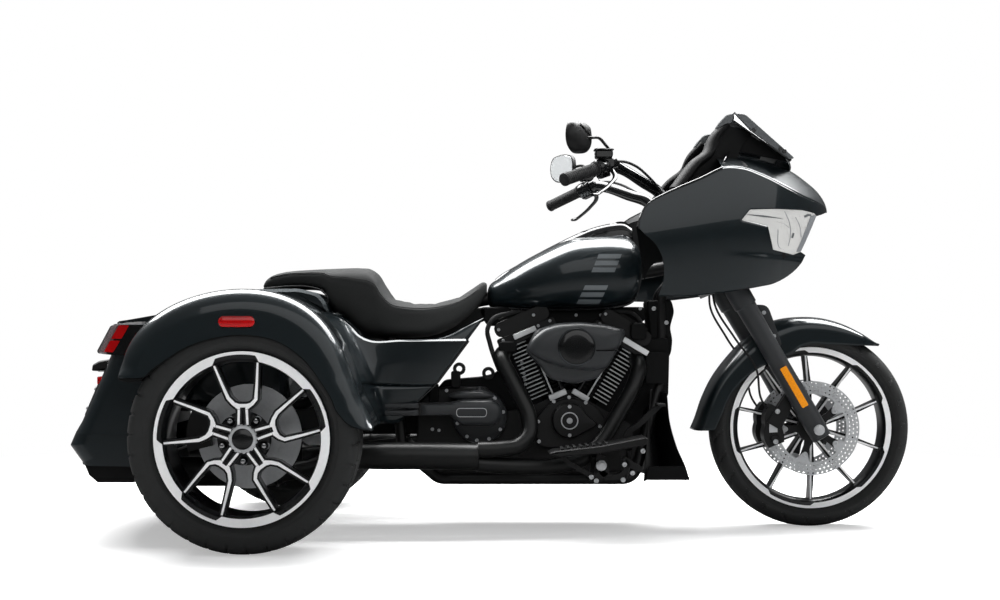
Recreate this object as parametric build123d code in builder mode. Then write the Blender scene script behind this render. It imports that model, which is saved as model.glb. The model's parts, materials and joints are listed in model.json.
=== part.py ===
from build123d import *
from math import cos, radians, sin, tan
import os

# Three-wheeled touring motorcycle, in millimetres. +X points forward, +Y to the rider's left and +Z
# up. The origin is on the ground, under the centre of the whole vehicle.

# ---- Driving dimensions ----
WHEELBASE = 1720.0
REAR_TRACK = 1130.0
RAKE = 30.0  # steering axis from the vertical, degrees
HEAD_X, HEAD_Z = 565.0, 960.0  # a point on the steering axis, at the top yoke
LEG_LEAD = 38.0  # fork legs ahead of the steering axis
AXLE_LEAD = 22.0  # front axle ahead of the fork legs
WALL = 4.0  # moulded and pressed body panels
SEAT_GAP = 0.3  # between a piece and what it rests on
MOVING_GAP = 5.0  # between pieces that move past each other
RUNNING_GAP = 0.05  # radial, in a bearing

FRONT_TYRE_R, FRONT_TYRE_W = 319.0, 130.0
FRONT_RIM_R, FRONT_RIM_W = 241.0, 90.0
FRONT_LIP_R = 258.0
FRONT_DISC_R, FRONT_DISC_T = 150.0, 5.0
FRONT_AXLE_R = 12.5
REAR_TYRE_R, REAR_TYRE_W = 325.4, 215.0
REAR_RIM_R, REAR_RIM_W = 229.0, 196.0
REAR_LIP_R = 245.0
REAR_DISC_R, REAR_DISC_T = 150.0, 8.0
REAR_SPINDLE_R = 20.0

FORK_LEG_Y = 128.0
FORK_LEG_LOW_R, FORK_LEG_TOP_R = 33.0, 44.0
FORK_TUBE_R = 24.5
STEM_R = 15.0
BAR_R = 15.9
FRAME_TUBE_R = 17.0
BACKBONE_R = 22.0
RAIL_Y, RAIL_Z = 125.0, 163.0
HEAD_TUBE_R = 34.0

CYLINDER_R = 88.0
CRANK_X, CRANK_Z = 224.0, 345.0
REAR_LEAN, FRONT_LEAN = 23.0, 31.0  # cylinders from the vertical, degrees
PIPE_R = 25.0
MUFFLER_R = 42.0

FENDER_OVERHANG = 22.5  # rear fender's outer face beyond the tyre
TRUNK_TO_TYRE = 29.5
FAIRING_HALF_W = 385.0

# ---- Worked-out places ----
RAKE_TAN, RAKE_COS, RAKE_SIN = tan(radians(RAKE)), cos(radians(RAKE)), sin(radians(RAKE))
FRONT_AXLE_X = HEAD_X + (HEAD_Z - FRONT_TYRE_R) * RAKE_TAN + (LEG_LEAD + AXLE_LEAD) / RAKE_COS
REAR_AXLE_X = FRONT_AXLE_X - WHEELBASE
FENDER_OUT_Y = REAR_TRACK / 2 + REAR_TYRE_W / 2 + FENDER_OVERHANG
TRUNK_HALF_W = REAR_TRACK / 2 - REAR_TYRE_W / 2 - TRUNK_TO_TYRE
REAR_SHIFT = REAR_AXLE_X + 715.5  # how far the tail stands from its place at the usual wheelbase
FRONT_AXLE = (FRONT_AXLE_X, 0, FRONT_TYRE_R)
SIDES = {"right": -1, "left": 1}


def station(x):
    """Lengthwise place of a body point: the tail moves with the rear axle, the middle stretches."""
    share = min(max((-100.0 - x) / 300.0, 0.0), 1.0)
    return x + share * REAR_SHIFT


def on_steering(up, lead=0.0, y=0.0):
    """A point `up` along the steering axis from the level of the top yoke and `lead` ahead of it."""
    return (
        HEAD_X - up * RAKE_SIN + lead * RAKE_COS,
        y,
        HEAD_Z + up * RAKE_COS + lead * RAKE_SIN,
    )


def steering_plane(up, lead=0.0, y=0.0):
    """A plane square to the steering axis, its local x forward and its normal up the axis."""
    return Plane(
        origin=on_steering(up, lead, y),
        x_dir=(RAKE_COS, 0, RAKE_SIN),
        z_dir=(-RAKE_SIN, 0, RAKE_COS),
    )


def right(y):
    """The upright lengthwise plane at this distance to the right; it is extruded outwards."""
    return Plane.XZ.offset(y)


def outline(points, radius=0.0, mode=Mode.ADD):
    """Fill a closed outline of (lengthwise, height) points in the sketch, its corners rounded."""
    places = [(station(x), z) for x, z in points]
    with BuildLine() as boundary:
        if radius:
            FilletPolyline(*places, radius=radius, close=True)
        else:
            Polyline(*places, close=True)
    make_face(boundary.edges(), mode=mode)


def plan(points, radius=0.0):
    """Fill a closed outline of (lengthwise, sideways) points in a level sketch."""
    outline(points, radius)


def profile(points, radius=0.0):
    """Fill a closed outline of (radius, sideways) points, for a piece turned about an axle."""
    with BuildLine() as boundary:
        if radius:
            FilletPolyline(*points, radius=radius, close=True)
        else:
            Polyline(*points, close=True)
    make_face(boundary.edges())


def carcass(outer_r, half, flat, lip_r, rim_r, bead):
    """Fill a tyre's cut section: outside skin, then the hollow inside, open at the rim.

    `flat` is half the flat part of the tread, and `bead` half the width between the rim's lips.
    """
    shoulder, belly = outer_r - 22, outer_r - 44
    seat = rim_r + SEAT_GAP
    with BuildLine() as boundary:
        for way in (1, -1):
            Line((seat, way * (bead - 12)), (seat, way * bead))
            Line((seat, way * bead), (lip_r + 1, way * bead))
            ThreePointArc(
                (lip_r + 1, way * bead),
                ((lip_r + belly) / 2, way * (bead + 0.75 * (half - bead))),
                (belly, way * half),
            )
            ThreePointArc((belly, way * half), (belly + 12, way * (half + 0.2)), (shoulder, way * (half - 2)))
            if flat:
                middle = (shoulder + 17, way * (half - 10))
                ThreePointArc((shoulder, way * (half - 2)), middle, (outer_r, way * flat))
            ThreePointArc(
                (seat, way * (bead - 12)),
                ((seat + belly) / 2, way * (bead - 5)),
                (belly, way * (half - 13)),
            )
            Line((belly, way * (half - 13)), (shoulder, way * (half - 16)))
            inner_crown = (outer_r - 14, way * flat * 0.8)
            if flat:
                Line((shoulder, way * (half - 16)), inner_crown)
        if flat:
            Line((outer_r, flat), (outer_r, -flat))
            Line((outer_r - 14, flat * 0.8), (outer_r - 14, -flat * 0.8))
        else:
            ThreePointArc((shoulder, half - 2), (outer_r, 0), (shoulder, 2 - half))
            ThreePointArc((shoulder, half - 16), (outer_r - 12, 0), (shoulder, 16 - half))
    make_face(boundary.edges())


def tube(points, bend, radius, mode=Mode.ADD):
    """Add a round tube along straight runs joined by arcs of radius `bend`."""
    places = [(station(x), y, z) for x, y, z in points]
    with BuildLine() as route:
        if len(places) > 2:
            FilletPolyline(*places, radius=bend)
        else:
            Line(*places)
    with BuildSketch(Plane(origin=route.line @ 0, z_dir=route.line % 0)) as section:
        Circle(radius)
    sweep(section.sketch, path=route.line, mode=mode)


def rod(start, end, radius, mode=Mode.ADD):
    """Add a straight round rod from one point to another."""
    axis = Vector(*end) - Vector(*start)
    with BuildSketch(Plane(origin=start, z_dir=axis)) as section:
        Circle(radius)
    extrude(section.sketch, amount=axis.length, mode=mode)


def write(builder, name):
    """Name a finished piece and write its file."""
    builder.part.label = name
    export_step(builder.part, f"parts/{name}.step")


os.makedirs("parts", exist_ok=True)

# ---- Front wheel ----
front_hub = Plane(origin=FRONT_AXLE, x_dir=(1, 0, 0), z_dir=(0, 0, 1))
front_spin = Axis(FRONT_AXLE, (0, 1, 0))
FRONT_HUB_R, FRONT_HUB_HALF = 32.0, 40.0
FRONT_DISC_Y = 64.5
SPOKE_PAIR_TURN, SPOKE_HALF_GAP = 38.0, 17.0  # degrees

with BuildPart() as front_tyre:
    with BuildSketch(front_hub):
        carcass(FRONT_TYRE_R, FRONT_TYRE_W / 2, 0, FRONT_LIP_R, FRONT_RIM_R, FRONT_RIM_W / 2 - 5.5)
    revolve(axis=front_spin)
write(front_tyre, "front_tyre")

with BuildPart() as front_rim:
    half = FRONT_RIM_W / 2
    with BuildSketch(front_hub):
        profile(
            [
                (FRONT_RIM_R, 5 - half),
                (FRONT_LIP_R, 5 - half),
                (FRONT_LIP_R, -half),
                (FRONT_RIM_R - 1, -half),
                (FRONT_RIM_R - 9, 12 - half),
                (FRONT_RIM_R - 9, half - 12),
                (FRONT_RIM_R - 1, half),
                (FRONT_LIP_R, half),
                (FRONT_LIP_R, half - 5),
                (FRONT_RIM_R, half - 5),
            ]
        )
    revolve(axis=front_spin)
    with BuildSketch(Plane.XZ.offset(-FRONT_HUB_HALF)):
        with Locations((FRONT_AXLE_X, FRONT_TYRE_R)):
            Circle(FRONT_HUB_R)
    extrude(amount=2 * FRONT_HUB_HALF)
    for pair in range(5):
        for lean in (-1, 1):
            turn = SPOKE_PAIR_TURN + 72 * pair
            root = radians(turn + lean * 22)
            tip = radians(turn + lean * SPOKE_HALF_GAP)
            start = Vector(cos(root), sin(root)) * (FRONT_HUB_R - 4)
            end = Vector(cos(tip), sin(tip)) * (FRONT_RIM_R - 5)
            across = Vector(start.Y - end.Y, end.X - start.X).normalized() * 7
            with BuildSketch(Plane.XZ.offset(-24)):
                with Locations((FRONT_AXLE_X, FRONT_TYRE_R)):
                    with BuildLine(mode=Mode.PRIVATE) as arm:
                        Polyline(start + across, end + across, end - across, start - across, close=True)
                    add(make_face(arm.edges(), mode=Mode.PRIVATE))
            extrude(amount=48)
    with BuildSketch(Plane.XZ.offset(-FRONT_HUB_HALF - 1)):
        with Locations((FRONT_AXLE_X, FRONT_TYRE_R)):
            Circle(FRONT_AXLE_R + RUNNING_GAP)
    extrude(amount=2 * FRONT_HUB_HALF + 2, mode=Mode.SUBTRACT)
write(front_rim, "front_rim")

with BuildPart() as front_discs:
    with BuildSketch(Plane.XZ.offset(FRONT_DISC_Y - FRONT_DISC_T / 2)):
        with Locations((FRONT_AXLE_X, FRONT_TYRE_R)):
            Circle(FRONT_DISC_R)
            Circle(FRONT_DISC_R - 42, mode=Mode.SUBTRACT)
            with PolarLocations(FRONT_DISC_R - 75, 5, start_angle=SPOKE_PAIR_TURN):
                Rectangle(76, 26)
            Circle(FRONT_AXLE_R + MOVING_GAP, mode=Mode.SUBTRACT)
    extrude(amount=FRONT_DISC_T)
    with BuildSketch(Plane.XZ.offset(FRONT_HUB_HALF)):
        with Locations((FRONT_AXLE_X, FRONT_TYRE_R)):
            Circle(FRONT_HUB_R + 16)
            Circle(FRONT_AXLE_R + MOVING_GAP, mode=Mode.SUBTRACT)
    extrude(amount=FRONT_DISC_Y - FRONT_HUB_HALF)
    mirror(about=Plane.XZ)
write(front_discs, "front_brake_discs")

# ---- Rear wheels, one at each end of the rear axle ----
SPOKE_TURN = 90.0
REAR_HUB_R, REAR_HUB_OUT, REAR_HUB_IN = 62.0, 82.0, -10.0  # sideways, from the wheel's middle
REAR_DISC_Y = -45.0


def rear_wheel_frames(sign):
    """The wheel's middle, its turning axis and the plane of its sections, +y pointing outwards."""
    centre = (REAR_AXLE_X, sign * REAR_TRACK / 2, REAR_TYRE_R)
    section = Plane(origin=centre, x_dir=(1, 0, 0), z_dir=(0, 0, sign))
    return centre, Axis(centre, (0, 1, 0)), section


def rear_face(sign, out):
    """The upright plane at `out` beyond the wheel's middle, extruded outwards."""
    return Plane(
        origin=(REAR_AXLE_X, sign * (REAR_TRACK / 2 + out), REAR_TYRE_R),
        x_dir=(1, 0, 0) if sign < 0 else (-1, 0, 0),
        z_dir=(0, sign, 0),
    )


for side, sign in SIDES.items():
    centre, spin, section_plane = rear_wheel_frames(sign)
    half = REAR_TYRE_W / 2
    rim_half = REAR_RIM_W / 2

    with BuildPart() as rear_tyre:
        with BuildSketch(section_plane):
            carcass(REAR_TYRE_R, half, half - 26, REAR_LIP_R, REAR_RIM_R, rim_half - 6.5)
        revolve(axis=spin)
    write(rear_tyre, f"rear_tyre_{side}")

    with BuildPart() as rear_rim:
        with BuildSketch(section_plane):
            profile(
                [
                    (REAR_RIM_R, 6 - rim_half),
                    (REAR_LIP_R, 6 - rim_half),
                    (REAR_LIP_R, -rim_half),
                    (REAR_RIM_R - 1, -rim_half),
                    (REAR_RIM_R - 9, 14 - rim_half),
                    (REAR_RIM_R - 9, rim_half - 26),
                    (REAR_RIM_R - 16, rim_half - 18),
                    (REAR_RIM_R - 14, rim_half),
                    (REAR_LIP_R, rim_half),
                    (REAR_LIP_R, rim_half - 6),
                    (REAR_RIM_R, rim_half - 6),
                ]
            )
        revolve(axis=spin)
        with BuildSketch(rear_face(sign, REAR_HUB_IN)):
            Circle(REAR_HUB_R)
        extrude(amount=REAR_HUB_OUT - REAR_HUB_IN)
        with BuildSketch(rear_face(sign, REAR_HUB_OUT - 42)):
            for spoke in range(5):
                with Locations(Rotation(0, 0, SPOKE_TURN + 72 * spoke)):
                    with Locations((75, 9), (75, -9)):
                        Rectangle(62, 9)
                    with BuildLine(mode=Mode.PRIVATE) as fork:
                        Polyline(
                            (92, 14),
                            (118, 30),
                            (REAR_RIM_R - 12, 88),
                            (REAR_RIM_R - 18, 100),
                            (108, 38),
                            (90, 24),
                            (90, -20),
                            (104, -30),
                            (REAR_RIM_R - 8, -56),
                            (REAR_RIM_R - 6, -42),
                            (112, -18),
                            (96, -12),
                            close=True,
                        )
                    add(make_face(fork.edges(), mode=Mode.PRIVATE))
        extrude(amount=34)
        with BuildSketch(rear_face(sign, REAR_HUB_OUT)):
            Circle(33)
        extrude(amount=7)
        with BuildSketch(rear_face(sign, REAR_HUB_IN)):
            Circle(REAR_SPINDLE_R + RUNNING_GAP)
        extrude(amount=REAR_HUB_OUT - REAR_HUB_IN - 14, mode=Mode.SUBTRACT)
    write(rear_rim, f"rear_rim_{side}")

    with BuildPart() as rear_disc:
        with BuildSketch(rear_face(sign, REAR_DISC_Y - REAR_DISC_T / 2)):
            Circle(REAR_DISC_R)
            Circle(REAR_SPINDLE_R + MOVING_GAP, mode=Mode.SUBTRACT)
        extrude(amount=REAR_DISC_T)
        with BuildSketch(rear_face(sign, REAR_DISC_Y + REAR_DISC_T / 2)):
            Circle(REAR_HUB_R)
            Circle(REAR_HUB_R - 14, mode=Mode.SUBTRACT)
        extrude(amount=REAR_HUB_IN - REAR_DISC_Y - REAR_DISC_T / 2)
    write(rear_disc, f"rear_brake_disc_{side}")

# ---- Fork, bars and front fender, which turn together ----
AXLE_UP = (FRONT_TYRE_R - HEAD_Z - (LEG_LEAD + AXLE_LEAD) * RAKE_SIN) / RAKE_COS
LOW_YOKE_UP, TOP_YOKE_UP = -230.0, -30.0
LOW_YOKE_T, TOP_YOKE_T = 28.0, 24.0
HEAD_TUBE_LOW, HEAD_TUBE_TOP = -200.0, -60.0
LEG_TOP_UP = LOW_YOKE_UP - LOW_YOKE_T / 2 - 2
RISER_UP, RISER_LEAD, RISER_Y = 24.0, 8.0, 30.0
BAR_MIDDLE = on_steering(RISER_UP, RISER_LEAD)
BAR_BEND = 35.0
BAR_SHOULDER = (508.0, 150.0, 1063.0)
BAR_ELBOW = (345.0, 295.0, 1136.0)
BAR_END = (195.0, 430.0, 1072.0)
GRIP_R, SWITCH_R = 18.5, 24.0


def mirrored(point, sign):
    """The same point on the side given by the sign of y."""
    return (point[0], sign * point[1], point[2])


def along_grip(distance, sign):
    """A point on the bar's end run, this far from its elbow."""
    start, end = Vector(*mirrored(BAR_ELBOW, sign)), Vector(*mirrored(BAR_END, sign))
    return start + (end - start).normalized() * distance


with BuildPart() as triple_clamps:
    for up, thick in ((LOW_YOKE_UP, LOW_YOKE_T), (TOP_YOKE_UP, TOP_YOKE_T)):
        with BuildSketch(steering_plane(up - thick / 2)):
            with BuildSketch(mode=Mode.PRIVATE) as bosses:
                Circle(STEM_R + 18)
                with Locations((LEG_LEAD, FORK_LEG_Y), (LEG_LEAD, -FORK_LEG_Y)):
                    Circle(FORK_TUBE_R + 12)
            make_hull(bosses.sketch.edges())
            with Locations((LEG_LEAD, FORK_LEG_Y), (LEG_LEAD, -FORK_LEG_Y)):
                Circle(FORK_TUBE_R + SEAT_GAP, mode=Mode.SUBTRACT)
        extrude(amount=thick)
    rod(on_steering(LOW_YOKE_UP), on_steering(TOP_YOKE_UP), STEM_R)
    for sign in (-1, 1):
        riser_foot = on_steering(TOP_YOKE_UP, RISER_LEAD, sign * RISER_Y)
        rod(riser_foot, on_steering(RISER_UP, RISER_LEAD, sign * RISER_Y), 15)
    with BuildSketch(steering_plane(RISER_UP - BAR_R - 8)):
        with Locations((RISER_LEAD, 0)):
            Rectangle(2 * BAR_R + 18, 2 * RISER_Y + 26)
    extrude(amount=2 * BAR_R + 16)
    bar_low = (BAR_MIDDLE[0], -RISER_Y - 20, BAR_MIDDLE[2])
    bar_high = (BAR_MIDDLE[0], RISER_Y + 20, BAR_MIDDLE[2])
    rod(bar_low, bar_high, BAR_R + SEAT_GAP, mode=Mode.SUBTRACT)
write(triple_clamps, "triple_clamps")

with BuildPart() as fork_legs:
    with BuildSketch(steering_plane(AXLE_UP - 26, LEG_LEAD, -FORK_LEG_Y)):
        Circle(FORK_LEG_LOW_R)
    with BuildSketch(steering_plane(LEG_TOP_UP, LEG_LEAD, -FORK_LEG_Y)):
        Circle(FORK_LEG_TOP_R)
    loft()
    tube_foot = on_steering(LEG_TOP_UP - 40, LEG_LEAD, -FORK_LEG_Y)
    rod(tube_foot, on_steering(TOP_YOKE_UP + TOP_YOKE_T / 2 + 6, LEG_LEAD, -FORK_LEG_Y), FORK_TUBE_R)
    with BuildSketch(right(FORK_LEG_Y - FORK_LEG_LOW_R)):
        with Locations((FRONT_AXLE_X, FRONT_TYRE_R)):
            Circle(FRONT_AXLE_R + 14)
    extrude(amount=2 * FORK_LEG_LOW_R)
    with BuildSketch(right(FORK_LEG_Y - FORK_LEG_LOW_R - 1)):
        with Locations((FRONT_AXLE_X, FRONT_TYRE_R)):
            Circle(FRONT_AXLE_R + SEAT_GAP)
    extrude(amount=2 * FORK_LEG_LOW_R + 2, mode=Mode.SUBTRACT)
    mirror(about=Plane.XZ)
write(fork_legs, "fork_legs")

with BuildPart() as front_axle:
    with BuildSketch(right(-FORK_LEG_Y - FORK_LEG_LOW_R - 6)):
        with Locations((FRONT_AXLE_X, FRONT_TYRE_R)):
            Circle(FRONT_AXLE_R)
    extrude(amount=2 * FORK_LEG_Y + 2 * FORK_LEG_LOW_R + 12)
    with BuildSketch(right(FORK_LEG_Y + FORK_LEG_LOW_R + SEAT_GAP)):
        with Locations((FRONT_AXLE_X, FRONT_TYRE_R)):
            RegularPolygon(FRONT_AXLE_R + 4, 6)
    extrude(amount=12)
    mirror(about=Plane.XZ)
write(front_axle, "front_axle")

CALIPER_IN, CALIPER_OUT = FRONT_DISC_R - 42, FRONT_DISC_R + 30
with BuildPart() as front_calipers:
    with BuildSketch(right(FRONT_DISC_Y - 26)):
        hub = (FRONT_AXLE_X, FRONT_TYRE_R)
        with BuildLine():
            outer = CenterArc(hub, CALIPER_OUT, 146, 40)
            inner = CenterArc(hub, CALIPER_IN, 146, 40)
            Line(outer @ 0, inner @ 0)
            Line(outer @ 1, inner @ 1)
        make_face()
    extrude(amount=FORK_LEG_Y - 14 - FRONT_DISC_Y + 26)
    slot_half = FRONT_DISC_T / 2 + MOVING_GAP
    with BuildSketch(right(FRONT_DISC_Y - slot_half)):
        with Locations((FRONT_AXLE_X, FRONT_TYRE_R)):
            Circle(FRONT_DISC_R + MOVING_GAP)
    extrude(amount=2 * slot_half, mode=Mode.SUBTRACT)
    with BuildSketch(right(FRONT_DISC_Y + slot_half + 6)):
        outline(
            [
                (FRONT_AXLE_X - 150, FRONT_TYRE_R + 10),
                (FRONT_AXLE_X - 30, FRONT_TYRE_R + 10),
                (FRONT_AXLE_X - 60, FRONT_TYRE_R + 90),
                (FRONT_AXLE_X - 140, FRONT_TYRE_R + 70),
            ]
        )
    extrude(amount=FORK_LEG_Y - FRONT_DISC_Y - slot_half - 6)
    mirror(about=Plane.XZ)
    add(fork_legs.part, mode=Mode.SUBTRACT)
write(front_calipers, "front_brake_calipers")

FENDER_HALF_W = 80.0
FENDER_R = FRONT_TYRE_R + 33


def front_fender_outline(shrink):
    """Fill the fender's side view; a `shrink` gives the hollow, drawn in at the crown, open below."""
    crown = FENDER_R - shrink
    x, z = FRONT_AXLE_X, FRONT_TYRE_R
    tip = (x + crown * cos(radians(49)), z + crown * sin(radians(49)))
    back = (x - (crown + 8) * cos(radians(42)), z + (crown + 8) * sin(radians(42)))
    tail = (x - crown - 32, z - 8 - shrink)
    foot = (x - FENDER_R + 34 + 3 * shrink, z - 12 - shrink)
    chin = (x - 20, z + 264 - shrink)
    lip = (x + 195, z + 264 - shrink)
    with BuildLine() as boundary:
        Spline(tip, (x - 20, z + crown), back, tail)
        Line(tail, foot)
        Spline(
            foot,
            (x - 262 + 3 * shrink, z + 116 - shrink),
            (x - 190 + 2 * shrink, z + 215 - 2 * shrink),
            chin,
        )
        Polyline(chin, lip, tip)
    make_face(boundary.edges())


with BuildPart() as front_fender:
    with BuildSketch(right(0)):
        front_fender_outline(0)
    extrude(amount=FENDER_HALF_W, both=True)
    with BuildSketch(right(0)):
        front_fender_outline(WALL)
    extrude(amount=FENDER_HALF_W - WALL, both=True, mode=Mode.SUBTRACT)
    pad_x, pad_y, pad_z = on_steering(AXLE_UP + 360, LEG_LEAD, FENDER_HALF_W - 1)
    for sign in (-1, 1):
        rod((pad_x, sign * pad_y, pad_z), (pad_x, sign * (FORK_LEG_Y - 24), pad_z), 14)
    add(fork_legs.part, mode=Mode.SUBTRACT)
write(front_fender, "front_fender")

# The bar runs from grip to grip through the risers.
with BuildPart() as handlebar:
    tube(
        [
            mirrored(BAR_END, -1),
            mirrored(BAR_ELBOW, -1),
            mirrored(BAR_SHOULDER, -1),
            (BAR_MIDDLE[0], -62.0, BAR_MIDDLE[2]),
            (BAR_MIDDLE[0], 62.0, BAR_MIDDLE[2]),
            BAR_SHOULDER,
            BAR_ELBOW,
            BAR_END,
        ],
        BAR_BEND,
        BAR_R,
    )
write(handlebar, "handlebar")

with BuildPart() as grips:
    for sign in (-1, 1):
        rod(along_grip(76, sign), along_grip(214, sign), GRIP_R)
        rod(along_grip(60, sign), along_grip(240, sign), BAR_R + SEAT_GAP, mode=Mode.SUBTRACT)
        rod(along_grip(211.5, sign), along_grip(216, sign), GRIP_R)
    add(handlebar.part, mode=Mode.SUBTRACT)
write(grips, "grips")

LEVER_REACH = 44.0
with BuildPart() as hand_controls:
    for sign in (-1, 1):
        rod(along_grip(22, sign), along_grip(74, sign), SWITCH_R)
        ahead = Vector(0.67, sign * 0.743, 0) * LEVER_REACH
        drop = Vector(0, 0, -10)
        rod(along_grip(34, sign), along_grip(44, sign) + ahead + drop, 9)
        rod(along_grip(44, sign) + ahead + drop, along_grip(196, sign) + ahead + drop * 1.4, 6)
        tank_middle = along_grip(14, sign) + Vector(14, 0, 34)
        with Locations(Location(tank_middle, (0, 0, -sign * 42))):
            Box(62, 44, 30)
        rod(along_grip(30, sign), tank_middle, 11)
    add(handlebar.part, mode=Mode.SUBTRACT)
write(hand_controls, "hand_controls")

MIRROR_AT = (244.0, 400.0, 1203.0)
MIRROR_W, MIRROR_H, MIRROR_T = 142.0, 94.0, 26.0
MIRROR_TOE = 32.0  # degrees, turned in to face the rider
with BuildPart() as mirrors:
    middle = Vector(*mirrored(MIRROR_AT, -1))
    toe_sin, toe_cos = sin(radians(MIRROR_TOE)), cos(radians(MIRROR_TOE))
    face = Plane(origin=middle, x_dir=(toe_sin, toe_cos, 0), z_dir=(toe_cos, -toe_sin, 0.1))
    with BuildSketch(face):
        RectangleRounded(MIRROR_W, MIRROR_H, 34)
    extrude(amount=MIRROR_T, taper=22)
    perch = along_grip(14, -1) + Vector(14, 0, 49.0 + SEAT_GAP)
    stalk_top = Vector(296, -345, 1196)
    rod(perch, stalk_top, 6)
    rod(stalk_top, middle + Vector(14, 10, 0), 6)
    mirror(about=Plane.XZ)
    add(hand_controls.part, mode=Mode.SUBTRACT)
write(mirrors, "mirrors")

# ---- Fairing ----
# Cross-sections from the tail to the nose: lengthwise place, then (half width, height) of the top's
# middle, top's shoulder, upper crease, widest point, lower side and bottom edge.
FAIRING_SECTIONS = [
    (405, [(0, 1060), (215, 1048), (368, 1010), (FAIRING_HALF_W, 900), (374, 800), (338, 728)]),
    (560, [(0, 1150), (210, 1135), (355, 1078), (FAIRING_HALF_W - 2, 930), (368, 805), (332, 730)]),
    (700, [(0, 1188), (190, 1172), (332, 1118), (FAIRING_HALF_W - 12, 962), (350, 824), (314, 746)]),
    (850, [(0, 1174), (150, 1152), (264, 1072), (302, 985), (288, 864), (246, 776)]),
    (960, [(0, 1128), (108, 1104), (186, 1034), (216, 985), (204, 912), (168, 842)]),
    (1025, [(0, 1079), (60, 1062), (110, 1018), (128, 985), (116, 940), (88, 888)]),
    (1060, [(0, 1030), (22, 1027), (42, 1008), (48, 985), (42, 955), (28, 932)]),
]
CHIN_FACE = [(1017, 1000), (963, 878), (986, 870), (1100, 850), (1100, 996)]
LENS = [(725, 958), (749, 990), (834, 997), (957, 1001), (1100, 1001), (1100, 878), (963, 878), (925, 865)]
LENS += [(840, 876), (823, 942)]
LENS_BRIDGE = 42.0  # half width of the painted nose between the two lamps
FAIRING_TAIL = [(380, 700), (480, 731), (492, 770), (493, 813), (481, 861), (458, 895), (431, 918), (415, 938)]
FAIRING_TAIL += [(421, 964), (439, 998), (461, 1016), (492, 1033), (537, 1054), (609, 1085), (648, 1105)]
FAIRING_TAIL += [(671, 1115), (719, 1187), (719, 1260), (380, 1260)]


def fairing_volume(inset):
    """The fairing as a filled body, its skin drawn in by `inset`."""
    with BuildPart() as body:
        for x, half_section in FAIRING_SECTIONS:
            middle = (half_section[0][1] + half_section[-1][1]) / 2
            reach = (half_section[0][1] - half_section[-1][1]) / 2
            drawn = [(max(y - inset, 0), z - inset * (z - middle) / reach) for y, z in half_section]
            far = [(-y, z) for y, z in drawn]
            nose = inset if x > 1000 else 0
            with BuildSketch(Plane(origin=(x - nose, 0, 0), x_dir=(0, 1, 0), z_dir=(1, 0, 0))):
                with BuildLine():
                    Spline(far[2], far[1], drawn[0], drawn[1], drawn[2])
                    Spline(*drawn[2:])
                    Line(drawn[-1], far[-1])
                    Spline(*far[2:])
                make_face()
        loft()
        with BuildSketch(Plane.XZ):
            Polygon(*[(x - inset, z) for x, z in CHIN_FACE], align=None)
        extrude(amount=FAIRING_HALF_W + 40, both=True, mode=Mode.SUBTRACT)
    return body.part


def fairing_cut(points, depth):
    """A prism over a side outline, through the fairing from side to side or beyond `depth`."""
    with BuildPart() as cutter:
        with BuildSketch(Plane.XZ.offset(depth)):
            Polygon(*points, align=None)
        extrude(amount=FAIRING_HALF_W + 60)
        mirror(about=Plane.XZ)
    return cutter.part


fairing_outside, fairing_inside = fairing_volume(0), fairing_volume(WALL)
fairing_lens_cut = fairing_cut(LENS, LENS_BRIDGE)

with BuildPart() as fairing_shell:
    add(fairing_outside)
    add(fairing_inside, mode=Mode.SUBTRACT)
    add(fairing_cut(FAIRING_TAIL, 0), mode=Mode.SUBTRACT)
    with BuildSketch(Plane.XY.offset(700)):
        Polygon((380, -306), (380, 306), (700, 284), (850, 214), (850, -214), (700, -284), align=None)
    extrude(amount=150, mode=Mode.SUBTRACT)
    add(fairing_lens_cut, mode=Mode.SUBTRACT)
write(fairing_shell, "fairing_shell")

with BuildPart() as headlights:
    add(fairing_outside)
    add(fairing_inside, mode=Mode.SUBTRACT)
    add(fairing_lens_cut, mode=Mode.INTERSECT)
write(headlights, "headlights")

DASH = [(690, 1176), (662, 1112), (655, 1050), (648, 940), (600, 860), (600, 770)]
STEERING_SWEEP_R = FORK_LEG_Y + FORK_TUBE_R + 32
with BuildPart() as inner_fairing:
    with BuildSketch(Plane.XZ):
        Polygon(*DASH, *[(x + 9, z) for x, z in reversed(DASH)], align=None)
    extrude(amount=FAIRING_HALF_W, both=True)
    add(fairing_inside, mode=Mode.INTERSECT)
    with BuildSketch(steering_plane(LOW_YOKE_UP - 140)):
        Circle(STEERING_SWEEP_R)
    extrude(amount=TOP_YOKE_UP - LOW_YOKE_UP + 180, mode=Mode.SUBTRACT)
    for sign in (-1, 1):
        with BuildSketch(Plane(origin=(655, sign * 262, 1020), x_dir=(0, 1, 0), z_dir=(-1, 0, 0.25))):
            Circle(72)
            Circle(60, mode=Mode.SUBTRACT)
        extrude(amount=34)
    with BuildSketch(Plane(origin=(668, 0, 1118), x_dir=(0, 1, 0), z_dir=(-1, 0, 0.4))):
        RectangleRounded(300, 92, 20)
    extrude(amount=30)
write(inner_fairing, "inner_fairing")

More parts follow.
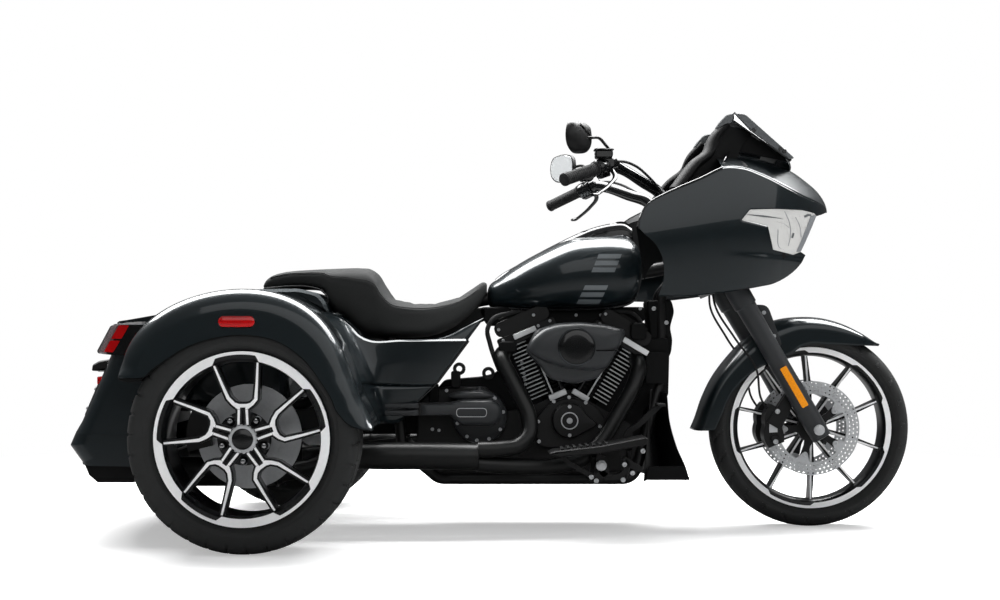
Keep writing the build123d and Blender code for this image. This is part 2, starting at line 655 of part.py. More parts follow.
SCREEN_FOOT, SCREEN_TOP = (947, 1129), (764, 1322)
SCREEN_T = 5.0
with BuildPart() as windshield:
    rise = Vector(SCREEN_TOP[0] - SCREEN_FOOT[0], 0, SCREEN_TOP[1] - SCREEN_FOOT[1])
    foot_plane = Plane(origin=(SCREEN_FOOT[0], 0, SCREEN_FOOT[1]), x_dir=(0, 1, 0), z_dir=rise)
    with BuildSketch(foot_plane):
        with BuildLine():
            ThreePointArc((-250, 86), (0, 0), (250, 86))
            Line((250, 86), (250, 86 + SCREEN_T))
            ThreePointArc((-250, 86 + SCREEN_T), (0, SCREEN_T), (250, 86 + SCREEN_T))
            Line((-250, 86 + SCREEN_T), (-250, 86))
        make_face()
    extrude(amount=rise.length)
    screen_plane = Plane(
        origin=(SCREEN_FOOT[0], 0, SCREEN_FOOT[1]),
        x_dir=(0, 1, 0),
        z_dir=Vector(rise.Z, 0, -rise.X),
    )
    with BuildSketch(screen_plane):
        with Locations((0, rise.length / 2)):
            Trapezoid(520, rise.length, 76)
    extrude(amount=200, both=True, mode=Mode.INTERSECT)
    add(fairing_outside, mode=Mode.SUBTRACT)
write(windshield, "windshield")

# ---- Frame ----
SEAT_FLOOR = 613.0
CROSS_X, CROSS_Z = -333.0, SEAT_FLOOR - SEAT_GAP - FRAME_TUBE_R
TRUNK_FLOOR = 425.0
TAIL_RAIL_Z, TAIL_RAIL_END = 392.0, -1074.7
SHOCK_TOP = (-430.0, 160.0)  # lengthwise, sideways
SUBFRAME_Y = 110.0
BACKBONE = [(616, 0, 843), (-60, 0, 728), (-250, 0, 640), (CROSS_X, 0, CROSS_Z)]
PIVOT_X, PIVOT_Z, PIVOT_R = -290.0, 385.0, 16.0
CASE_FLOOR = RAIL_Z + FRAME_TUBE_R + 5


def cradle(sign):
    """One side's long tube: head, down in front of the engine, under it, up and back to the tail."""
    return [
        (600, sign * 22, 836),
        (525, sign * 46, 740),
        (525, sign * 56, 480),
        (428, sign * RAIL_Y, RAIL_Z),
        (-184, sign * RAIL_Y, RAIL_Z),
        (-300, sign * RAIL_Y, 262),
        (CROSS_X, sign * SUBFRAME_Y, CROSS_Z),
        (-560, sign * SUBFRAME_Y, CROSS_Z),
        (-585, sign * SUBFRAME_Y, TAIL_RAIL_Z),
        (TAIL_RAIL_END, sign * SUBFRAME_Y, TAIL_RAIL_Z),
    ]


with BuildPart() as frame:
    rod(on_steering(HEAD_TUBE_LOW), on_steering(HEAD_TUBE_TOP), HEAD_TUBE_R)
    tube(BACKBONE, 60, BACKBONE_R)
    for sign in (-1, 1):
        tube(cradle(sign), 45, FRAME_TUBE_R)
        for mount_x in (60, 360):
            with Locations((mount_x, sign * (RAIL_Y - 12), CASE_FLOOR)):
                Box(60, 34, FRAME_TUBE_R + 5, align=(Align.CENTER, Align.CENTER, Align.MAX))
    for cross in ((CROSS_X, CROSS_Z, SUBFRAME_Y), (-530, CROSS_Z, SUBFRAME_Y), (380, RAIL_Z, RAIL_Y)):
        place = station(cross[0])
        rod((place, -cross[2], cross[1]), (place, cross[2], cross[1]), FRAME_TUBE_R - 3)
    for sign in (-1, 1):
        shock_top = station(SHOCK_TOP[0])
        rod((shock_top, sign * SUBFRAME_Y, CROSS_Z), (shock_top, sign * (SHOCK_TOP[1] + 22), CROSS_Z), 9)
        with Locations((station(-900), sign * SUBFRAME_Y, TAIL_RAIL_Z)):
            Box(60, 24, TRUNK_FLOOR - SEAT_GAP - TAIL_RAIL_Z, align=(Align.CENTER, Align.CENTER, Align.MIN))
    # The fairing's carrier reaches forward between the sweeps of the two fork tubes.
    rod(on_steering(-130, 10), (880, 0, 905), 18)
    for sign in (-1, 1):
        rod((876, 0, 904), (862, sign * 281, 855), 12)
    head_foot, head_top = on_steering(HEAD_TUBE_LOW - 5), on_steering(HEAD_TUBE_TOP + 5)
    rod(head_foot, head_top, STEM_R + RUNNING_GAP, mode=Mode.SUBTRACT)
    add(fairing_shell.part, mode=Mode.SUBTRACT)
write(frame, "frame")

# ---- Engine ----
DECK, HEAD_LEVEL = 88.0, 305.0  # along a cylinder from the crankshaft
ROCKER_HALF_W = 112.0
CASE_BLOCK_HALF_W = 110.0
VEE_HALF = (REAR_LEAN + FRONT_LEAN) / 2
VEE_MIDDLE = (FRONT_LEAN - REAR_LEAN) / 2


def on_cylinder(lean, across, up):
    """A (lengthwise, height) point `up` a cylinder leaning forward by `lean`, `across` to its front."""
    turn = radians(lean)
    return (
        CRANK_X + up * sin(turn) + across * cos(turn),
        CRANK_Z + up * cos(turn) - across * sin(turn),
    )


CYLINDERS = (-REAR_LEAN, FRONT_LEAN)
peak = on_cylinder(VEE_MIDDLE, 0, DECK / cos(radians(VEE_HALF)))

with BuildPart() as engine_block:
    with BuildSketch(right(0)):
        outline(
            [
                (-20, CASE_FLOOR),
                (425, CASE_FLOOR),
                (442, 255),
                (418, 335),
                on_cylinder(FRONT_LEAN, CYLINDER_R + 4, DECK),
                peak,
                on_cylinder(-REAR_LEAN, -CYLINDER_R - 4, DECK),
                (20, 372),
                (-20, 340),
            ]
        )
    extrude(amount=CASE_BLOCK_HALF_W, both=True)
    add(frame.part, mode=Mode.SUBTRACT)
write(engine_block, "engine_block")

with BuildPart() as cylinders:
    for lean in CYLINDERS:
        foot, top = on_cylinder(lean, 0, DECK), on_cylinder(lean, 0, HEAD_LEVEL)
        rod((foot[0], 0, foot[1]), (top[0], 0, top[1]), CYLINDER_R)
    with BuildSketch(Plane.XZ):
        with BuildLine():
            low_a, low_b = on_cylinder(VEE_MIDDLE, -2, 60), on_cylinder(VEE_MIDDLE, 2, 60)
            high_a, high_b = on_cylinder(VEE_MIDDLE, -2, 420), on_cylinder(VEE_MIDDLE, 2, 420)
            Polyline(low_a, low_b, high_b, high_a, close=True)
        make_face()
    extrude(amount=CYLINDER_R + 10, both=True, mode=Mode.SUBTRACT)
write(cylinders, "cylinders")

ROCKER_CEILING = 704.0
with BuildPart() as rocker_boxes:
    with BuildSketch(right(0)):
        rear = [(-112, HEAD_LEVEL), (-118, 402), (90, 402), (94, HEAD_LEVEL)]
        outline([on_cylinder(-REAR_LEAN, across, up) for across, up in rear], 8)
        front = [(-94, HEAD_LEVEL), (-90, 380), (98, 380), (104, HEAD_LEVEL)]
        outline([on_cylinder(FRONT_LEAN, across, up) for across, up in front], 8)
    extrude(amount=ROCKER_HALF_W, both=True)
    with Locations((CRANK_X, 0, ROCKER_CEILING)):
        Box(900, 400, 200, align=(Align.CENTER, Align.CENTER, Align.MIN), mode=Mode.SUBTRACT)
    with BuildSketch(right(0)):
        outline(
            [
                on_cylinder(VEE_MIDDLE, -2, 200),
                on_cylinder(VEE_MIDDLE, 2, 200),
                on_cylinder(VEE_MIDDLE, 2, 460),
                on_cylinder(VEE_MIDDLE, -2, 460),
            ]
        )
    extrude(amount=ROCKER_HALF_W + 5, both=True, mode=Mode.SUBTRACT)
write(rocker_boxes, "rocker_boxes")

PUSHROD_R, PUSHROD_Y = 10.0, 100.0
with BuildPart() as pushrod_tubes:
    for lean, places in ((-REAR_LEAN, (14, 44)), (FRONT_LEAN, (-44, -14))):
        for across in places:
            foot, top = on_cylinder(lean, across, DECK), on_cylinder(lean, across, HEAD_LEVEL)
            rod((foot[0], -PUSHROD_Y, foot[1]), (top[0], -PUSHROD_Y, top[1]), PUSHROD_R)
write(pushrod_tubes, "pushrod_tubes")

COVER_OUT = 152.0
with BuildPart() as cam_cover:
    with BuildSketch(right(CASE_BLOCK_HALF_W)):
        outline([(132, 268), (318, 268), (342, 350), (300, 404), (231, 424), (160, 398), (112, 346)], 22)
    extrude(amount=COVER_OUT - CASE_BLOCK_HALF_W)
    with BuildSketch(right(COVER_OUT)):
        with Locations((CRANK_X, CRANK_Z + 4)):
            Circle(54)
    extrude(amount=34, taper=8)
write(cam_cover, "cam_cover")

AIR_CLEANER_IN, AIR_CLEANER_OUT = 128.0, 262.0
AIR_CLEANER = [(84, 556), (120, 640), (250, 656), (404, 640), (362, 530), (304, 466), (166, 466)]
with BuildPart() as air_cleaner:
    with BuildSketch(right(AIR_CLEANER_IN)):
        outline(AIR_CLEANER, 34)
    extrude(amount=90)
    with BuildSketch(right(AIR_CLEANER_IN + 90)):
        outline(AIR_CLEANER, 34)
    extrude(amount=26, taper=40)
    with BuildSketch(right(AIR_CLEANER_OUT - 18)):
        with Locations((241, 579)):
            Circle(56)
    extrude(amount=18, taper=8)
    throat = [(-70, 210), (70, 210), (70, 262), (-70, 262)]
    with BuildSketch(right(40)):
        outline([on_cylinder(VEE_MIDDLE, across, up) for across, up in throat])
    extrude(amount=AIR_CLEANER_IN - 38)
    for solid in (cylinders, pushrod_tubes):
        add(solid.part, mode=Mode.SUBTRACT)
write(air_cleaner, "air_cleaner")

GEARBOX_IN, GEARBOX_OUT = -20.0, -262.0
BELT_IN, BELT_OUT = 60.0, 86.0
with BuildPart() as transmission:
    with BuildSketch(right(0)):
        outline([(GEARBOX_IN, 250), (GEARBOX_OUT, 250), (GEARBOX_OUT, 400), (-200, 452), (GEARBOX_IN, 452)])
    extrude(amount=CASE_BLOCK_HALF_W - 6, both=True)
    with Locations((GEARBOX_OUT, BELT_IN - 2, 350)):
        Box(300, 200, 240, align=(Align.CENTER, Align.MIN, Align.CENTER), mode=Mode.SUBTRACT)
    with BuildSketch(right(CASE_BLOCK_HALF_W - 6)):
        with Locations((-54, 360)):
            Circle(80)
        outline([(-120, 300), (10, 300), (10, 420), (-120, 420)])
    extrude(amount=110, taper=6)
    add(engine_block.part, mode=Mode.SUBTRACT)
    add(frame.part, mode=Mode.SUBTRACT)
write(transmission, "transmission")

PRIMARY_OUT = 205.0
with BuildPart() as primary_cover:
    with BuildSketch(Plane.XZ.offset(-CASE_BLOCK_HALF_W)):
        with BuildSketch(mode=Mode.PRIVATE) as drums:
            with Locations((CRANK_X + 20, CRANK_Z - 16)):
                Circle(98)
            with Locations((-62, 330)):
                Circle(108)
        make_hull(drums.sketch.edges())
    extrude(amount=CASE_BLOCK_HALF_W - PRIMARY_OUT)
    fillet(primary_cover.faces().sort_by(Axis.Y)[-1].edges(), radius=24)
write(primary_cover, "primary_cover")

# ---- Exhaust ----
MUFFLER_Y, MUFFLER_Z = 280.0, 248.0
with BuildPart() as mufflers:
    for sign in (-1, 1):
        front_end = -61 if sign < 0 else -130
        place = station(-425)
        rod((front_end, sign * MUFFLER_Y, MUFFLER_Z), (place, sign * MUFFLER_Y, MUFFLER_Z), MUFFLER_R)
        tube(
            [
                (-415, sign * MUFFLER_Y, MUFFLER_Z),
                (-490, sign * MUFFLER_Y, MUFFLER_Z - 10),
                (-590, sign * (MUFFLER_Y + 30), MUFFLER_Z - 44),
                (-660, sign * (MUFFLER_Y + 30), MUFFLER_Z - 44),
            ],
            40,
            PIPE_R,
        )
        can_front = (station(-640), sign * (MUFFLER_Y + 30), MUFFLER_Z - 44)
        can_back = (station(-1050), sign * (MUFFLER_Y + 30), MUFFLER_Z - 44)
        rod(can_front, can_back, MUFFLER_R + 4)
    tie_end = MUFFLER_Y - 14
    rod((-165, -tie_end, MUFFLER_Z - 30), (-165, tie_end, MUFFLER_Z - 30), 15)
    add(frame.part, mode=Mode.SUBTRACT)
write(mufflers, "mufflers")

with BuildPart() as exhaust_headers:
    rear_port = [(-22, -70, 556), (2, -128, 548), (38, -160, 492), (104, -205, 351)]
    rear_port += [(67, -240, 272), (-62, -272, 252)]
    tube(rear_port, 30, PIPE_R)
    front_port = [(436, -70, 548), (448, -140, 500), (363, -192, 353), (199, -222, 212), (-62, -262, 214)]
    tube(front_port, 34, PIPE_R)
    for solid in (cylinders, rocker_boxes, mufflers, cam_cover, engine_block, frame):
        add(solid.part, mode=Mode.SUBTRACT)
write(exhaust_headers, "exhaust_headers")

# ---- Tank, console and seat ----
# Tank cross-sections: lengthwise place, height of the underside, top and widest line, half width.
TANK_SECTIONS = [
    (-26, 712, 770, 742, 40),
    (30, 697, 815, 748, 108),
    (120, 692, 866, 760, 150),
    (240, 692, 921, 784, 172),
    (350, 697, 932, 800, 184),
    (424, 713, 922, 806, 176),
    (452, 745, 890, 812, 150),
]
TUNNEL_HALF_W = ROCKER_HALF_W + 6
with BuildPart() as fuel_tank:
    for x, under, top, wide, half in TANK_SECTIONS:
        with BuildSketch(Plane(origin=(x, 0, 0), x_dir=(0, 1, 0), z_dir=(1, 0, 0))):
            with BuildLine():
                Spline(
                    (0, top),
                    (half * 0.62, top - 0.14 * (top - wide)),
                    (half, wide),
                    (half * 0.84, under + 0.12 * (wide - under)),
                    (0, under),
                    (-half * 0.84, under + 0.12 * (wide - under)),
                    (-half, wide),
                    (-half * 0.62, top - 0.14 * (top - wide)),
                    periodic=True,
                )
            make_face()
    loft()
    with Locations((160, 0, 640)):
        Box(700, 2 * TUNNEL_HALF_W, 2 * (726 - 640), mode=Mode.SUBTRACT)
    with BuildSketch(Plane.XZ):
        Polygon((-60, 640), (-60, 764), (480, 862), (480, 640), align=None)
    extrude(amount=BACKBONE_R + 8, both=True, mode=Mode.SUBTRACT)
    for sign in (-1, 1):
        rod((330, sign * (BACKBONE_R + 12), 790), (330, sign * (BACKBONE_R - 4), 790), 14)
    add(frame.part, mode=Mode.SUBTRACT)
write(fuel_tank, "fuel_tank")

CONSOLE_HALF_W = 46.0
DOOR_L, DOOR_HALF_W, DOOR_T = 104.0, 36.0, 7.0
CONSOLE_TOP = [(7, 812), (60, 842), (151, 889), (210, 921), (266, 946), (323, 966), (373, 976), (418, 974)]
with BuildPart() as tank_console:
    with BuildSketch(right(0)):
        outline([*CONSOLE_TOP, (440, 930), (430, 880), (7, 760)])
    extrude(amount=CONSOLE_HALF_W, both=True)
    add(fuel_tank.part, mode=Mode.SUBTRACT)
    add(tank_console.solids().sort_by(Axis.Z)[-1], mode=Mode.REPLACE)
    door_a, door_b = Vector(266, 946), Vector(373, 976)
    door_way = (door_b - door_a).normalized()
    door_foot = door_a + door_way * 6
    door_plane = Plane(
        origin=(door_foot.X, 0, door_foot.Y),
        x_dir=(door_way.X, 0, door_way.Y),
        z_dir=(-door_way.Y, 0, door_way.X),
    )
    with BuildSketch(door_plane.offset(-DOOR_T - 12)):
        with Locations((DOOR_L / 2 - 3, 0)):
            RectangleRounded(DOOR_L, 2 * DOOR_HALF_W + 2, 14)
    extrude(amount=40, mode=Mode.SUBTRACT)
write(tank_console, "tank_console")

with BuildPart() as fuel_door:
    with BuildSketch(door_plane.offset(-DOOR_T)):
        with Locations((DOOR_L / 2 - 3, 0)):
            RectangleRounded(DOOR_L - 1.2, 2 * DOOR_HALF_W + 0.8, 13)
    extrude(amount=DOOR_T)
write(fuel_door, "fuel_door")

SEAT_SIDE = [(-740, 780), (-714, 806), (-687, 814), (-593, 823), (-457, 829), (-410, 832), (-386, 818)]
SEAT_SIDE += [(-362, 774), (-330, 738), (-277, 724), (-225, 721), (-173, 726), (-121, 738), (-68, 770)]
SEAT_SIDE += [(-42, 789), (-26, 786), (-32, 752), (-48, 721), (-74, 692), (-120, 660), (-171, 634)]
SEAT_SIDE += [(-222, 618), (-299, 613), (-376, 615), (-407, 619), (-448, 640), (-480, 670), (-513, 688)]
SEAT_SIDE += [(-528, 715), (-531, 738), (-556, 758), (-600, 765), (-700, 764), (-745, 763)]
SEAT_EDGE = [(-20, 0), (-60, 84), (-230, 188), (-420, 172), (-600, 152), (-748, 96)]
seat_edge = [(station(x), y) for x, y in SEAT_EDGE]
with BuildPart() as seat:
    with BuildSketch(right(0)):
        outline(SEAT_SIDE)
    extrude(amount=220, both=True)
    with BuildSketch(Plane.XY.offset(560)):
        with BuildLine():
            Spline(*seat_edge)
            Line((station(-748), 96), (station(-748), -96))
            Spline(*[(x, -y) for x, y in reversed(seat_edge)])
        make_face()
    extrude(amount=300, mode=Mode.INTERSECT)
    tube(BACKBONE, 60, BACKBONE_R + 4, mode=Mode.SUBTRACT)
    add(fuel_tank.part, mode=Mode.SUBTRACT)
write(seat, "seat")

# ---- Tail body, its lid and the rear fenders ----
# Side outlines at the middle. The back bows round an upright axis far ahead, so the corners stand
# TAIL_BOW further forward.
TAIL_END = station(-(FRONT_TYRE_R + FRONT_AXLE_X))
TAIL_BOW = 69.0
BOW_R = (TRUNK_HALF_W**2 + TAIL_BOW**2) / (2 * TAIL_BOW)
BOW_AXIS = Axis((TAIL_END + BOW_R, 0, 0), (0, 0, 1))
TAIL_TOP = [(-776, 740), (-860, 718), (-935, 694), (-1010, 674), (-1090, 660), (-1189, 646)]
TAIL_BACK = [(-1207, 553), (-1239, 477), (-1290, 357), (-1309, 323.3)]
LID_T, LID_SIDE_GAP = 14.0, 6.0
TRUNK_FRONT, TAIL_FRONT = -640.0, -1075.0
BUMPER_TOP, BUMPER_FOOT, VALANCE_FOOT = 323.0, 229.0, 180.0
TAIL_CORNER_R = 44.0


def lowered(points, drop):
    """The same outline points, lower by `drop`."""
    return [(x, z - drop) for x, z in points]


def tail_block(points, half_w, back, corner=0.0):
    """A block of this side outline whose back, the outline points from `back` on, is bowed in plan."""
    with BuildPart() as block:
        with BuildSketch(right(0)):
            outline(points)
        extrude(amount=half_w, both=True)
        with BuildSketch(Plane.XZ):
            low, high = back[-1][1] - 60, back[0][1] + 90
            outline([(-400, low), (-400, high), (back[0][0], high), *back, (back[-1][0], low)])
        revolve(axis=BOW_AXIS, mode=Mode.INTERSECT)
        if corner:
            upright = []
            for edge in block.edges():
                middle, way = edge.position_at(0.5), edge.tangent_at(0.5)
                if abs(abs(middle.Y) - half_w) < 0.5 and middle.X < TAIL_END + 240 and abs(way.Z) > 0.6:
                    upright.append(edge)
            fillet(upright, radius=corner)
    return block.part


under_lid = lowered(TAIL_TOP, LID_T + SEAT_GAP)
trunk_skin = [(TRUNK_FRONT, TRUNK_FLOOR), (TRUNK_FRONT, 742), (-772, 742), (-772, 726)]
trunk_skin += [*under_lid, *TAIL_BACK]
trunk_skin += [(TAIL_FRONT, BUMPER_TOP + SEAT_GAP), (TAIL_FRONT, TRUNK_FLOOR)]
trunk_filled = tail_block(trunk_skin, TRUNK_HALF_W, [under_lid[-1], *TAIL_BACK], TAIL_CORNER_R)
inner_back = [(x + WALL + 1, z) for x, z in TAIL_BACK[:-1]] + [(-1300, BUMPER_TOP + SEAT_GAP + WALL)]
trunk_space = [(TRUNK_FRONT - WALL, TRUNK_FLOOR + WALL), (TRUNK_FRONT - WALL, 742 - WALL), (-776, 742 - WALL)]
trunk_space += [(-776, 726 - WALL), *lowered(under_lid, WALL)[1:-1], (-1184, 628), *inner_back]
trunk_space += [(TAIL_FRONT - WALL, BUMPER_TOP + SEAT_GAP + WALL), (TAIL_FRONT - WALL, TRUNK_FLOOR + WALL)]
with BuildPart() as trunk_body:
    add(trunk_filled)
    space = tail_block(trunk_space, TRUNK_HALF_W - WALL, [(-1184, 628), *inner_back], TAIL_CORNER_R - WALL)
    add(space, mode=Mode.SUBTRACT)
    with BuildSketch(Plane.XY.offset(600)):
        plan([(-796, -360), (-796, 360), (-1120, 360), (-1120, -360)], 30)
    extrude(amount=200, mode=Mode.SUBTRACT)
write(trunk_body, "trunk_body")

with BuildPart() as trunk_lid:
    lid_skin = [*TAIL_TOP, *reversed(lowered(TAIL_TOP, LID_T))]
    add(tail_block(lid_skin, TRUNK_HALF_W - LID_SIDE_GAP, [TAIL_TOP[-1], lowered(TAIL_TOP, LID_T)[-1]]))
    lid_inside = [(-800, 640), (-800, 733 - WALL), *lowered(TAIL_TOP[1:-1], WALL)]
    lid_inside += [(-1112, 652 - WALL), (-1112, 600)]
    with BuildSketch(right(0)):
        outline(lid_inside)
    extrude(amount=345, both=True, mode=Mode.SUBTRACT)
write(trunk_lid, "trunk_lid")

with BuildPart() as rear_bumper:
    bumper_back = [(-1309, BUMPER_TOP), (-1323.4, 289), (-1290, 240)]
    skin = [(TAIL_FRONT, BUMPER_TOP), *bumper_back, (-1200, 231), (TAIL_FRONT, BUMPER_FOOT)]
    add(tail_block(skin, TRUNK_HALF_W, bumper_back, TAIL_CORNER_R))
    inner_back = [(-1304, BUMPER_TOP - WALL), (-1318, 289), (-1287, 244)]
    space = [(TAIL_FRONT + 20, BUMPER_TOP - WALL), *inner_back]
    space += [(-1200, 235), (TAIL_FRONT + 20, BUMPER_FOOT + WALL)]
    add(tail_block(space, TRUNK_HALF_W - WALL, inner_back, TAIL_CORNER_R - WALL), mode=Mode.SUBTRACT)
write(rear_bumper, "rear_bumper")

with BuildPart() as rear_valance:
    valance_back = [(-1286, 238), (-1272, 202), (-1248, VALANCE_FOOT)]
    skin = [(TAIL_FRONT, BUMPER_FOOT - SEAT_GAP), (-1200, 231 - SEAT_GAP)]
    skin += [*valance_back, (TAIL_FRONT, VALANCE_FOOT)]
    add(tail_block(skin, TRUNK_HALF_W - 24, valance_back))
    with BuildSketch(right(0)):
        outline([(TAIL_FRONT + 20, BUMPER_FOOT - 5), (-1190, 225), (-1190, 170), (TAIL_FRONT + 20, 170)])
    extrude(amount=TRUNK_HALF_W - 34, both=True, mode=Mode.SUBTRACT)
    add(rear_bumper.part, mode=Mode.SUBTRACT)
write(rear_valance, "rear_valance")

FENDER_CROWN = [(-1052, 499), (-1030, 599), (-993, 641), (-932, 684), (-859, 724), (-773, 741), (-712, 744)]
FENDER_CROWN += [(-657, 738), (-596, 724), (-535, 696), (-486, 652), (-436, 564), (-402, 483), (-374, 414)]
FENDER_CROWN += [(-347, 351)]
ARCH = [(-393, 340), (-393, 360), (-441, 396), (-465, 444), (-495, 491), (-536, 545), (-614, 599), (-704, 616)]
ARCH += [(-763, 612), (-853, 587), (-954, 524), (-990, 497), (-1080, 490), (-1000, 340)]


def rear_fender_outline(drawn):
    """Fill the fender's side view; `drawn` brings its crown in and its foot down, for the hollow."""
    crown = []
    for x, z in FENDER_CROWN:
        away = Vector(x + 715.5, z - 325.4).normalized() * drawn
        crown.append((station(x) - away.X, z - away.Y))
    low_back = (crown[0][0], crown[0][1] - 6 * drawn)
    low_front = (crown[-1][0], crown[-1][1] - 6 * drawn)
    with BuildLine() as boundary:
        Spline(*crown)
        if drawn:
            Polyline(crown[-1], low_front, low_back, crown[0])
        else:
            Line(crown[-1], crown[0])
    make_face(boundary.edges())


MARKER_X, MARKER_Z, MARKER_L, MARKER_H = -727.0, 659.0, 102.0, 34.0
for side, sign in SIDES.items():
    with BuildPart() as rear_fender:
        with BuildSketch(right(TRUNK_HALF_W + SEAT_GAP)):
            rear_fender_outline(0)
        extrude(amount=FENDER_OUT_Y - TRUNK_HALF_W - SEAT_GAP)
        crown_edge = rear_fender.faces().sort_by(Axis.Y)[0].edges().sort_by(Edge.length)[-1]
        fillet(crown_edge, radius=42)
        with BuildSketch(right(TRUNK_HALF_W + SEAT_GAP + WALL)):
            rear_fender_outline(WALL)
        extrude(amount=FENDER_OUT_Y - TRUNK_HALF_W - SEAT_GAP - 2 * WALL - 40, mode=Mode.SUBTRACT)
        with BuildSketch(right(FENDER_OUT_Y - WALL - 40)):
            rear_fender_outline(WALL + 12)
        extrude(amount=22, mode=Mode.SUBTRACT)
        with BuildSketch(right(FENDER_OUT_Y - WALL - 18)):
            rear_fender_outline(WALL + 26)
        extrude(amount=18, mode=Mode.SUBTRACT)
        with BuildSketch(right(FENDER_OUT_Y - WALL - 30)):
            outline(ARCH, 8)
        extrude(amount=60, mode=Mode.SUBTRACT)
        if sign > 0:
            mirror(about=Plane.XZ, mode=Mode.REPLACE)
    write(rear_fender, f"rear_fender_{side}")

with BuildPart() as side_markers:
    with BuildSketch(right(FENDER_OUT_Y + SEAT_GAP)):
        with Locations((station(MARKER_X), MARKER_Z)):
            SlotOverall(MARKER_L, MARKER_H)
    extrude(amount=7, taper=20)
    mirror(about=Plane.XZ)
write(side_markers, "side_markers")

with BuildPart() as tail_lights:
    light_back = [(-1204, 644), (-1246, 566)]
    light = [(-1070, 644), *light_back, (-1196, 557), (-1070, 560)]
    with BuildSketch(right(0)):
        outline(light)
    extrude(amount=490, both=True)
    with BuildSketch(Plane.XZ):
        outline([(-900, 500), (-900, 700), (-1190, 700), *light_back, (-1290, 500)])
    revolve(axis=BOW_AXIS, mode=Mode.INTERSECT)
    with BuildSketch(Plane.YZ.offset(station(-1000))):
        Rectangle(600, 2000)
    extrude(amount=-400, mode=Mode.SUBTRACT)
    add(trunk_filled, mode=Mode.SUBTRACT)
    add(trunk_lid.part, mode=Mode.SUBTRACT)
write(tail_lights, "tail_lights")

with BuildPart() as rear_reflectors:
    with Locations((station(-1222), -210, 477)):
        Box(34, 60, 24)
    mirror(about=Plane.XZ)
    add(trunk_filled, mode=Mode.SUBTRACT)
write(rear_reflectors, "rear_reflectors")

PLATE_HALF_W = 92.0
with BuildPart() as plate_holder:
    with BuildSketch(right(0)):
        wing = [(-1190, 560), (-1215, 542), (-1262, 536), (-1284, 522), (-1287, 500)]
        outline([*wing, (-1262, 500), (-1228, 508), (-1200, 500)])
        outline([(-1225, 472), (-1262, 472), (-1310, 361), (-1292, 354), (-1270, 366)])
    extrude(amount=PLATE_HALF_W, both=True)
    add(trunk_filled, mode=Mode.SUBTRACT)
write(plate_holder, "plate_holder")

# ---- Rear axle, swingarm, springs, brakes and belt ----
AXLE_TUBE_R, DIFF_R, DIFF_HALF_W = 40.0, 88.0, 55.0
FLANGE_R = 56.0
REAR_FLANGE_Y = REAR_TRACK / 2 - 60
with BuildPart() as rear_axle_housing:
    axle_line = [(REAR_AXLE_X, y, REAR_TYRE_R) for y in (-REAR_FLANGE_Y, REAR_FLANGE_Y)]
    rod(*axle_line, AXLE_TUBE_R)
    rod((REAR_AXLE_X, -DIFF_HALF_W, REAR_TYRE_R), (REAR_AXLE_X, DIFF_HALF_W, REAR_TYRE_R), DIFF_R)
    for sign in (-1, 1):
        flange = [(REAR_AXLE_X, sign * (REAR_FLANGE_Y - depth), REAR_TYRE_R) for depth in (12, 0)]
        rod(*flange, FLANGE_R)
        spindle_end = sign * (REAR_TRACK / 2 + REAR_HUB_OUT - 20)
        flange = (REAR_AXLE_X, sign * (REAR_FLANGE_Y - 5), REAR_TYRE_R)
        rod(flange, (REAR_AXLE_X, spindle_end, REAR_TYRE_R), REAR_SPINDLE_R)
        with Locations((REAR_AXLE_X, sign * SUBFRAME_Y, REAR_TYRE_R)):
            Box(46, 22, TAIL_RAIL_Z - REAR_TYRE_R, align=(Align.CENTER, Align.CENTER, Align.MIN))
    add(frame.part, mode=Mode.SUBTRACT)
write(rear_axle_housing, "rear_axle_housing")

ARM_IN, ARM_OUT, ARM_H = 164.0, 190.0, 38.0
with BuildPart() as swingarm:
    with BuildSketch(right(ARM_IN)):
        outline(
            [
                (-125, PIVOT_Z + ARM_H / 2),
                (-125, PIVOT_Z - ARM_H / 2),
                (-380, PIVOT_Z - ARM_H / 2),
                (-690, REAR_TYRE_R - 34),
                (-760, REAR_TYRE_R - 34),
                (-760, REAR_TYRE_R + 30),
                (-690, REAR_TYRE_R + 52),
                (-380, PIVOT_Z + ARM_H / 2),
            ]
        )
    extrude(amount=ARM_OUT - ARM_IN)
    mirror(about=Plane.XZ)
    for sign in (-1, 1):
        pivot = station(PIVOT_X)
        rod((pivot, sign * 98, PIVOT_Z), (pivot, sign * ARM_OUT, PIVOT_Z), PIVOT_R)
    for solid in (frame, rear_axle_housing, primary_cover, transmission):
        add(solid.part, mode=Mode.SUBTRACT)
write(swingarm, "swingarm")

SHOCK_FOOT = (-560.0, 177.0, 396.0)
with BuildPart() as rear_shocks:
    for sign in (-1, 1):
        foot = Vector(station(SHOCK_FOOT[0]), sign * SHOCK_FOOT[1], SHOCK_FOOT[2])
        top = Vector(station(SHOCK_TOP[0]), sign * (SHOCK_TOP[1] + 8), CROSS_Z)
        lean = (top - foot).normalized()
        rod(foot - lean * 40, top, 11)
        rod(foot + lean * 26, top - lean * 26, 30)
    for solid in (frame, swingarm):
        add(solid.part, mode=Mode.SUBTRACT)
write(rear_shocks, "rear_shocks")

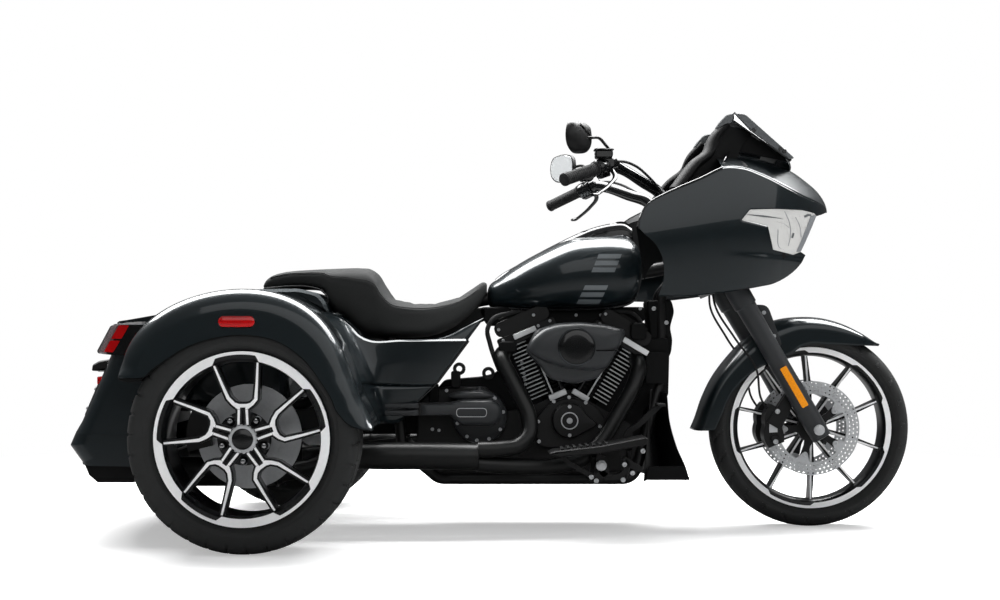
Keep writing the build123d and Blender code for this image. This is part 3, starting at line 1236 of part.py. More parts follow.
with BuildPart() as rear_calipers:
    slot_half = REAR_DISC_T / 2 + MOVING_GAP
    disc_middle = REAR_TRACK / 2 + REAR_DISC_Y
    with BuildSketch(right(disc_middle - 34)):
        hub = (REAR_AXLE_X, REAR_TYRE_R)
        with BuildLine():
            outer = CenterArc(hub, REAR_DISC_R + 26, 150, 44)
            inner = CenterArc(hub, REAR_DISC_R - 44, 150, 44)
            Line(outer @ 0, inner @ 0)
            Line(outer @ 1, inner @ 1)
        make_face()
    extrude(amount=66)
    with BuildSketch(right(disc_middle - slot_half)):
        with Locations(hub):
            Circle(REAR_DISC_R + MOVING_GAP)
    extrude(amount=2 * slot_half, mode=Mode.SUBTRACT)
    with BuildSketch(right(REAR_FLANGE_Y - 12)):
        with Locations((REAR_AXLE_X - 80, REAR_TYRE_R)):
            Rectangle(120, 50)
        with Locations(hub):
            Circle(FLANGE_R - 2, mode=Mode.SUBTRACT)
    extrude(amount=12)
    mirror(about=Plane.XZ)
    add(rear_axle_housing.part, mode=Mode.SUBTRACT)
write(rear_calipers, "rear_brake_calipers")

BELT_FRONT = (-190.0, 340.0)
FRONT_PULLEY_R, REAR_PULLEY_R, BELT_T = 48.0, 86.0, 5.0
with BuildPart() as drive_belt:
    pulley_plane = Plane.XZ.offset(-BELT_IN)
    front_pulley = (station(BELT_FRONT[0]), BELT_FRONT[1])
    rear_pulley = (REAR_AXLE_X, REAR_TYRE_R)
    with BuildSketch(pulley_plane):
        for grow, mode in ((BELT_T, Mode.ADD), (0, Mode.SUBTRACT)):
            with BuildSketch(mode=Mode.PRIVATE) as loop:
                with Locations(front_pulley):
                    Circle(FRONT_PULLEY_R + grow)
                with Locations(rear_pulley):
                    Circle(REAR_PULLEY_R + grow)
            add(make_hull(loop.sketch.edges(), mode=Mode.PRIVATE), mode=mode)
        with Locations(front_pulley):
            Circle(FRONT_PULLEY_R)
        with Locations(rear_pulley):
            Circle(REAR_PULLEY_R)
    extrude(amount=BELT_IN - BELT_OUT)
    with BuildSketch(Plane.XZ.offset(-DIFF_HALF_W)):
        with Locations(rear_pulley):
            Circle(REAR_PULLEY_R - 20)
        with Locations(front_pulley):
            Circle(FRONT_PULLEY_R - 20)
    extrude(amount=DIFF_HALF_W - BELT_IN)
    for solid in (transmission, rear_axle_housing, swingarm):
        add(solid.part, mode=Mode.SUBTRACT)
write(drive_belt, "drive_belt")

# ---- Side covers, footboards, controls and chin ----
with BuildPart() as side_covers:
    with BuildSketch(right(100)):
        outline(
            [
                (-500, 668),
                (-485, 660),
                (-424, 609),
                (-403, 601),
                (-94, 601),
                (-86, 664),
                (-52, 664),
                (-130, 530),
                (-172, 475),
                (-220, 450),
                (-245, 415),
                (-372, 409),
                (-402, 483),
                (-436, 560),
                (-479, 640),
            ]
        )
    extrude(amount=400)
    with BuildSketch(Plane.XY.offset(380)):
        with BuildLine():
            flare = Spline(
                (station(-40), -168),
                (station(-94), -206),
                (station(-250), -236),
                (station(-350), -268),
                (station(-420), -TRUNK_HALF_W + 84),
                (station(-440), 1 - TRUNK_HALF_W),
            )
            inside = Spline(
                (station(-40), WALL - 168),
                (station(-94), WALL - 206),
                (station(-250), WALL - 236),
                (station(-352), WALL - 268),
                (station(-420) - WALL, -TRUNK_HALF_W + 84 + WALL),
                (station(-440) - WALL, 1 - TRUNK_HALF_W),
            )
            Line(flare @ 0, inside @ 0)
            Line(flare @ 1, inside @ 1)
        make_face()
    extrude(amount=320, mode=Mode.INTERSECT)
    stay_x, stay_z = station(-318), 500.0
    rod((stay_x, -118, stay_z), (stay_x, -252, stay_z), 8)
    mirror(about=Plane.XZ)
    for solid in (frame, seat, rear_shocks):
        add(solid.part, mode=Mode.SUBTRACT)
write(side_covers, "side_covers")

BOARD_IN, BOARD_OUT, BOARD_T = 262.0, 386.0, 22.0
BOARD_BACK, BOARD_BEND, BOARD_FRONT = (162.0, 268.0), (350.0, 272.0), (440.0, 310.0)
with BuildPart() as footboards:
    with BuildSketch(right(BOARD_IN)):
        board = [BOARD_BACK, BOARD_BEND, BOARD_FRONT]
        outline([*board, *reversed(lowered(board, BOARD_T))])
    extrude(amount=BOARD_OUT - BOARD_IN)
    for stay_x, rise in ((290, 252), (400, 272)):
        rod((stay_x, -RAIL_Y, RAIL_Z), (stay_x, -BOARD_IN - 30, rise), 9)
    mirror(about=Plane.XZ)
    add(frame.part, mode=Mode.SUBTRACT)
write(footboards, "footboards")

with BuildPart() as foot_controls:
    for sign in (-1, 1):
        shaft = (372, 214)
        rod((shaft[0], sign * 200, shaft[1]), (shaft[0], sign * 250, shaft[1]), 9)
        rod((shaft[0], sign * 240, shaft[1]), (446, sign * 252, 258), 7)
        rod((446, sign * 252, 258), (470, sign * 262, 352), 7)
        with Locations((470, sign * 292, 356)):
            Box(46, 70, 14)
    rod((330, -205, 214), (380, -205, 214), 7)
    rod((330, 205, 214), (380, 205, 214), 7)
    for solid in (footboards, exhaust_headers, frame):
        add(solid.part, mode=Mode.SUBTRACT)
write(foot_controls, "foot_controls")

CHIN = [(462, 164), (602, 166), (599, 182), (564, 269), (541, 348), (533, 412), (533, 434), (509, 447)]
CHIN += [(468, 287), (471, 205)]
CHIN_HALF_W = 150.0
with BuildPart() as chin_spoiler:
    with BuildSketch(right(0)):
        outline(CHIN)
    extrude(amount=CHIN_HALF_W, both=True)
    with BuildSketch(right(0)):
        chin = [(440, 140), (592, 140), (592, 180), (559, 269), (537, 348), (529, 412)]
        outline([*chin, (529, 480), (440, 480)])
    extrude(amount=CHIN_HALF_W - WALL, both=True, mode=Mode.SUBTRACT)
    for sign in (-1, 1):
        rod((500, sign * 72, 420), (532, sign * 72, 420), 8)
    add(frame.part, mode=Mode.SUBTRACT)
write(chin_spoiler, "chin_spoiler")
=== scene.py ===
"""Looks of a three-wheeled touring motorcycle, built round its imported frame.

Lengths are metres in the frame's own axes: +X forward, +Y to the rider's left, +Z up.
"""

import json
import logging
import math
from collections.abc import Sequence
from dataclasses import dataclass
from enum import Enum

import bmesh
import bpy
import numpy as np
from numpy.typing import NDArray
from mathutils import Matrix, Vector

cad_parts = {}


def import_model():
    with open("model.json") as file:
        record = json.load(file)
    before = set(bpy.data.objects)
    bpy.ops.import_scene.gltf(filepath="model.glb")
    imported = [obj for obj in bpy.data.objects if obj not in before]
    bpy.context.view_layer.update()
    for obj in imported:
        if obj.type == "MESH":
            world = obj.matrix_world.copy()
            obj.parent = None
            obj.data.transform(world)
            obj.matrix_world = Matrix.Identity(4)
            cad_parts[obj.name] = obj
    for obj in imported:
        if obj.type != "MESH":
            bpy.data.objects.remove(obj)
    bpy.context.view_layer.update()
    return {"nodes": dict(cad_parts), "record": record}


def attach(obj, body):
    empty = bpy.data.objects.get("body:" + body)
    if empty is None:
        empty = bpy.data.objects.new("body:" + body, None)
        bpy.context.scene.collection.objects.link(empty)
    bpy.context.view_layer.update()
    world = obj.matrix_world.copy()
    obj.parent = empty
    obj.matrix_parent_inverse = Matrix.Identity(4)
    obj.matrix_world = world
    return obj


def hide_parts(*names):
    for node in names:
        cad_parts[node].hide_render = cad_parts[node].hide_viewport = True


Array = NDArray[np.float64]
Line = tuple[tuple[float, float], ...]
log = logging.getLogger("trike")
TAU = 2.0 * math.pi
RIGHT = (0.0, -1.0, 0.0)
LEFT = (0.0, 1.0, 0.0)
UP = (0.0, 0.0, 1.0)
WHITE = (1.0, 1.0, 1.0, 1.0)
SHEET = 0.003  # thickness of the moulded panels
THIN_SHEET = 0.0025  # thickness of the pressed ones
SPOKE_SETS = 5  # spokes, or pairs of them, on each wheel
SPOKE_STEP = 360.0 / SPOKE_SETS


# ---- Finishes ----


def linear(code: str) -> tuple[float, float, float, float]:
    """Turn an sRGB hex colour into linear light.

    Args:
        code: Six hex digits.

    Returns:
        Red, green, blue and an alpha of one.
    """
    parts = np.array([int(code[i : i + 2], 16) for i in (0, 2, 4)]) / 255.0
    light = np.where(parts <= 0.04045, parts / 12.92, ((parts + 0.055) / 1.055) ** 2.4)
    return (float(light[0]), float(light[1]), float(light[2]), 1.0)


def add_node(
    tree: bpy.types.NodeTree,
    kind: str,
    settings: dict[str, object] | None = None,
    inputs: dict[str | int, object] | None = None,
) -> bpy.types.Node:
    """Add a shader node with its settings and its socket values or links.

    Args:
        tree: The material's node tree.
        kind: The node's type, without its ShaderNode prefix.
        settings: Attributes set on the node itself.
        inputs: Socket name or number to a value, or to an output socket that is linked to it.

    Returns:
        The new node.
    """
    node = tree.nodes.new("ShaderNode" + kind)
    for key, value in (settings or {}).items():
        setattr(node, key, value)
    for key, value in (inputs or {}).items():
        if isinstance(value, bpy.types.NodeSocket):
            tree.links.new(value, node.inputs[key])
        else:
            node.inputs[key].default_value = value
    return node


class Texture(Enum):
    """How a finish's surface was made, which sets its pattern."""

    POLISHED = "polished"  # flowed coat or plating: faint long waves only
    FLAKE = "flake"  # metallic paint: fine bright specks below a clear coat
    GRAIN = "grain"  # moulded grain, leather or powder coat
    BRUSHED = "brushed"  # turned or brushed metal: fine lines round an axis
    RUBBER = "rubber"  # cured rubber: soft mottle and dust


@dataclass(frozen=True)
class Finish:
    """One material: what it is made of, how its surface was made and what that shows."""

    name: str
    color: str
    texture: Texture
    roughness: float
    metallic: float = 0.0
    coat: float = 0.0
    grain_mm: float = 1.0
    bump_mm: float = 0.05
    spread: float = 0.12
    slot: str = ""
    transmission: float = 0.0
    ior: float = 1.5

    def material(self) -> bpy.types.Material:
        """Build the node material, or fetch it when another piece has built it.

        Returns:
            The material.
        """
        known = bpy.data.materials.get(self.name)
        if known:
            return known
        made = bpy.data.materials.new(self.name)
        made.use_nodes = True
        tree = made.node_tree
        tree.nodes.clear()
        place = add_node(tree, "TexCoord").outputs["Object"]
        pattern = self._pattern(tree, place)
        wide = add_node(tree, "TexNoise", None, {"Vector": place, "Scale": 9.0, "Detail": 3.0}).outputs["Fac"]
        dark, light = (self._shade(1.0 - self.spread), self._shade(1.0 + self.spread))
        color = add_node(
            tree, "Mix", {"data_type": "RGBA"}, {0: pattern, 6: dark, 7: light}
        ).outputs[2]
        rough = add_node(
            tree,
            "MapRange",
            None,
            {0: wide, 3: self.roughness * 0.85, 4: min(self.roughness * 1.18, 1.0)},
        ).outputs[0]
        bump = add_node(
            tree,
            "Bump",
            None,
            {"Strength": 0.5, "Distance": self.bump_mm / 1000.0, "Height": pattern},
        ).outputs["Normal"]
        shader = add_node(
            tree,
            "BsdfPrincipled",
            None,
            {
                "Base Color": color,
                "Roughness": rough,
                "Metallic": self.metallic,
                "Coat Weight": self.coat,
                "Coat Roughness": 0.04,
                "Transmission Weight": self.transmission,
                "IOR": self.ior,
                "Normal": bump,
            },
        )
        add_node(tree, "OutputMaterial", None, {"Surface": shader.outputs[0]})
        return made

    def _shade(self, by: float) -> tuple[float, float, float, float]:
        """The finish's colour, lighter or darker by this factor."""
        red, green, blue, alpha = linear(self.color)
        return (min(red * by, 1.0), min(green * by, 1.0), min(blue * by, 1.0), alpha)

    def _pattern(self, tree: bpy.types.NodeTree, place: bpy.types.NodeSocket) -> bpy.types.NodeSocket:
        """Add the fine pattern of the finish's surface.

        Args:
            tree: The material's node tree.
            place: Object coordinates.

        Returns:
            The socket with a pattern from 0 to 1.
        """
        scale = 1000.0 / self.grain_mm
        if self.texture is Texture.FLAKE:
            flake = add_node(tree, "TexVoronoi", None, {"Vector": place, "Scale": scale})
            return add_node(tree, "MapRange", None, {0: flake.outputs["Color"], 3: 0.0, 4: 1.0}).outputs[0]
        if self.texture is Texture.GRAIN:
            cells = add_node(tree, "TexVoronoi", {"feature": "SMOOTH_F1"}, {"Vector": place, "Scale": scale})
            return cells.outputs["Distance"]
        if self.texture is Texture.BRUSHED:
            streak = add_node(tree, "Mapping", None, {"Vector": place, "Scale": (1.0, 14.0, 1.0)}).outputs[0]
            return add_node(tree, "TexNoise", None, {"Vector": streak, "Scale": scale / 8.0}).outputs["Fac"]
        detail = 4.0 if self.texture is Texture.RUBBER else 1.0
        return add_node(
            tree, "TexNoise", None, {"Vector": place, "Scale": scale, "Detail": detail}
        ).outputs["Fac"]


# Clear-coated metallic paint: a dark blue-green grey whose flakes glint where the light is low.
PAINT = Finish(
    "metallic_paint", "151f23", Texture.FLAKE, roughness=0.3, metallic=0.45, coat=1.0, grain_mm=0.9,
    bump_mm=0.004, spread=0.2, slot="paint",
)
# Gloss black enamel on the console, the handlebar, the pushrod tubes and small trim.
GLOSS_BLACK = Finish(
    "gloss_black_enamel", "0b0c0d", Texture.POLISHED, roughness=0.16, coat=0.6, grain_mm=60.0, bump_mm=0.01,
    spread=0.1, slot="black_gloss",
)
# Satin black paint baked on brackets, calipers and castings of steel and aluminium.
SATIN_BLACK = Finish(
    "satin_black_paint", "0d0d0e", Texture.GRAIN, roughness=0.42, grain_mm=0.8, bump_mm=0.02, spread=0.15,
    slot="black_satin",
)
# Wrinkle powder coat on the engine's castings, drawn coarse enough to show.
WRINKLE_BLACK = Finish(
    "wrinkle_black_powder_coat", "0b0b0c", Texture.GRAIN, roughness=0.5, grain_mm=1.4, bump_mm=0.12,
    spread=0.25, slot="engine_black",
)
# Moulded ABS with a fine leather-like grain.
MOULDED_BLACK = Finish(
    "moulded_black_abs", "0c0d0e", Texture.GRAIN, roughness=0.55, grain_mm=1.2, bump_mm=0.06, spread=0.2,
    slot="black_plastic", ior=1.28,
)
# Bright nickel-chrome plating.
CHROME = Finish(
    "chrome_plate", "e6e7e9", Texture.POLISHED, roughness=0.07, metallic=1.0, grain_mm=80.0, bump_mm=0.01,
    spread=0.02, slot="chrome",
)
# Diamond-turned aluminium: bright faces with fine turning lines.
MACHINED = Finish(
    "machined_aluminium", "fbfcfd", Texture.BRUSHED, roughness=0.34, metallic=0.22, coat=0.2, grain_mm=1.2,
    bump_mm=0.02, spread=0.08, slot="rim_black",
)
# Ground stainless steel of the discs, nuts and bolt heads.
BRUSHED_STEEL = Finish(
    "brushed_stainless_steel", "c4c6c8", Texture.BRUSHED, roughness=0.36, metallic=0.45, bump_mm=0.02,
    spread=0.1, slot="disc_steel",
)
# Cured tyre rubber with a faint bloom of dust.
TYRE_RUBBER = Finish(
    "tyre_rubber", "212222", Texture.RUBBER, roughness=0.78, grain_mm=3.0, bump_mm=0.08, spread=0.2,
    slot="tyre",
)
# Softer moulded rubber of grips, hoses and pads.
GRIP_RUBBER = Finish(
    "grip_rubber", "171819", Texture.RUBBER, roughness=0.7, grain_mm=2.0, spread=0.15, slot="rubber",
)
# Grained vinyl, dull enough to hide its seams.
SEAT_VINYL = Finish(
    "seat_vinyl", "303131", Texture.GRAIN, roughness=0.72, grain_mm=1.6, bump_mm=0.12, spread=0.2,
    slot="seat", ior=1.24,
)
# Smoked clear plastic with a hard coat.
SCREEN_TINT = Finish(
    "tinted_polycarbonate", "17191b", Texture.POLISHED, roughness=0.04, grain_mm=90.0, bump_mm=0.005,
    spread=0.03, slot="screen", transmission=0.5, ior=1.58,
)
# Clear moulded lens, partly see-through.
LENS_CLEAR = Finish(
    "clear_lamp_lens", "ececea", Texture.POLISHED, roughness=0.05, coat=0.5, grain_mm=60.0, bump_mm=0.01,
    spread=0.03, slot="lamp_clear", transmission=0.35,
)
# Red moulded lens under a gloss.
LENS_RED = Finish(
    "red_lamp_lens", "a90306", Texture.POLISHED, roughness=0.08, coat=0.8, grain_mm=40.0, bump_mm=0.01,
    slot="lamp_red",
)
# Amber reflector with coarse prisms behind its face.
LENS_AMBER = Finish(
    "amber_reflector", "f2941c", Texture.GRAIN, roughness=0.12, coat=0.8, grain_mm=3.0, bump_mm=0.2,
    spread=0.2,
)
# Gloss black powder coat on the wheels' castings.
RIM_BLACK = Finish(
    "gloss_black_powder_coat", "0d0e0f", Texture.POLISHED, roughness=0.28, coat=0.35, grain_mm=40.0,
    bump_mm=0.01, slot="rim_black",
)
# Vacuum-metallised lamp bowl, seen white through its lens.
LAMP_SILVER = Finish(
    "metallised_lamp_bowl", "f0f0ee", Texture.POLISHED, roughness=0.22, metallic=0.55, grain_mm=14.0,
    bump_mm=0.5,
)
# Grey flutes and end caps seen through the lens.
LAMP_SHADE = Finish(
    "lamp_inner_shade", "8b8e91", Texture.BRUSHED, roughness=0.35, metallic=0.2, coat=0.3, bump_mm=0.01,
    slot="lamp_clear",
)
# Mid-grey matt moulding on the screen's inner side.
VISOR_GREY = Finish("grey_moulded_abs", "5d6062", Texture.GRAIN, roughness=0.5, grain_mm=1.2)
# Screen-printed grey bars on the tank.
BAR_GREY = Finish(
    "printed_grey_vinyl", "666c6f", Texture.POLISHED, roughness=0.35, metallic=0.2, coat=0.3, grain_mm=30.0,
    bump_mm=0.01, spread=0.05,
)
# Fin edges cut back to bare aluminium through the black.
MACHINED_EDGE = Finish(
    "cut_fin_edges", "d3d6d7", Texture.BRUSHED, roughness=0.45, metallic=0.2, bump_mm=0.01, spread=0.1,
    slot="engine_black",
)
# Dark chrome ring round the air cleaner's cap.
DARK_CHROME = Finish(
    "dark_chrome_plate", "54575a", Texture.POLISHED, roughness=0.16, metallic=1.0, grain_mm=60.0,
    bump_mm=0.01, spread=0.05, slot="black_gloss",
)
# High-temperature satin black on the pipes, a little glossier where it is polished by use.
HEAT_BLACK = Finish(
    "ceramic_black_coating", "111212", Texture.GRAIN, roughness=0.36, metallic=0.15, grain_mm=0.9,
    bump_mm=0.012, slot="black_satin",
)
# Bright trim of polished aluminium on the rocker boxes and lifter blocks; the same finish paints a highlight
# along the pushrod tubes.
BRIGHT_TRIM_AND_HIGHLIGHT = Finish(
    "polished_aluminium_and_painted_highlight", "e6e8e9", Texture.BRUSHED, roughness=0.3, metallic=0.3, coat=0.3, bump_mm=0.01,
    spread=0.06, slot="chrome",
)
# Dark grey powder coat on the gearbox covers, the air cleaner and the fork legs, lighter than the cases.
GEAR_GREY = Finish(
    "grey_powder_coat", "303234", Texture.GRAIN, roughness=0.36, metallic=0.1, grain_mm=1.2, spread=0.15,
    slot="engine_black",
)
# Back-silvered flat glass of the mirrors; its near-white, mostly matt colour is a painted reflection of the
# pale surroundings.
MIRROR_GLASS = Finish(
    "mirror_glass_painted_reflection", "eef1f2", Texture.POLISHED, roughness=0.05, metallic=0.35, grain_mm=80.0,
    bump_mm=0.004, spread=0.02, slot="chrome",
)
# Clear outer cover of the tail lamps, greyed by the dark bowl behind it.
LENS_SMOKE = Finish(
    "smoked_lamp_cover", "6a5a5c", Texture.POLISHED, roughness=0.08, coat=0.8, grain_mm=60.0, bump_mm=0.006,
    spread=0.05, slot="lamp_red", transmission=0.35,
)

CAD_FINISHES = {
    "paint": PAINT,
    "black_gloss": GLOSS_BLACK,
    "black_satin": SATIN_BLACK,
    "black_plastic": MOULDED_BLACK,
    "engine_black": WRINKLE_BLACK,
    "chrome": CHROME,
    "rim_black": GLOSS_BLACK,
    "disc_steel": BRUSHED_STEEL,
    "steel_black": SATIN_BLACK,
    "tyre": TYRE_RUBBER,
    "rubber": GRIP_RUBBER,
    "seat": SEAT_VINYL,
    "screen": SCREEN_TINT,
    "lamp_clear": LENS_CLEAR,
    "lamp_red": LENS_RED,
    "plate": MOULDED_BLACK,
}


# ---- Shapes ----


class Body(Enum):
    """The rigid bodies that pieces made here ride on."""

    CHASSIS = "chassis"
    FORK = "fork"
    FRONT_WHEEL = "front_wheel"
    REAR_WHEEL_RIGHT = "rear_wheel_right"
    REAR_WHEEL_LEFT = "rear_wheel_left"
    TRUNK_LID = "trunk_lid"


@dataclass
class Shape:
    """Points and faces of a mesh in the making."""

    points: Array
    faces: list[Sequence[int]]

    def placed(self, turn: Array | None = None, at: Sequence[float] = (0.0, 0.0, 0.0)) -> "Shape":
        """Turn the shape by a matrix about the origin, then carry it to a place."""
        points = self.points if turn is None else self.points @ np.asarray(turn).T
        return Shape(points + np.asarray(at), self.faces)

    def mirrored(self) -> "Shape":
        """The same shape on the other side of the vehicle, its faces turned back outwards."""
        return Shape(self.points * (1.0, -1.0, 1.0), [face[::-1] for face in self.faces])

    def both(self) -> "Shape":
        """The shape together with its mirror image."""
        return joined([self, self.mirrored()])


def joined(shapes: Sequence[Shape]) -> Shape:
    """Put several shapes into one, renumbering their faces.

    Args:
        shapes: The shapes, in order.

    Returns:
        One shape that holds them all.
    """
    starts = np.cumsum([0] + [len(shape.points) for shape in shapes])
    faces = [
        [start + i for i in face]
        for start, shape in zip(starts.tolist(), shapes)
        for face in shape.faces
    ]
    return Shape(np.concatenate([shape.points for shape in shapes]), faces)


def lattice(points: Array, around: bool = False, along: bool = False, capped: bool = False) -> Shape:
    """Join a grid of points into four-sided faces.

    Args:
        points: Rows by columns by three.
        around: Whether each row closes on itself.
        along: Whether the last row joins the first.
        capped: Whether the first and last rows are closed by one face each.

    Returns:
        The surface.
    """
    rows, columns = points.shape[:2]
    index = np.arange(rows * columns).reshape(rows, columns)
    low, high = (index, np.roll(index, -1, 0)) if along else (index[:-1], index[1:])
    here = [row if around else row[:, :-1] for row in (low, high)]
    there = [np.roll(row, -1, 1) if around else row[:, 1:] for row in (low, high)]
    faces = np.stack([here[0], there[0], there[1], here[1]], -1).reshape(-1, 4).tolist()
    if capped:
        faces += [index[0][::-1].tolist(), index[-1].tolist()]
    return Shape(points.reshape(-1, 3), faces)


def reach_along(knots: Array) -> Array:
    """Each point's distance along the straight runs from the first."""
    return np.concatenate([[0.0], np.cumsum(np.linalg.norm(np.diff(knots, axis=0), axis=1))])


def grid(x: Array, y: Array, z: Array) -> Array:
    """Points from coordinates that spread over each other's rows and columns."""
    return np.stack(np.broadcast_arrays(x, y, z), -1)


def full_turn(steps: int) -> Array:
    """Angles of even steps round, without the last one that closes the turn."""
    return np.linspace(0.0, TAU, steps, endpoint=False)


def ellipse(x: float, z: float, wide: float, high: float, turn: Array) -> Array:
    """Points of an ellipse about (x, z) at these angles."""
    return np.column_stack([x + wide * np.cos(turn), z + high * np.sin(turn)])


def curve(points: Sequence[Sequence[float]], count: int = 40) -> Array:
    """A smooth line through the points: cubic spans whose slopes are central differences.

    Args:
        points: The points that the line passes through.
        count: How many points it gets.

    Returns:
        The line's points.
    """
    knots = np.asarray(points, float)
    reach = reach_along(knots)
    slope = np.gradient(knots, reach, axis=0)
    s = np.linspace(0.0, reach[-1], count)
    k = np.clip(np.searchsorted(reach, s, side="right") - 1, 0, len(knots) - 2)
    span = (reach[k + 1] - reach[k])[:, None]
    u = (s - reach[k])[:, None] / span
    return (
        (2 * u**3 - 3 * u**2 + 1) * knots[k]
        + (u**3 - 2 * u**2 + u) * span * slope[k]
        + (3 * u**2 - 2 * u**3) * knots[k + 1]
        + (u**3 - u**2) * span * slope[k + 1]
    )


def rounded(outline: Sequence[Sequence[float]], radius: float, steps: int = 5) -> Array:
    """Round a closed outline's corners: each is a parabola between points `radius` from it.

    Args:
        outline: The corners in order.
        radius: How far from a corner its rounding starts.
        steps: Points on each rounded corner.

    Returns:
        The rounded outline's points.
    """
    corner = np.asarray(outline, float)
    ways = [np.roll(corner, shift, 0) - corner for shift in (1, -1)]
    lengths = [np.linalg.norm(way, axis=1, keepdims=True) for way in ways]
    start, end = (corner + way * np.minimum(radius / length, 0.49) for way, length in zip(ways, lengths))
    t = np.linspace(0.0, 1.0, steps)[None, :, None]
    arc = (1 - t) ** 2 * start[:, None] + 2 * t * (1 - t) * corner[:, None] + t**2 * end[:, None]
    return arc.reshape(-1, 2)


def inset(outline: Array, by: float) -> Array:
    """Move each point of a closed outline inwards by `by`, square to its two edges.

    Args:
        outline: The points in order.
        by: The distance moved.

    Returns:
        The smaller outline, point for point.
    """
    edge = np.roll(outline, -1, 0) - outline
    area = np.sum(outline[:, 0] * np.roll(outline[:, 1], -1) - np.roll(outline[:, 0], -1) * outline[:, 1])
    out = np.column_stack([edge[:, 1], -edge[:, 0]]) * np.sign(area)
    out /= np.linalg.norm(out, axis=1, keepdims=True) + 1e-12
    before = np.roll(out, 1, 0)
    share = np.maximum(1.0 + np.sum(out * before, axis=1, keepdims=True), 0.4)
    return outline - by * (out + before) / share


def beside(outline: Array, y: float) -> Array:
    """An (x, z) outline's points at this place along y."""
    return np.column_stack([outline[:, 0], np.full(len(outline), y), outline[:, 1]])


def plate(outline: Array, low: float, high: float, bevel: float = 0.001) -> Shape:
    """A plate with this (x, z) outline between two places along y, its rims bevelled.

    Args:
        outline: The points in order.
        low: The first face's place along y.
        high: The second face's place along y.
        bevel: The width of the bevel round each face.

    Returns:
        The closed plate.
    """
    rim = inset(np.asarray(outline, float), bevel)
    rings = ((rim, low), (outline, low + bevel), (outline, high - bevel), (rim, high))
    return lattice(np.stack([beside(ring, y) for ring, y in rings]), around=True, capped=True)


def tablet(
    corners: Sequence[Sequence[float]], radius: float, low: float, high: float, bevel: float = 0.001
) -> Shape:
    """A plate whose (x, z) corners are rounded first."""
    return plate(rounded(corners, radius), low, high, bevel)


def slab(low: Sequence[float], high: Sequence[float], radius: float = 0.004, bevel: float = 0.001) -> Shape:
    """A block between two corners, its upright edges rounded and its rims bevelled."""
    (x0, y0, z0), (x1, y1, z1) = low, high
    return tablet([(x0, z0), (x1, z0), (x1, z1), (x0, z1)], radius, y0, y1, bevel)


def turned(profile: Sequence[Sequence[float]], steps: int = 64, closed: bool = False) -> Shape:
    """Turn a profile of (radius, along) points about the y axis.

    Args:
        profile: The points, from one end to the other.
        steps: Points around.
        closed: Whether the profile's end joins its start, as on a ring.

    Returns:
        The turned surface, its ends closed when the profile is open.
    """
    line = np.asarray(profile, float)
    angle = full_turn(steps)
    points = grid(line[:, :1] * np.cos(angle), line[:, 1:], line[:, :1] * np.sin(angle))
    return lattice(points, around=True, along=closed, capped=not closed)


def swept(
    path: Array,
    radius: float | Array,
    sides: int = 12,
    flat: float = 1.0,
    up: Sequence[float] = UP,
) -> Shape:
    """Carry a circle, or an ellipse `flat` times as thick along `up`, along a path.

    Args:
        path: The centre line's points.
        radius: One radius, or one for each point.
        sides: Points around.
        flat: The thickness along `up` as a share of the width.
        up: The direction that `flat` acts along.

    Returns:
        The closed tube.
    """
    way = np.gradient(path, axis=0)
    way /= np.linalg.norm(way, axis=1, keepdims=True)
    side = np.cross(way, np.asarray(up))
    side /= np.linalg.norm(side, axis=1, keepdims=True) + 1e-9
    lift = np.cross(side, way)
    angle = full_turn(sides)[None, :, None]
    size = np.broadcast_to(np.asarray(radius, float), (len(path),))[:, None, None]
    ring = path[:, None] + size * (np.cos(angle) * side[:, None] + flat * np.sin(angle) * lift[:, None])
    return lattice(ring, around=True, capped=True)


def pipe(points: Sequence[Sequence[float]], count: int, radius: float, sides: int) -> Shape:
    """A round bar along a smooth line through the points."""
    return swept(curve(points, count), radius, sides)


def ribbon(
    path: Sequence[Sequence[float]], widths: Sequence[float], low: Array | float, high: Array | float
) -> Shape:
    """A bar along an (x, z) path with a width at each point, between two places along y.

    Args:
        path: The middle line's points.
        widths: The bar's width at each of them.
        low: One side's place along y, the same throughout or one a point.
        high: The other side's place along y, in the same way.

    Returns:
        The closed bar.
    """
    line = np.asarray(path, float)
    way = np.gradient(line, axis=0)
    way /= np.linalg.norm(way, axis=1, keepdims=True)
    side = np.column_stack([-way[:, 1], way[:, 0]]) * np.asarray(widths)[:, None] / 2
    low, high = (np.broadcast_to(np.asarray(y, float), (len(line),)) for y in (low, high))
    corners = [(side, low), (side, high), (-side, high), (-side, low)]
    points = [np.column_stack([line[:, 0] + s[:, 0], y, line[:, 1] + s[:, 1]]) for s, y in corners]
    return lattice(np.stack(points, 1), around=True, capped=True)


def spun(shape: Shape, degrees: float) -> Shape:
    """Turn a shape about the y axis, anticlockwise as seen from the vehicle's right."""
    c, s = math.cos(math.radians(degrees)), math.sin(math.radians(degrees))
    return shape.placed(np.array([[c, 0.0, -s], [0.0, 1.0, 0.0], [s, 0.0, c]]))


def facing(way: Sequence[float]) -> Array:
    """The matrix that turns the y axis to this direction.

    Args:
        way: The direction, of any length.

    Returns:
        The matrix, whose columns are the turned x, y and z axes.
    """
    y = np.asarray(way, float) / np.linalg.norm(way)
    x = np.cross(y, UP if abs(y[2]) < 0.9 else (1.0, 0.0, 0.0))
    x /= np.linalg.norm(x)
    return np.column_stack([x, y, np.cross(x, y)])


def bolts(places: Sequence[Sequence[float]], way: Sequence[float], radius: float, height: float) -> Shape:
    """Socket bolts whose heads stand `height` proud of each place along `way`.

    Args:
        places: The middle of each seat.
        way: The direction that the heads face.
        radius: The radius of a head.
        height: How far a head stands proud.

    Returns:
        All the bolts as one shape.
    """
    head = turned(
        [
            (0.0, height * 0.45),
            (radius * 0.5, height * 0.45),
            (radius * 0.55, height),
            (radius * 0.86, height),
            (radius, height * 0.8),
            (radius, -height * 0.2),
            (0.0, -height * 0.2),
        ],
        12,
    )
    turn = facing(way)
    return joined([head.placed(turn, place) for place in places])


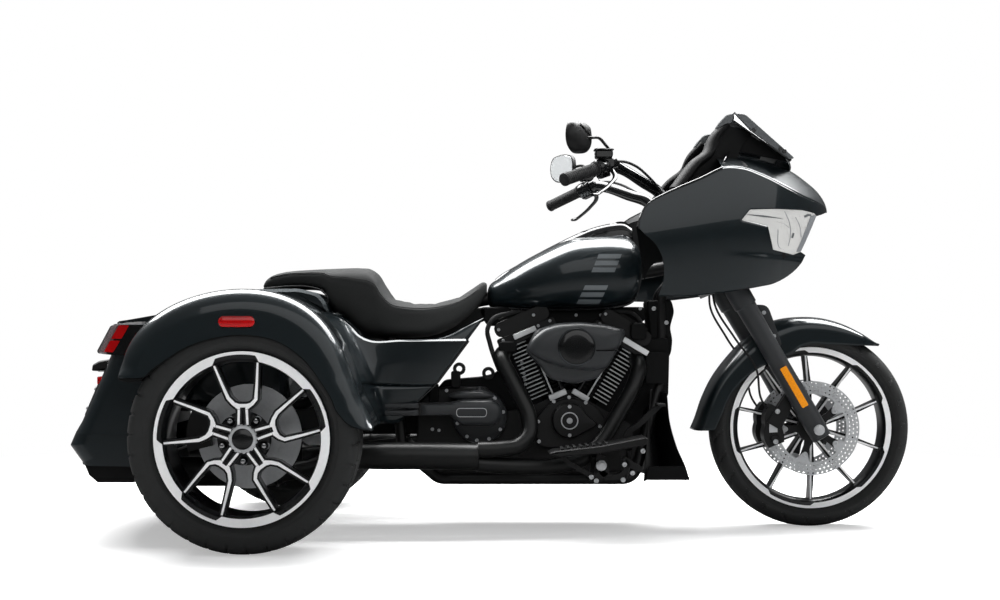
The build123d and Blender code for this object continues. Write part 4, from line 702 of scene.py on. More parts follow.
def piece(
    name: str,
    shape: Shape,
    finish: Finish,
    replaces: Sequence[str] = (),
    crease: float = 32.0,
    body: Body = Body.CHASSIS,
) -> bpy.types.Object:
    """Make the Blender object of a finished shape and tie it to its body.

    Args:
        name: The piece's name.
        shape: Its points and faces, in place.
        finish: Its material.
        replaces: CAD nodes that it stands for.
        crease: Edges sharper than this many degrees stay sharp.
        body: The body that it rides on.

    Returns:
        The new object.
    """
    mesh = bpy.data.meshes.new(name)
    mesh.from_pydata(shape.points.tolist(), [], shape.faces)
    work = bmesh.new()
    work.from_mesh(mesh)
    bmesh.ops.remove_doubles(work, verts=work.verts, dist=1e-6)
    bmesh.ops.recalc_face_normals(work, faces=work.faces)
    work.to_mesh(mesh)
    work.free()
    mesh.polygons.foreach_set("use_smooth", np.ones(len(mesh.polygons), bool))
    mesh.set_sharp_from_angle(angle=math.radians(crease))
    mesh.materials.append(finish.material())
    made = bpy.data.objects.new(name, mesh)
    bpy.context.scene.collection.objects.link(made)
    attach(made, body.value)
    if replaces:
        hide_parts(*replaces)
    log.info("%s: %d faces on %s", name, len(mesh.polygons), body.value)
    return made


def thicken(made: bpy.types.Object, by: float) -> None:
    """Give a sheet this thickness, inwards from its faces.

    Args:
        made: The sheet's object.
        by: The thickness.
    """
    skin = made.modifiers.new("thickness", "SOLIDIFY")
    skin.thickness = by
    skin.offset = -1.0


# ---- Wheels ----


@dataclass
class Tyre:
    """A radial tyre: a rounded crown with moulded grooves, and sidewalls with raised rings."""

    STEPS_A_PITCH = 18
    GROOVE = 0.0055
    HALF_SECTION = 132.0
    TREAD_SHARE = 0.66

    radius: float
    width: float
    bead_radius: float
    bead_width: float
    crown: float  # flatness of the tread, from 0, round, upwards
    pitches: int
    slant: float
    bands: tuple[float, ...]

    def shape(self) -> Shape:
        """Work out the skin about the wheel's middle.

        Across the section the half angle goes from bead to bead: the width is its sine and the
        radius its cosine, each raised to a power that squares the shoulder. Grooves lower the crown
        where their repeated phase, slanting from the middle, falls in a narrow band.

        Returns:
            The tyre, closed through the rim's inside.
        """
        t = np.linspace(-1.0, 1.0, 73)
        phi = t * math.radians(self.HALF_SECTION)
        power = 1.0 / (1.0 + self.crown)
        belly = self.bead_radius + 0.42 * (self.radius - self.bead_radius)
        across = np.sign(phi) * np.abs(np.sin(np.clip(phi, -TAU / 4, TAU / 4))) ** power * self.width / 2
        side = np.clip((np.abs(phi) - TAU / 4) / math.radians(42.0), 0.0, 1.0)
        across = np.sign(phi) * (np.abs(across) - side**1.6 * (self.width - self.bead_width) / 2)
        top = belly + (self.radius - belly) * np.abs(np.cos(phi)) ** (power * 1.25)
        radial = np.where(np.abs(phi) < TAU / 4, top, belly - side * (belly - self.bead_radius))
        ring = 0.0012 * (np.abs(np.abs(t) - 0.86) < 0.012) + 0.0009 * (np.abs(np.abs(t) - 0.74) < 0.012)
        across = across + np.sign(t) * ring
        steps = self.pitches * self.STEPS_A_PITCH
        turn = full_turn(steps)
        share = np.abs(across) / (self.width / 2)
        phase = (
            turn[:, None] * self.pitches / TAU + self.slant * share[None, :] + 0.5 * (t[None, :] > 0)
        ) % 1.0
        cut = (phase < 0.14) & (share > 0.34)
        for place in self.bands:
            cut = cut | (np.abs(share - place) < 0.03)[None, :]
        cut = cut & (np.abs(t) < self.TREAD_SHARE)[None, :]
        radius = radial[None, :] - self.GROOVE * cut
        points = grid(radius * np.cos(turn)[:, None], across, radius * np.sin(turn)[:, None])
        return lattice(points, around=True, along=True)


def bent_ring(inner: Array, outer: float, low: float, high: float) -> Shape:
    """A flat ring about the y axis whose inner radius follows the array, one value a step.

    Args:
        inner: The inner radius at each step round.
        outer: The outer radius.
        low: The first face's place along y.
        high: The second face's place along y.

    Returns:
        The closed ring.
    """
    turn = full_turn(len(inner))
    corners = [
        (inner, low), (inner, high), (np.full_like(inner, outer), high), (np.full_like(inner, outer), low)
    ]
    points = [grid(r * np.cos(turn), y, r * np.sin(turn)) for r, y in corners]
    return lattice(np.stack(points, 1), around=True, along=True)


def drilled_band(
    inner: float, outer: float, low: float, high: float, rows: int = 3, columns: int = 60
) -> Shape:
    """A flat ring about the y axis with rows of round holes.

    The ring is cut into cells by radius and angle. A cell's eight edge points and the eight points of
    its hole are joined by quads on both faces, and the hole's wall joins the two faces.

    Args:
        inner: The ring's inner radius.
        outer: Its outer radius.
        low: One face's place along y.
        high: The other face's place.
        rows: Rows of holes.
        columns: Holes round each row.

    Returns:
        The ring.
    """
    edge = np.array([(1, 0), (1, 1), (0, 1), (-1, 1), (-1, 0), (-1, -1), (0, -1), (1, -1)], float) / 2
    around = np.arange(8) * TAU / 8
    hole = 0.24 * np.column_stack([np.cos(around), np.sin(around)])
    cell = np.concatenate([edge, hole])
    row, column = np.meshgrid(np.arange(rows), np.arange(columns), indexing="ij")
    across = (row[..., None] + 0.5 + cell[:, 0]) / rows
    angle = (column[..., None] + 0.5 + cell[:, 1] + 0.33 * row[..., None]) * TAU / columns
    radius = inner + (outer - inner) * across
    face = np.stack(
        [radius * np.cos(angle), np.zeros_like(radius), radius * np.sin(angle)], -1
    ).reshape(-1, 16, 3)
    points = np.concatenate([face + (0.0, low, 0.0), face + (0.0, high, 0.0)], 1)
    step, after = np.arange(8), (np.arange(8) + 1) % 8
    front = np.stack([step, after, after + 8, step + 8], -1)
    wall = np.stack([step + 8, after + 8, after + 24, step + 24], -1)
    faces = np.concatenate([front, front + 16, wall])
    starts = np.arange(len(points))[:, None, None] * 32
    return Shape(points.reshape(-1, 3), (faces[None] + starts).reshape(-1, 4).tolist())


@dataclass
class FrontWheel:
    """The narrow front wheel: paired slim spokes, a machined edge and two floating discs."""

    centre: tuple[float, float, float] = (1.00436, 0.0, 0.319)
    pair_turn: float = 38.0
    half_gap: float = 17.0
    disc_y: float = 0.0645

    def build(self) -> None:
        """Make the tyre, the rim with its spokes, the edge and the discs."""
        tyre = Tyre(0.3188, 0.1302, 0.2585, 0.079, 0.12, 26, 0.9, ())
        piece(
            "front_tyre_skin",
            tyre.shape().placed(at=self.centre),
            TYRE_RUBBER,
            ["front_tyre"],
            body=Body.FRONT_WHEEL,
        )
        piece(
            "front_rim_black",
            joined([self._barrel(), self._hub(), *self._spokes(0.0125, 0.022)]).placed(at=self.centre),
            RIM_BLACK,
            ["front_rim"], body=Body.FRONT_WHEEL,
        )
        faces = joined([self._edge(), *self._spoke_faces()])
        piece("front_rim_machined", faces.both().placed(at=self.centre), MACHINED, body=Body.FRONT_WHEEL)
        self._discs()

    def _barrel(self) -> Shape:
        """The rim's barrel: two flanges and a drop centre, as one closed section.

        Returns:
            The closed barrel.
        """
        half = [
            (0.2405, 0.0), (0.2405, 0.03), (0.246, 0.036), (0.256, 0.0395), (0.2585, 0.0425), (0.2585, 0.045),
            (0.2475, 0.0452), (0.2405, 0.0435), (0.2335, 0.036), (0.2305, 0.022), (0.229, 0.0),
        ]
        mirror = [(r, -y) for r, y in half[1:-1]]
        return turned([*reversed(half[:6]), *mirror[:5], *mirror[5:], *reversed(half[6:])], 180, closed=True)

    def _hub(self) -> Shape:
        """The hub with its waist and bearing seats.

        Returns:
            The closed hub.
        """
        profile = [
            (0.013, -0.041), (0.03, -0.041), (0.034, -0.037), (0.033, -0.026), (0.029, -0.012),
            (0.029, 0.012), (0.033, 0.026), (0.034, 0.037), (0.03, 0.041), (0.013, 0.041),
        ]
        return turned(profile, 48, closed=True)

    def _spokes(self, width: float, reach: float) -> list[Shape]:
        """The ten spokes: each runs straight from the hub to its place on the barrel."""
        return self._pairs((0.027, 0.13, 0.233), (width * 1.25, width, width * 0.9), -reach, reach)

    def _spoke_faces(self) -> list[Shape]:
        """The narrow machined faces on the spokes' outer edges."""
        return self._pairs((0.036, 0.236), (0.0065, 0.0052), -0.0232, -0.0215)

    def _turns(self) -> Array:
        """The five pairs' directions in degrees."""
        return np.arange(SPOKE_SETS) * SPOKE_STEP + self.pair_turn

    def _pairs(self, radii: Sequence[float], widths: Sequence[float], low: float, high: float) -> list[Shape]:
        """Ten bars in five pairs, each from the hub at 24 degrees off its pair's middle to the gap's edge.

        Args:
            radii: How far out each station of a bar lies.
            widths: The bar's width at each station.
            low: One side's place along y.
            high: The other side's place along y.

        Returns:
            The ten bars.
        """
        made = []
        for turn in self._turns():
            for lean in (-1.0, 1.0):
                root, tip = (math.radians(90.0 + lean * a) for a in (24.0, self.half_gap))
                angles = np.linspace(root, tip, len(radii))
                path = [(r * math.cos(a), r * math.sin(a)) for r, a in zip(radii, angles)]
                made.append(spun(ribbon(path, widths, low, high), turn - 90.0))
        return made

    def _edge(self) -> Shape:
        """The machined edge, cut back to a thin band inside each pair of spokes.

        Returns:
            The flat ring on the rim's outer face.
        """
        angle = np.degrees(full_turn(720))
        off = np.abs((angle - self.pair_turn + SPOKE_STEP / 2) % SPOKE_STEP - SPOKE_STEP / 2)
        deep = np.clip((off - self.half_gap + 1.5) / 3.0, 0.0, 1.0)
        return bent_ring(0.249 - 0.0085 * deep, 0.2576, -0.0462, -0.0445)

    def _discs(self) -> None:
        """The drilled discs, their black carriers and the bolts between them."""
        turn = full_turn(360)
        tab = np.clip(np.cos(5.0 * (turn - math.radians(self.pair_turn))) * 3.0 - 1.7, 0.0, 1.0)
        low, high = -self.disc_y - 0.0025, -self.disc_y + 0.0025
        band = joined(
            [bent_ring(0.109 - 0.026 * tab, 0.1135, low, high), drilled_band(0.1135, 0.1499, low, high)]
        )
        band = band.both().placed(at=self.centre)
        piece("front_disc_bands", band, BRUSHED_STEEL, ["front_brake_discs"], body=Body.FRONT_WHEEL)
        arms = []
        for place in self._turns():
            arm = ribbon([(0.0, 0.02), (0.0, 0.06), (0.0, 0.094)], (0.034, 0.02, 0.026), -0.0665, -0.0575)
            arms.append(spun(arm, place - 90.0))
        ring = turned([(0.018, -0.04), (0.046, -0.04), (0.046, -0.066), (0.018, -0.066)], 48, closed=True)
        carrier = joined([*arms, ring]).both().placed(at=self.centre)
        piece("front_disc_carriers", carrier, SATIN_BLACK, body=Body.FRONT_WHEEL)
        places = beside(ellipse(0.0, 0.0, 0.087, 0.087, np.radians(self._turns())), -0.0675)
        heads = bolts(places, RIGHT, 0.0085, 0.004).both().placed(at=self.centre)
        piece("front_disc_bolts", heads, BRUSHED_STEEL, body=Body.FRONT_WHEEL)


@dataclass
class RearWheel:
    """A wide rear wheel: forked spokes with machined faces, lug nuts and a plain cap."""

    centre: tuple[float, float, float] = (-0.71564, -0.565, 0.3254)
    turns: tuple[float, ...] = (90.0, 18.0, -54.0, -126.0, 162.0)

    def build(self) -> None:
        """Make the right wheel, and the left one as its mirror image."""
        tyre = Tyre(0.3252, 0.2152, 0.2455, 0.17, 1.35, 34, 0.35, (0.0, 0.36, 0.68))
        black = joined([self._barrel(), self._hub(), *self._forks(0.0115, 0.042)])
        bright = joined([self._edge(), *self._forks(0.0, 0.0025)])
        parts = {
            "tyre_skin": (tyre.shape(), TYRE_RUBBER, "rear_tyre"),
            "rim_black": (black, RIM_BLACK, "rear_rim"),
            "rim_machined": (bright, MACHINED, ""),
            "lug_nuts": (self._nuts(), CHROME, ""),
            "cap_ring": (self._cap_ring(), BRUSHED_STEEL, ""),
            "cap": (self._cap(), GLOSS_BLACK, ""),
            "disc_face": (self._disc(), BRUSHED_STEEL, "rear_brake_disc"),
        }
        for name, (shape, finish, node) in parts.items():
            right = shape.placed(at=self.centre)
            sides = (
                ("right", right, Body.REAR_WHEEL_RIGHT), ("left", right.mirrored(), Body.REAR_WHEEL_LEFT)
            )
            for side, placed, body in sides:
                piece(f"rear_{name}_{side}", placed, finish, [f"{node}_{side}"] if node else (), body=body)

    def _barrel(self) -> Shape:
        """The deep barrel as one closed section, from the outer flange to the inner one.

        Returns:
            The closed barrel.
        """
        profile = [
            (0.2445, -0.0965), (0.245, -0.09), (0.23, -0.084), (0.23, 0.084), (0.245, 0.09), (0.2445, 0.0965),
            (0.23, 0.0975), (0.22, 0.09), (0.219, -0.04), (0.215, -0.062), (0.217, -0.08), (0.225, -0.0935),
        ]
        return turned(profile, 200, closed=True)

    def _hub(self) -> Shape:
        """The hub, hollow round the spindle, with a dished face for the nuts.

        Returns:
            The closed hub.
        """
        profile = [
            (0.0202, 0.01), (0.0202, -0.064), (0.012, -0.068), (0.012, -0.0745), (0.044, -0.0745),
            (0.047, -0.07), (0.052, -0.058), (0.072, -0.056), (0.076, -0.05), (0.074, -0.026),
            (0.062, -0.01), (0.062, 0.01),
        ]
        return turned(profile, 72, closed=True)

    def _forks(self, spare: float, depth: float) -> list[Shape]:
        """The five forked spokes; `spare` widens them all round and `depth` is how thick they are.

        Args:
            spare: Added width on each bar, nothing for the machined faces.
            depth: Thickness inwards from the face.

        Returns:
            The bars of all the spokes.
        """
        lift = 0.0 if spare else 0.0008
        bars = [
            ([(-0.0125, 0.039), (-0.0105, 0.09)], (0.0068, 0.0068)),
            ([(0.0125, 0.039), (0.0105, 0.09)], (0.0068, 0.0068)),
            (
                [(-0.012, 0.087), (-0.027, 0.1), (-0.04, 0.114), (-0.059, 0.158), (-0.078, 0.204)],
                (0.009, 0.0105, 0.0095, 0.007, 0.0055),
            ),
            (
                [(0.012, 0.087), (0.026, 0.0985), (0.037, 0.111), (0.0405, 0.16), (0.043, 0.2135)],
                (0.009, 0.0105, 0.0095, 0.007, 0.0055),
            ),
            (
                [(-0.024, 0.0985), (-0.01, 0.093), (0.01, 0.093), (0.024, 0.0975)],
                (0.0085, 0.01, 0.01, 0.0085),
            ),
        ]
        made = []
        for path, widths in bars:
            line = np.asarray(path)
            rise = 0.074 + 0.014 * np.clip((np.hypot(*line.T) - 0.04) / 0.17, 0.0, 1.0)
            face = -(rise + lift)
            bar = ribbon(line, np.asarray(widths) + spare, face, face + depth)
            made += [spun(bar, turn - 90.0) for turn in self.turns]
        return made

    def _edge(self) -> Shape:
        """The machined edge: wide between the spokes, a thin band inside each fork.

        Returns:
            The flat ring on the rim's outer face.
        """
        angle = np.degrees(full_turn(720))
        off = (angle - 90.0 + SPOKE_STEP / 2) % SPOKE_STEP - SPOKE_STEP / 2
        inside = np.clip((off + 12.5) / 3.2, 0.0, 1.0) * np.clip((21.5 - off) / 3.2, 0.0, 1.0)
        return bent_ring(0.2205 + 0.0155 * inside, 0.2448, -0.0992, -0.0955)

    def _nuts(self) -> Shape:
        """Five domed nuts between the spokes.

        Returns:
            The nuts as one shape.
        """
        nut = turned(
            [(0.0, -0.08), (0.006, -0.079), (0.0095, -0.075), (0.0115, -0.068), (0.0135, -0.0545)], 12
        )
        return joined([spun(nut.placed(at=(0.0625, 0.0, 0.0)), turn - SPOKE_STEP / 2) for turn in self.turns])

    def _cap_ring(self) -> Shape:
        """A knurled ring round the cap: its radius ripples sixty times.

        Returns:
            The ring.
        """
        turn = full_turn(360)
        ripple = 0.0398 + 0.0012 * np.sign(np.sin(20.0 * turn))
        corners = [(0.03, -0.074), (0.03, -0.0835), (0.037, -0.0835), (ripple, -0.079), (ripple, -0.074)]
        points = [grid(r * np.cos(turn), y, r * np.sin(turn)) for r, y in corners]
        return lattice(np.stack(points, 1), around=True, along=True)

    def _cap(self) -> Shape:
        """The plain domed cap.

        Returns:
            The cap.
        """
        return turned(
            [(0.0, -0.0885), (0.014, -0.088), (0.024, -0.0865), (0.0295, -0.083), (0.0305, -0.074)], 64
        )

    def _disc(self) -> Shape:
        """The brake disc on its hat, inside the wheel.

        Returns:
            The disc with its hat.
        """
        profile = [
            (0.048, 0.01), (0.062, 0.01), (0.064, 0.04), (0.092, 0.0415), (0.0925, 0.0405), (0.1495, 0.0405),
            (0.1495, 0.049), (0.026, 0.049), (0.026, 0.043), (0.048, 0.043),
        ]
        return turned(profile, 144, closed=True)


# ---- Fork and front fender ----


@dataclass
class Fork:
    """The raked fork: clamps, tubes, lower legs, axle, calipers, hoses and reflectors."""

    BRIDGE = 0.131  # the caliper's middle from the axle

    foot: tuple[float, float, float] = (0.565, 0.0, 0.96)
    rake: float = 30.0
    half_width: float = 0.128
    axle: tuple[float, float] = (1.00436, 0.319)

    def at(self, up: float, lead: float, y: float = 0.0) -> tuple[float, float, float]:
        """The place `up` along the steering axis and `lead` ahead of it."""
        c, s = math.cos(math.radians(self.rake)), math.sin(math.radians(self.rake))
        return (self.foot[0] - s * up + c * lead, y, self.foot[2] + c * up + s * lead)

    def build(self) -> None:
        """Make the fork's pieces on both sides."""
        parts = (
            ("fork_lower_legs", joined([self._leg(), self._bracket()]), GEAR_GREY, "fork_legs"),
            ("fork_tubes", self._tube(), GLOSS_BLACK, ""),
            ("fork_reflectors", self._reflector(), LENS_AMBER, ""),
            ("front_axle_ends", self._axle_end(), BRUSHED_STEEL, "front_axle"),
            ("front_calipers_body", self._caliper(), SATIN_BLACK, "front_brake_calipers"),
            ("front_caliper_plates", self._caliper_plate(), BRUSHED_STEEL, ""),
            ("front_brake_hoses", self._hose(), GRIP_RUBBER, ""),
            ("fork_bolts", self._bolts(), BRUSHED_STEEL, ""),
        )
        for name, shape, finish, node in parts:
            piece(name, shape.both(), finish, [node] if node else (), body=Body.FORK)

    def _line(self, low: float, high: float) -> Array:
        """The ends of a stretch of the right leg's centre line.

        Args:
            low: Where it starts, in metres along the steering axis.
            high: Where it ends.

        Returns:
            The two ends, one a row.
        """
        up = np.array([[low], [high]])
        low_end, high_end = (np.array(self.at(u, 0.06, -self.half_width)) for u in (0.0, 1.0))
        return low_end + up * (high_end - low_end)

    def _leg(self) -> Shape:
        """The cast lower leg, stepped at the seal's collar and swelling over the axle.

        Returns:
            The right leg.
        """
        up = np.array([-0.806, -0.803, -0.76, -0.7, -0.58, -0.42, -0.33, -0.325, -0.262, -0.256, -0.2545])
        size = np.array([0.02, 0.0305, 0.0325, 0.0325, 0.03, 0.0305, 0.0325, 0.0368, 0.0372, 0.0345, 0.026])
        line = self._line(0.0, 1.0)
        return swept(line[0] + up[:, None] * np.diff(line, axis=0), size, 28)

    def _tube(self) -> Shape:
        """The polished inner tube up through both clamps, with the covers round the clamps.

        Returns:
            The right tube with its covers.
        """
        cover = swept(self._line(-0.246, -0.045), 0.034, 28)
        tube = swept(self._line(-0.262, -0.02), 0.0245, 28)
        return joined([tube, cover])

    def _bracket(self) -> Shape:
        """The fender's bracket ahead of the leg."""
        places = ((-0.47, 0.058), (-0.33, 0.075), (-0.36, 0.125), (-0.5, 0.1))
        return tablet(self._flat(places), 0.02, -0.112, -0.104, 0.0012)

    def _flat(self, places: Line) -> list[tuple[float, float]]:
        """The (x, z) points of places up and ahead of the steering axis."""
        return [self.at(up, lead)[::2] for up, lead in places]

    def _reflector(self) -> Shape:
        """The long amber reflector on the leg's outer side."""
        places = ((-0.69, 0.048), (-0.69, 0.07), (-0.548, 0.07), (-0.548, 0.048))
        return tablet(self._flat(places), 0.004, -0.1655, -0.1585, 0.0015)

    def _axle_end(self) -> Shape:
        """The axle with its nut and washer.

        Returns:
            The axle's right half.
        """
        profile = [
            (0.0, -0.1695), (0.0105, -0.1695), (0.012, -0.168), (0.012, -0.1655), (0.0165, -0.165),
            (0.017, -0.159), (0.0122, -0.1585), (0.0122, -0.0005), (0.0, -0.0005),
        ]
        return turned(profile, 24).placed(at=(self.axle[0], 0.0, self.axle[1]))

    def _caliper(self) -> Shape:
        """A four-piston caliper behind the leg, rounded along the disc's rim.

        Returns:
            The right caliper.
        """
        turn = np.radians(np.linspace(150.0, 203.0, 19))
        inner, outer = 0.098, 0.163
        mid = 0.5 * (inner + outer)
        line = ellipse(*self.axle, mid, mid, turn)
        swell = 0.052 + 0.012 * np.abs(np.sin(np.linspace(0.0, TAU, 19)))
        body = ribbon(line, swell, -0.098, -0.04)
        arm = ribbon(
            [(line[9, 0], line[9, 1]), (self.axle[0] - 0.062, self.axle[1] + 0.128)],
            (0.05, 0.03),
            -0.105,
            -0.075,
        )
        bosses = [
            turned(
                [(0.0, -0.104), (0.011, -0.104), (0.0145, -0.101), (0.015, -0.09)], 20
            ).placed(at=(x, 0.0, z))
            for x, z in line[[3, 15]]
        ]
        return joined([body, arm, *bosses])

    def _caliper_plate(self) -> Shape:
        """The light machined plate and bolt heads on the caliper's outer face.

        Returns:
            The plate with its bolts.
        """
        turn = np.radians(np.linspace(168.0, 185.0, 7))
        line = ellipse(*self.axle, self.BRIDGE, self.BRIDGE, turn)
        face = ribbon(line, np.full(7, 0.026), -0.1005, -0.0975)
        heads = beside(ellipse(*self.axle, self.BRIDGE, self.BRIDGE, np.radians([155.0, 198.0])), -0.1035)
        return joined([face, bolts(heads, RIGHT, 0.008, 0.005)])

    def _hose(self) -> Shape:
        """The brake hose from the caliper up behind the leg to the lower clamp.

        Returns:
            The right hose.
        """
        line = curve(
            [
                (self.axle[0] - 0.135, -0.088, self.axle[1] + 0.045),
                (self.axle[0] - 0.165, -0.085, self.axle[1] + 0.09),
                self.at(-0.52, -0.005, -0.095),
                self.at(-0.4, -0.012, -0.075),
                self.at(-0.28, -0.01, -0.05),
                self.at(-0.235, 0.01, -0.03),
            ],
            36,
        )
        return swept(line, 0.0035, 10)

    def _bolts(self) -> Shape:
        """The bracket's bolts."""
        places = [self.at(up, lead, -0.1125) for up, lead in ((-0.375, 0.102), (-0.455, 0.092))]
        return bolts(places, RIGHT, 0.0065, 0.004)


@dataclass
class FrontFender:
    """A close-fitting front fender whose side view widens from a pointed nose to a deep tail."""

    def build(self) -> None:
        """Sweep the section from the nose over the tyre to the tail, then thicken it.

        Each row's section is an arch: across t in [-1, 1] the half width is sin of a half turn scaled
        to the side's half width, and the height falls from the crown line to the side's lower edge
        as one minus cosine raised to a power, so the crown is round and the sides drop plainly.
        """
        crown = curve(
            [
                (1.23, 0.588), (1.219, 0.592), (1.166, 0.622), (1.113, 0.649), (1.033, 0.671), (0.986, 0.674),
                (0.901, 0.664), (0.864, 0.652), (0.795, 0.597), (0.742, 0.54), (0.7, 0.483), (0.664, 0.41),
                (0.64, 0.34), (0.628, 0.312),
            ],
            90,
        )
        edge = curve(
            [
                (1.225, 0.58), (1.197, 0.581), (1.134, 0.583), (1.055, 0.585), (0.987, 0.586), (0.96, 0.575),
                (0.935, 0.556), (0.88, 0.532), (0.83, 0.51), (0.795, 0.484), (0.765, 0.456), (0.741, 0.425),
                (0.712, 0.36), (0.69, 0.312),
            ],
            90,
        )
        share = np.linspace(0.0, 1.0, 90)
        half = 0.0885 * np.clip(1.0 - ((0.1 - share) / 0.1), 0.12, 1.0) ** 0.5
        t = np.linspace(-1.0, 1.0, 41)
        across = np.sin(np.clip(np.abs(t) / 0.72, 0.0, 1.0) * TAU / 4) * np.sign(t)
        drop = np.clip((np.abs(t) - 0.1) / 0.9, 0.0, 1.0)
        fall = np.where(
            drop < 0.62,
            0.36 * (1.0 - np.cos(np.clip(drop / 0.62, 0, 1) * TAU / 4)),
            0.36 + 0.64 * (drop - 0.62) / 0.38,
        )
        points = grid(
            crown[:, :1] + (edge[:, :1] - crown[:, :1]) * fall,
            half[:, None] * across,
            crown[:, 1:] + (edge[:, 1:] - crown[:, 1:]) * fall,
        )
        thicken(
            piece("front_fender_skin", lattice(points), PAINT, ["front_fender"], body=Body.FORK), THIN_SHEET
        )


# ---- Fairing, lamp and screen ----


def line_of(points: Sequence[Sequence[float]], count: int) -> Array:
    """Evenly spread points along straight runs through the given ones.

    Args:
        points: The corners of the line.
        count: How many points it gets.

    Returns:
        The line's points.
    """
    knots = np.asarray(points, float)
    reach = reach_along(knots)
    s = np.linspace(0.0, reach[-1], count)
    return np.stack([np.interp(s, reach, knots[:, i]) for i in range(knots.shape[1])], -1)


@dataclass
class Fairing:
    """The frame-mounted fairing: a beaked nose, a crease under the top strip and a lip below the lamps."""

    LIP = 0.006  # how far the lip steps out
    NOSE = 0.042  # half width of the painted nose between the lamps
    BOWL = 0.016  # depth of the lamps' bowls
    ON_LENS = 0.0003  # depth of what is drawn just inside the lens

    widths: Line = (
        (0.4, 0.384), (0.52, 0.385), (0.64, 0.381), (0.74, 0.362), (0.83, 0.322), (0.91, 0.262),
        (0.97, 0.2), (1.015, 0.138), (1.045, 0.078), (1.058, 0.036), (1.063, 0.004),
    )
    crown: Line = (
        (0.69, 1.189), (0.74, 1.19), (0.806, 1.184), (0.884, 1.163), (0.931, 1.145), (0.984, 1.111),
        (1.027, 1.077), (1.052, 1.046), (1.062, 1.028), (1.0625, 1.014),
    )
    crease: Line = (
        (0.671, 1.1155), (0.726, 1.117), (0.8, 1.094), (0.887, 1.058), (0.945, 1.038), (0.993, 1.028),
        (1.04, 1.017), (1.0615, 1.011),
    )
    rim: Line = (
        (0.415, 0.94), (0.421, 0.964), (0.439, 0.998), (0.461, 1.016), (0.492, 1.033), (0.537, 1.054),
        (0.609, 1.085), (0.648, 1.105), (0.671, 1.1155),
    )
    foot: Line = (
        (0.415, 0.936), (0.431, 0.918), (0.458, 0.895), (0.481, 0.861), (0.493, 0.813), (0.492, 0.77),
        (0.48, 0.731), (0.546, 0.73), (0.635, 0.738), (0.75, 0.754), (0.797, 0.7625), (0.841, 0.772),
        (0.888, 0.795), (0.911, 0.812), (0.936, 0.838), (0.951, 0.8615),
    )
    lamp_top: Line = (
        (0.725, 0.958), (0.7515, 0.99), (0.834, 0.995), (0.936, 0.998), (0.98, 0.994), (0.994, 0.988),
    )
    lamp_foot: Line = ((0.725, 0.958), (0.81, 0.942), (0.83, 0.873), (0.904, 0.861), (0.932, 0.871))

    def build(self) -> None:
        """Make the shell, the lamps, the cockpit and the screen."""
        shell = joined([self._upper().both(), self._lower().both(), self._top(), self._bridge()])
        thicken(piece("fairing_shell_skin", shell, PAINT, ["fairing_shell"], 28.0), SHEET)
        self._lamps()
        self._cockpit()
        self._screen()

    def half_width(self, place: Array) -> Array:
        """The skin's distance from the middle at (x, z) places.

        It is the plan's half width at x, less a parabola in height about a level that rises towards the
        nose, with a lip that steps outwards below a line under the lamps.

        Args:
            place: Points with x and z in the last axis.

        Returns:
            The half width at each.
        """
        plan = curve(self.widths, 400)
        x, z = place[..., 0], place[..., 1]
        width = np.interp(x, plan[:, 0], plan[:, 1])
        level = 0.905 + 0.16 * np.clip(x - 0.4, 0.0, 0.6)
        bow = np.where(z > level, 1.15, 1.3) * (z - level) ** 2
        line = 0.866 - 0.045 * (x - 0.7)
        step = np.clip((line - z) / 0.016, 0.0, 1.0)
        rise = np.clip((x - 0.66) / 0.14, 0.0, 1.0)
        lip = (
            self.LIP * rise * step**2 * (3.0 - 2.0 * step)
            - 0.02 * rise * np.clip((line - z) / 0.11, 0.0, 1.0) ** 2
        )
        skin = np.maximum(width - bow * np.clip(width / 0.3, 0.25, 1.0), 0.0)
        return skin + lip * np.clip(width / 0.2, 0.0, 1.0)

    def _skin(self, place: Array, inset: float = 0.0) -> Array:
        """The right side's points at (x, z) places, drawn in by `inset`."""
        return np.stack([place[..., 0], -(self.half_width(place) - inset), place[..., 1]], -1)

    def _panel(self, top: Array, foot: Array, rows: int, inset: float = 0.0) -> Shape:
        """The skin between two side-view lines of one count."""
        share = np.linspace(0.0, 1.0, rows)[:, None, None]
        return lattice(self._skin(top + (foot - top) * share, inset))

    def _belt(self, lamp: Sequence[Sequence[float]], count: int) -> Array:
        """The side-view line from the rear tip to the lamp and along one of its edges."""
        rear = line_of([(0.4152, 0.938), (0.725, 0.958)], 60)
        return np.concatenate([rear[:-1], line_of(lamp, count)])

    def _upper(self) -> Shape:
        """The right side above the lamp, from the rim and the crease down.

        Returns:
            The open surface.
        """
        belt = self._belt([*self.lamp_top, (1.012, 0.991), (1.037, 1.001), (1.0615, 1.009)], 80)
        edge = curve([*self.rim, *self.crease[1:]], 2000)
        return self._panel(self._matched(edge, belt), belt, 26)

    def _lower(self) -> Shape:
        """The right side below the lamp, down to the fairing's foot.

        Returns:
            The open surface.
        """
        belt = self._belt([*self.lamp_foot, (0.951, 0.8625)], 80)
        rear = curve(self.foot[:7], 30)
        lower = curve(self.foot[6:], len(belt) - 29)
        return self._panel(belt, np.concatenate([rear[:-1], lower]), 34)

    @staticmethod
    def _matched(edge: Array, belt: Array) -> Array:
        """Points of an edge at the belt's lengthwise places."""
        return np.column_stack([belt[:, 0], np.interp(belt[:, 0], edge[:, 0], edge[:, 1])])

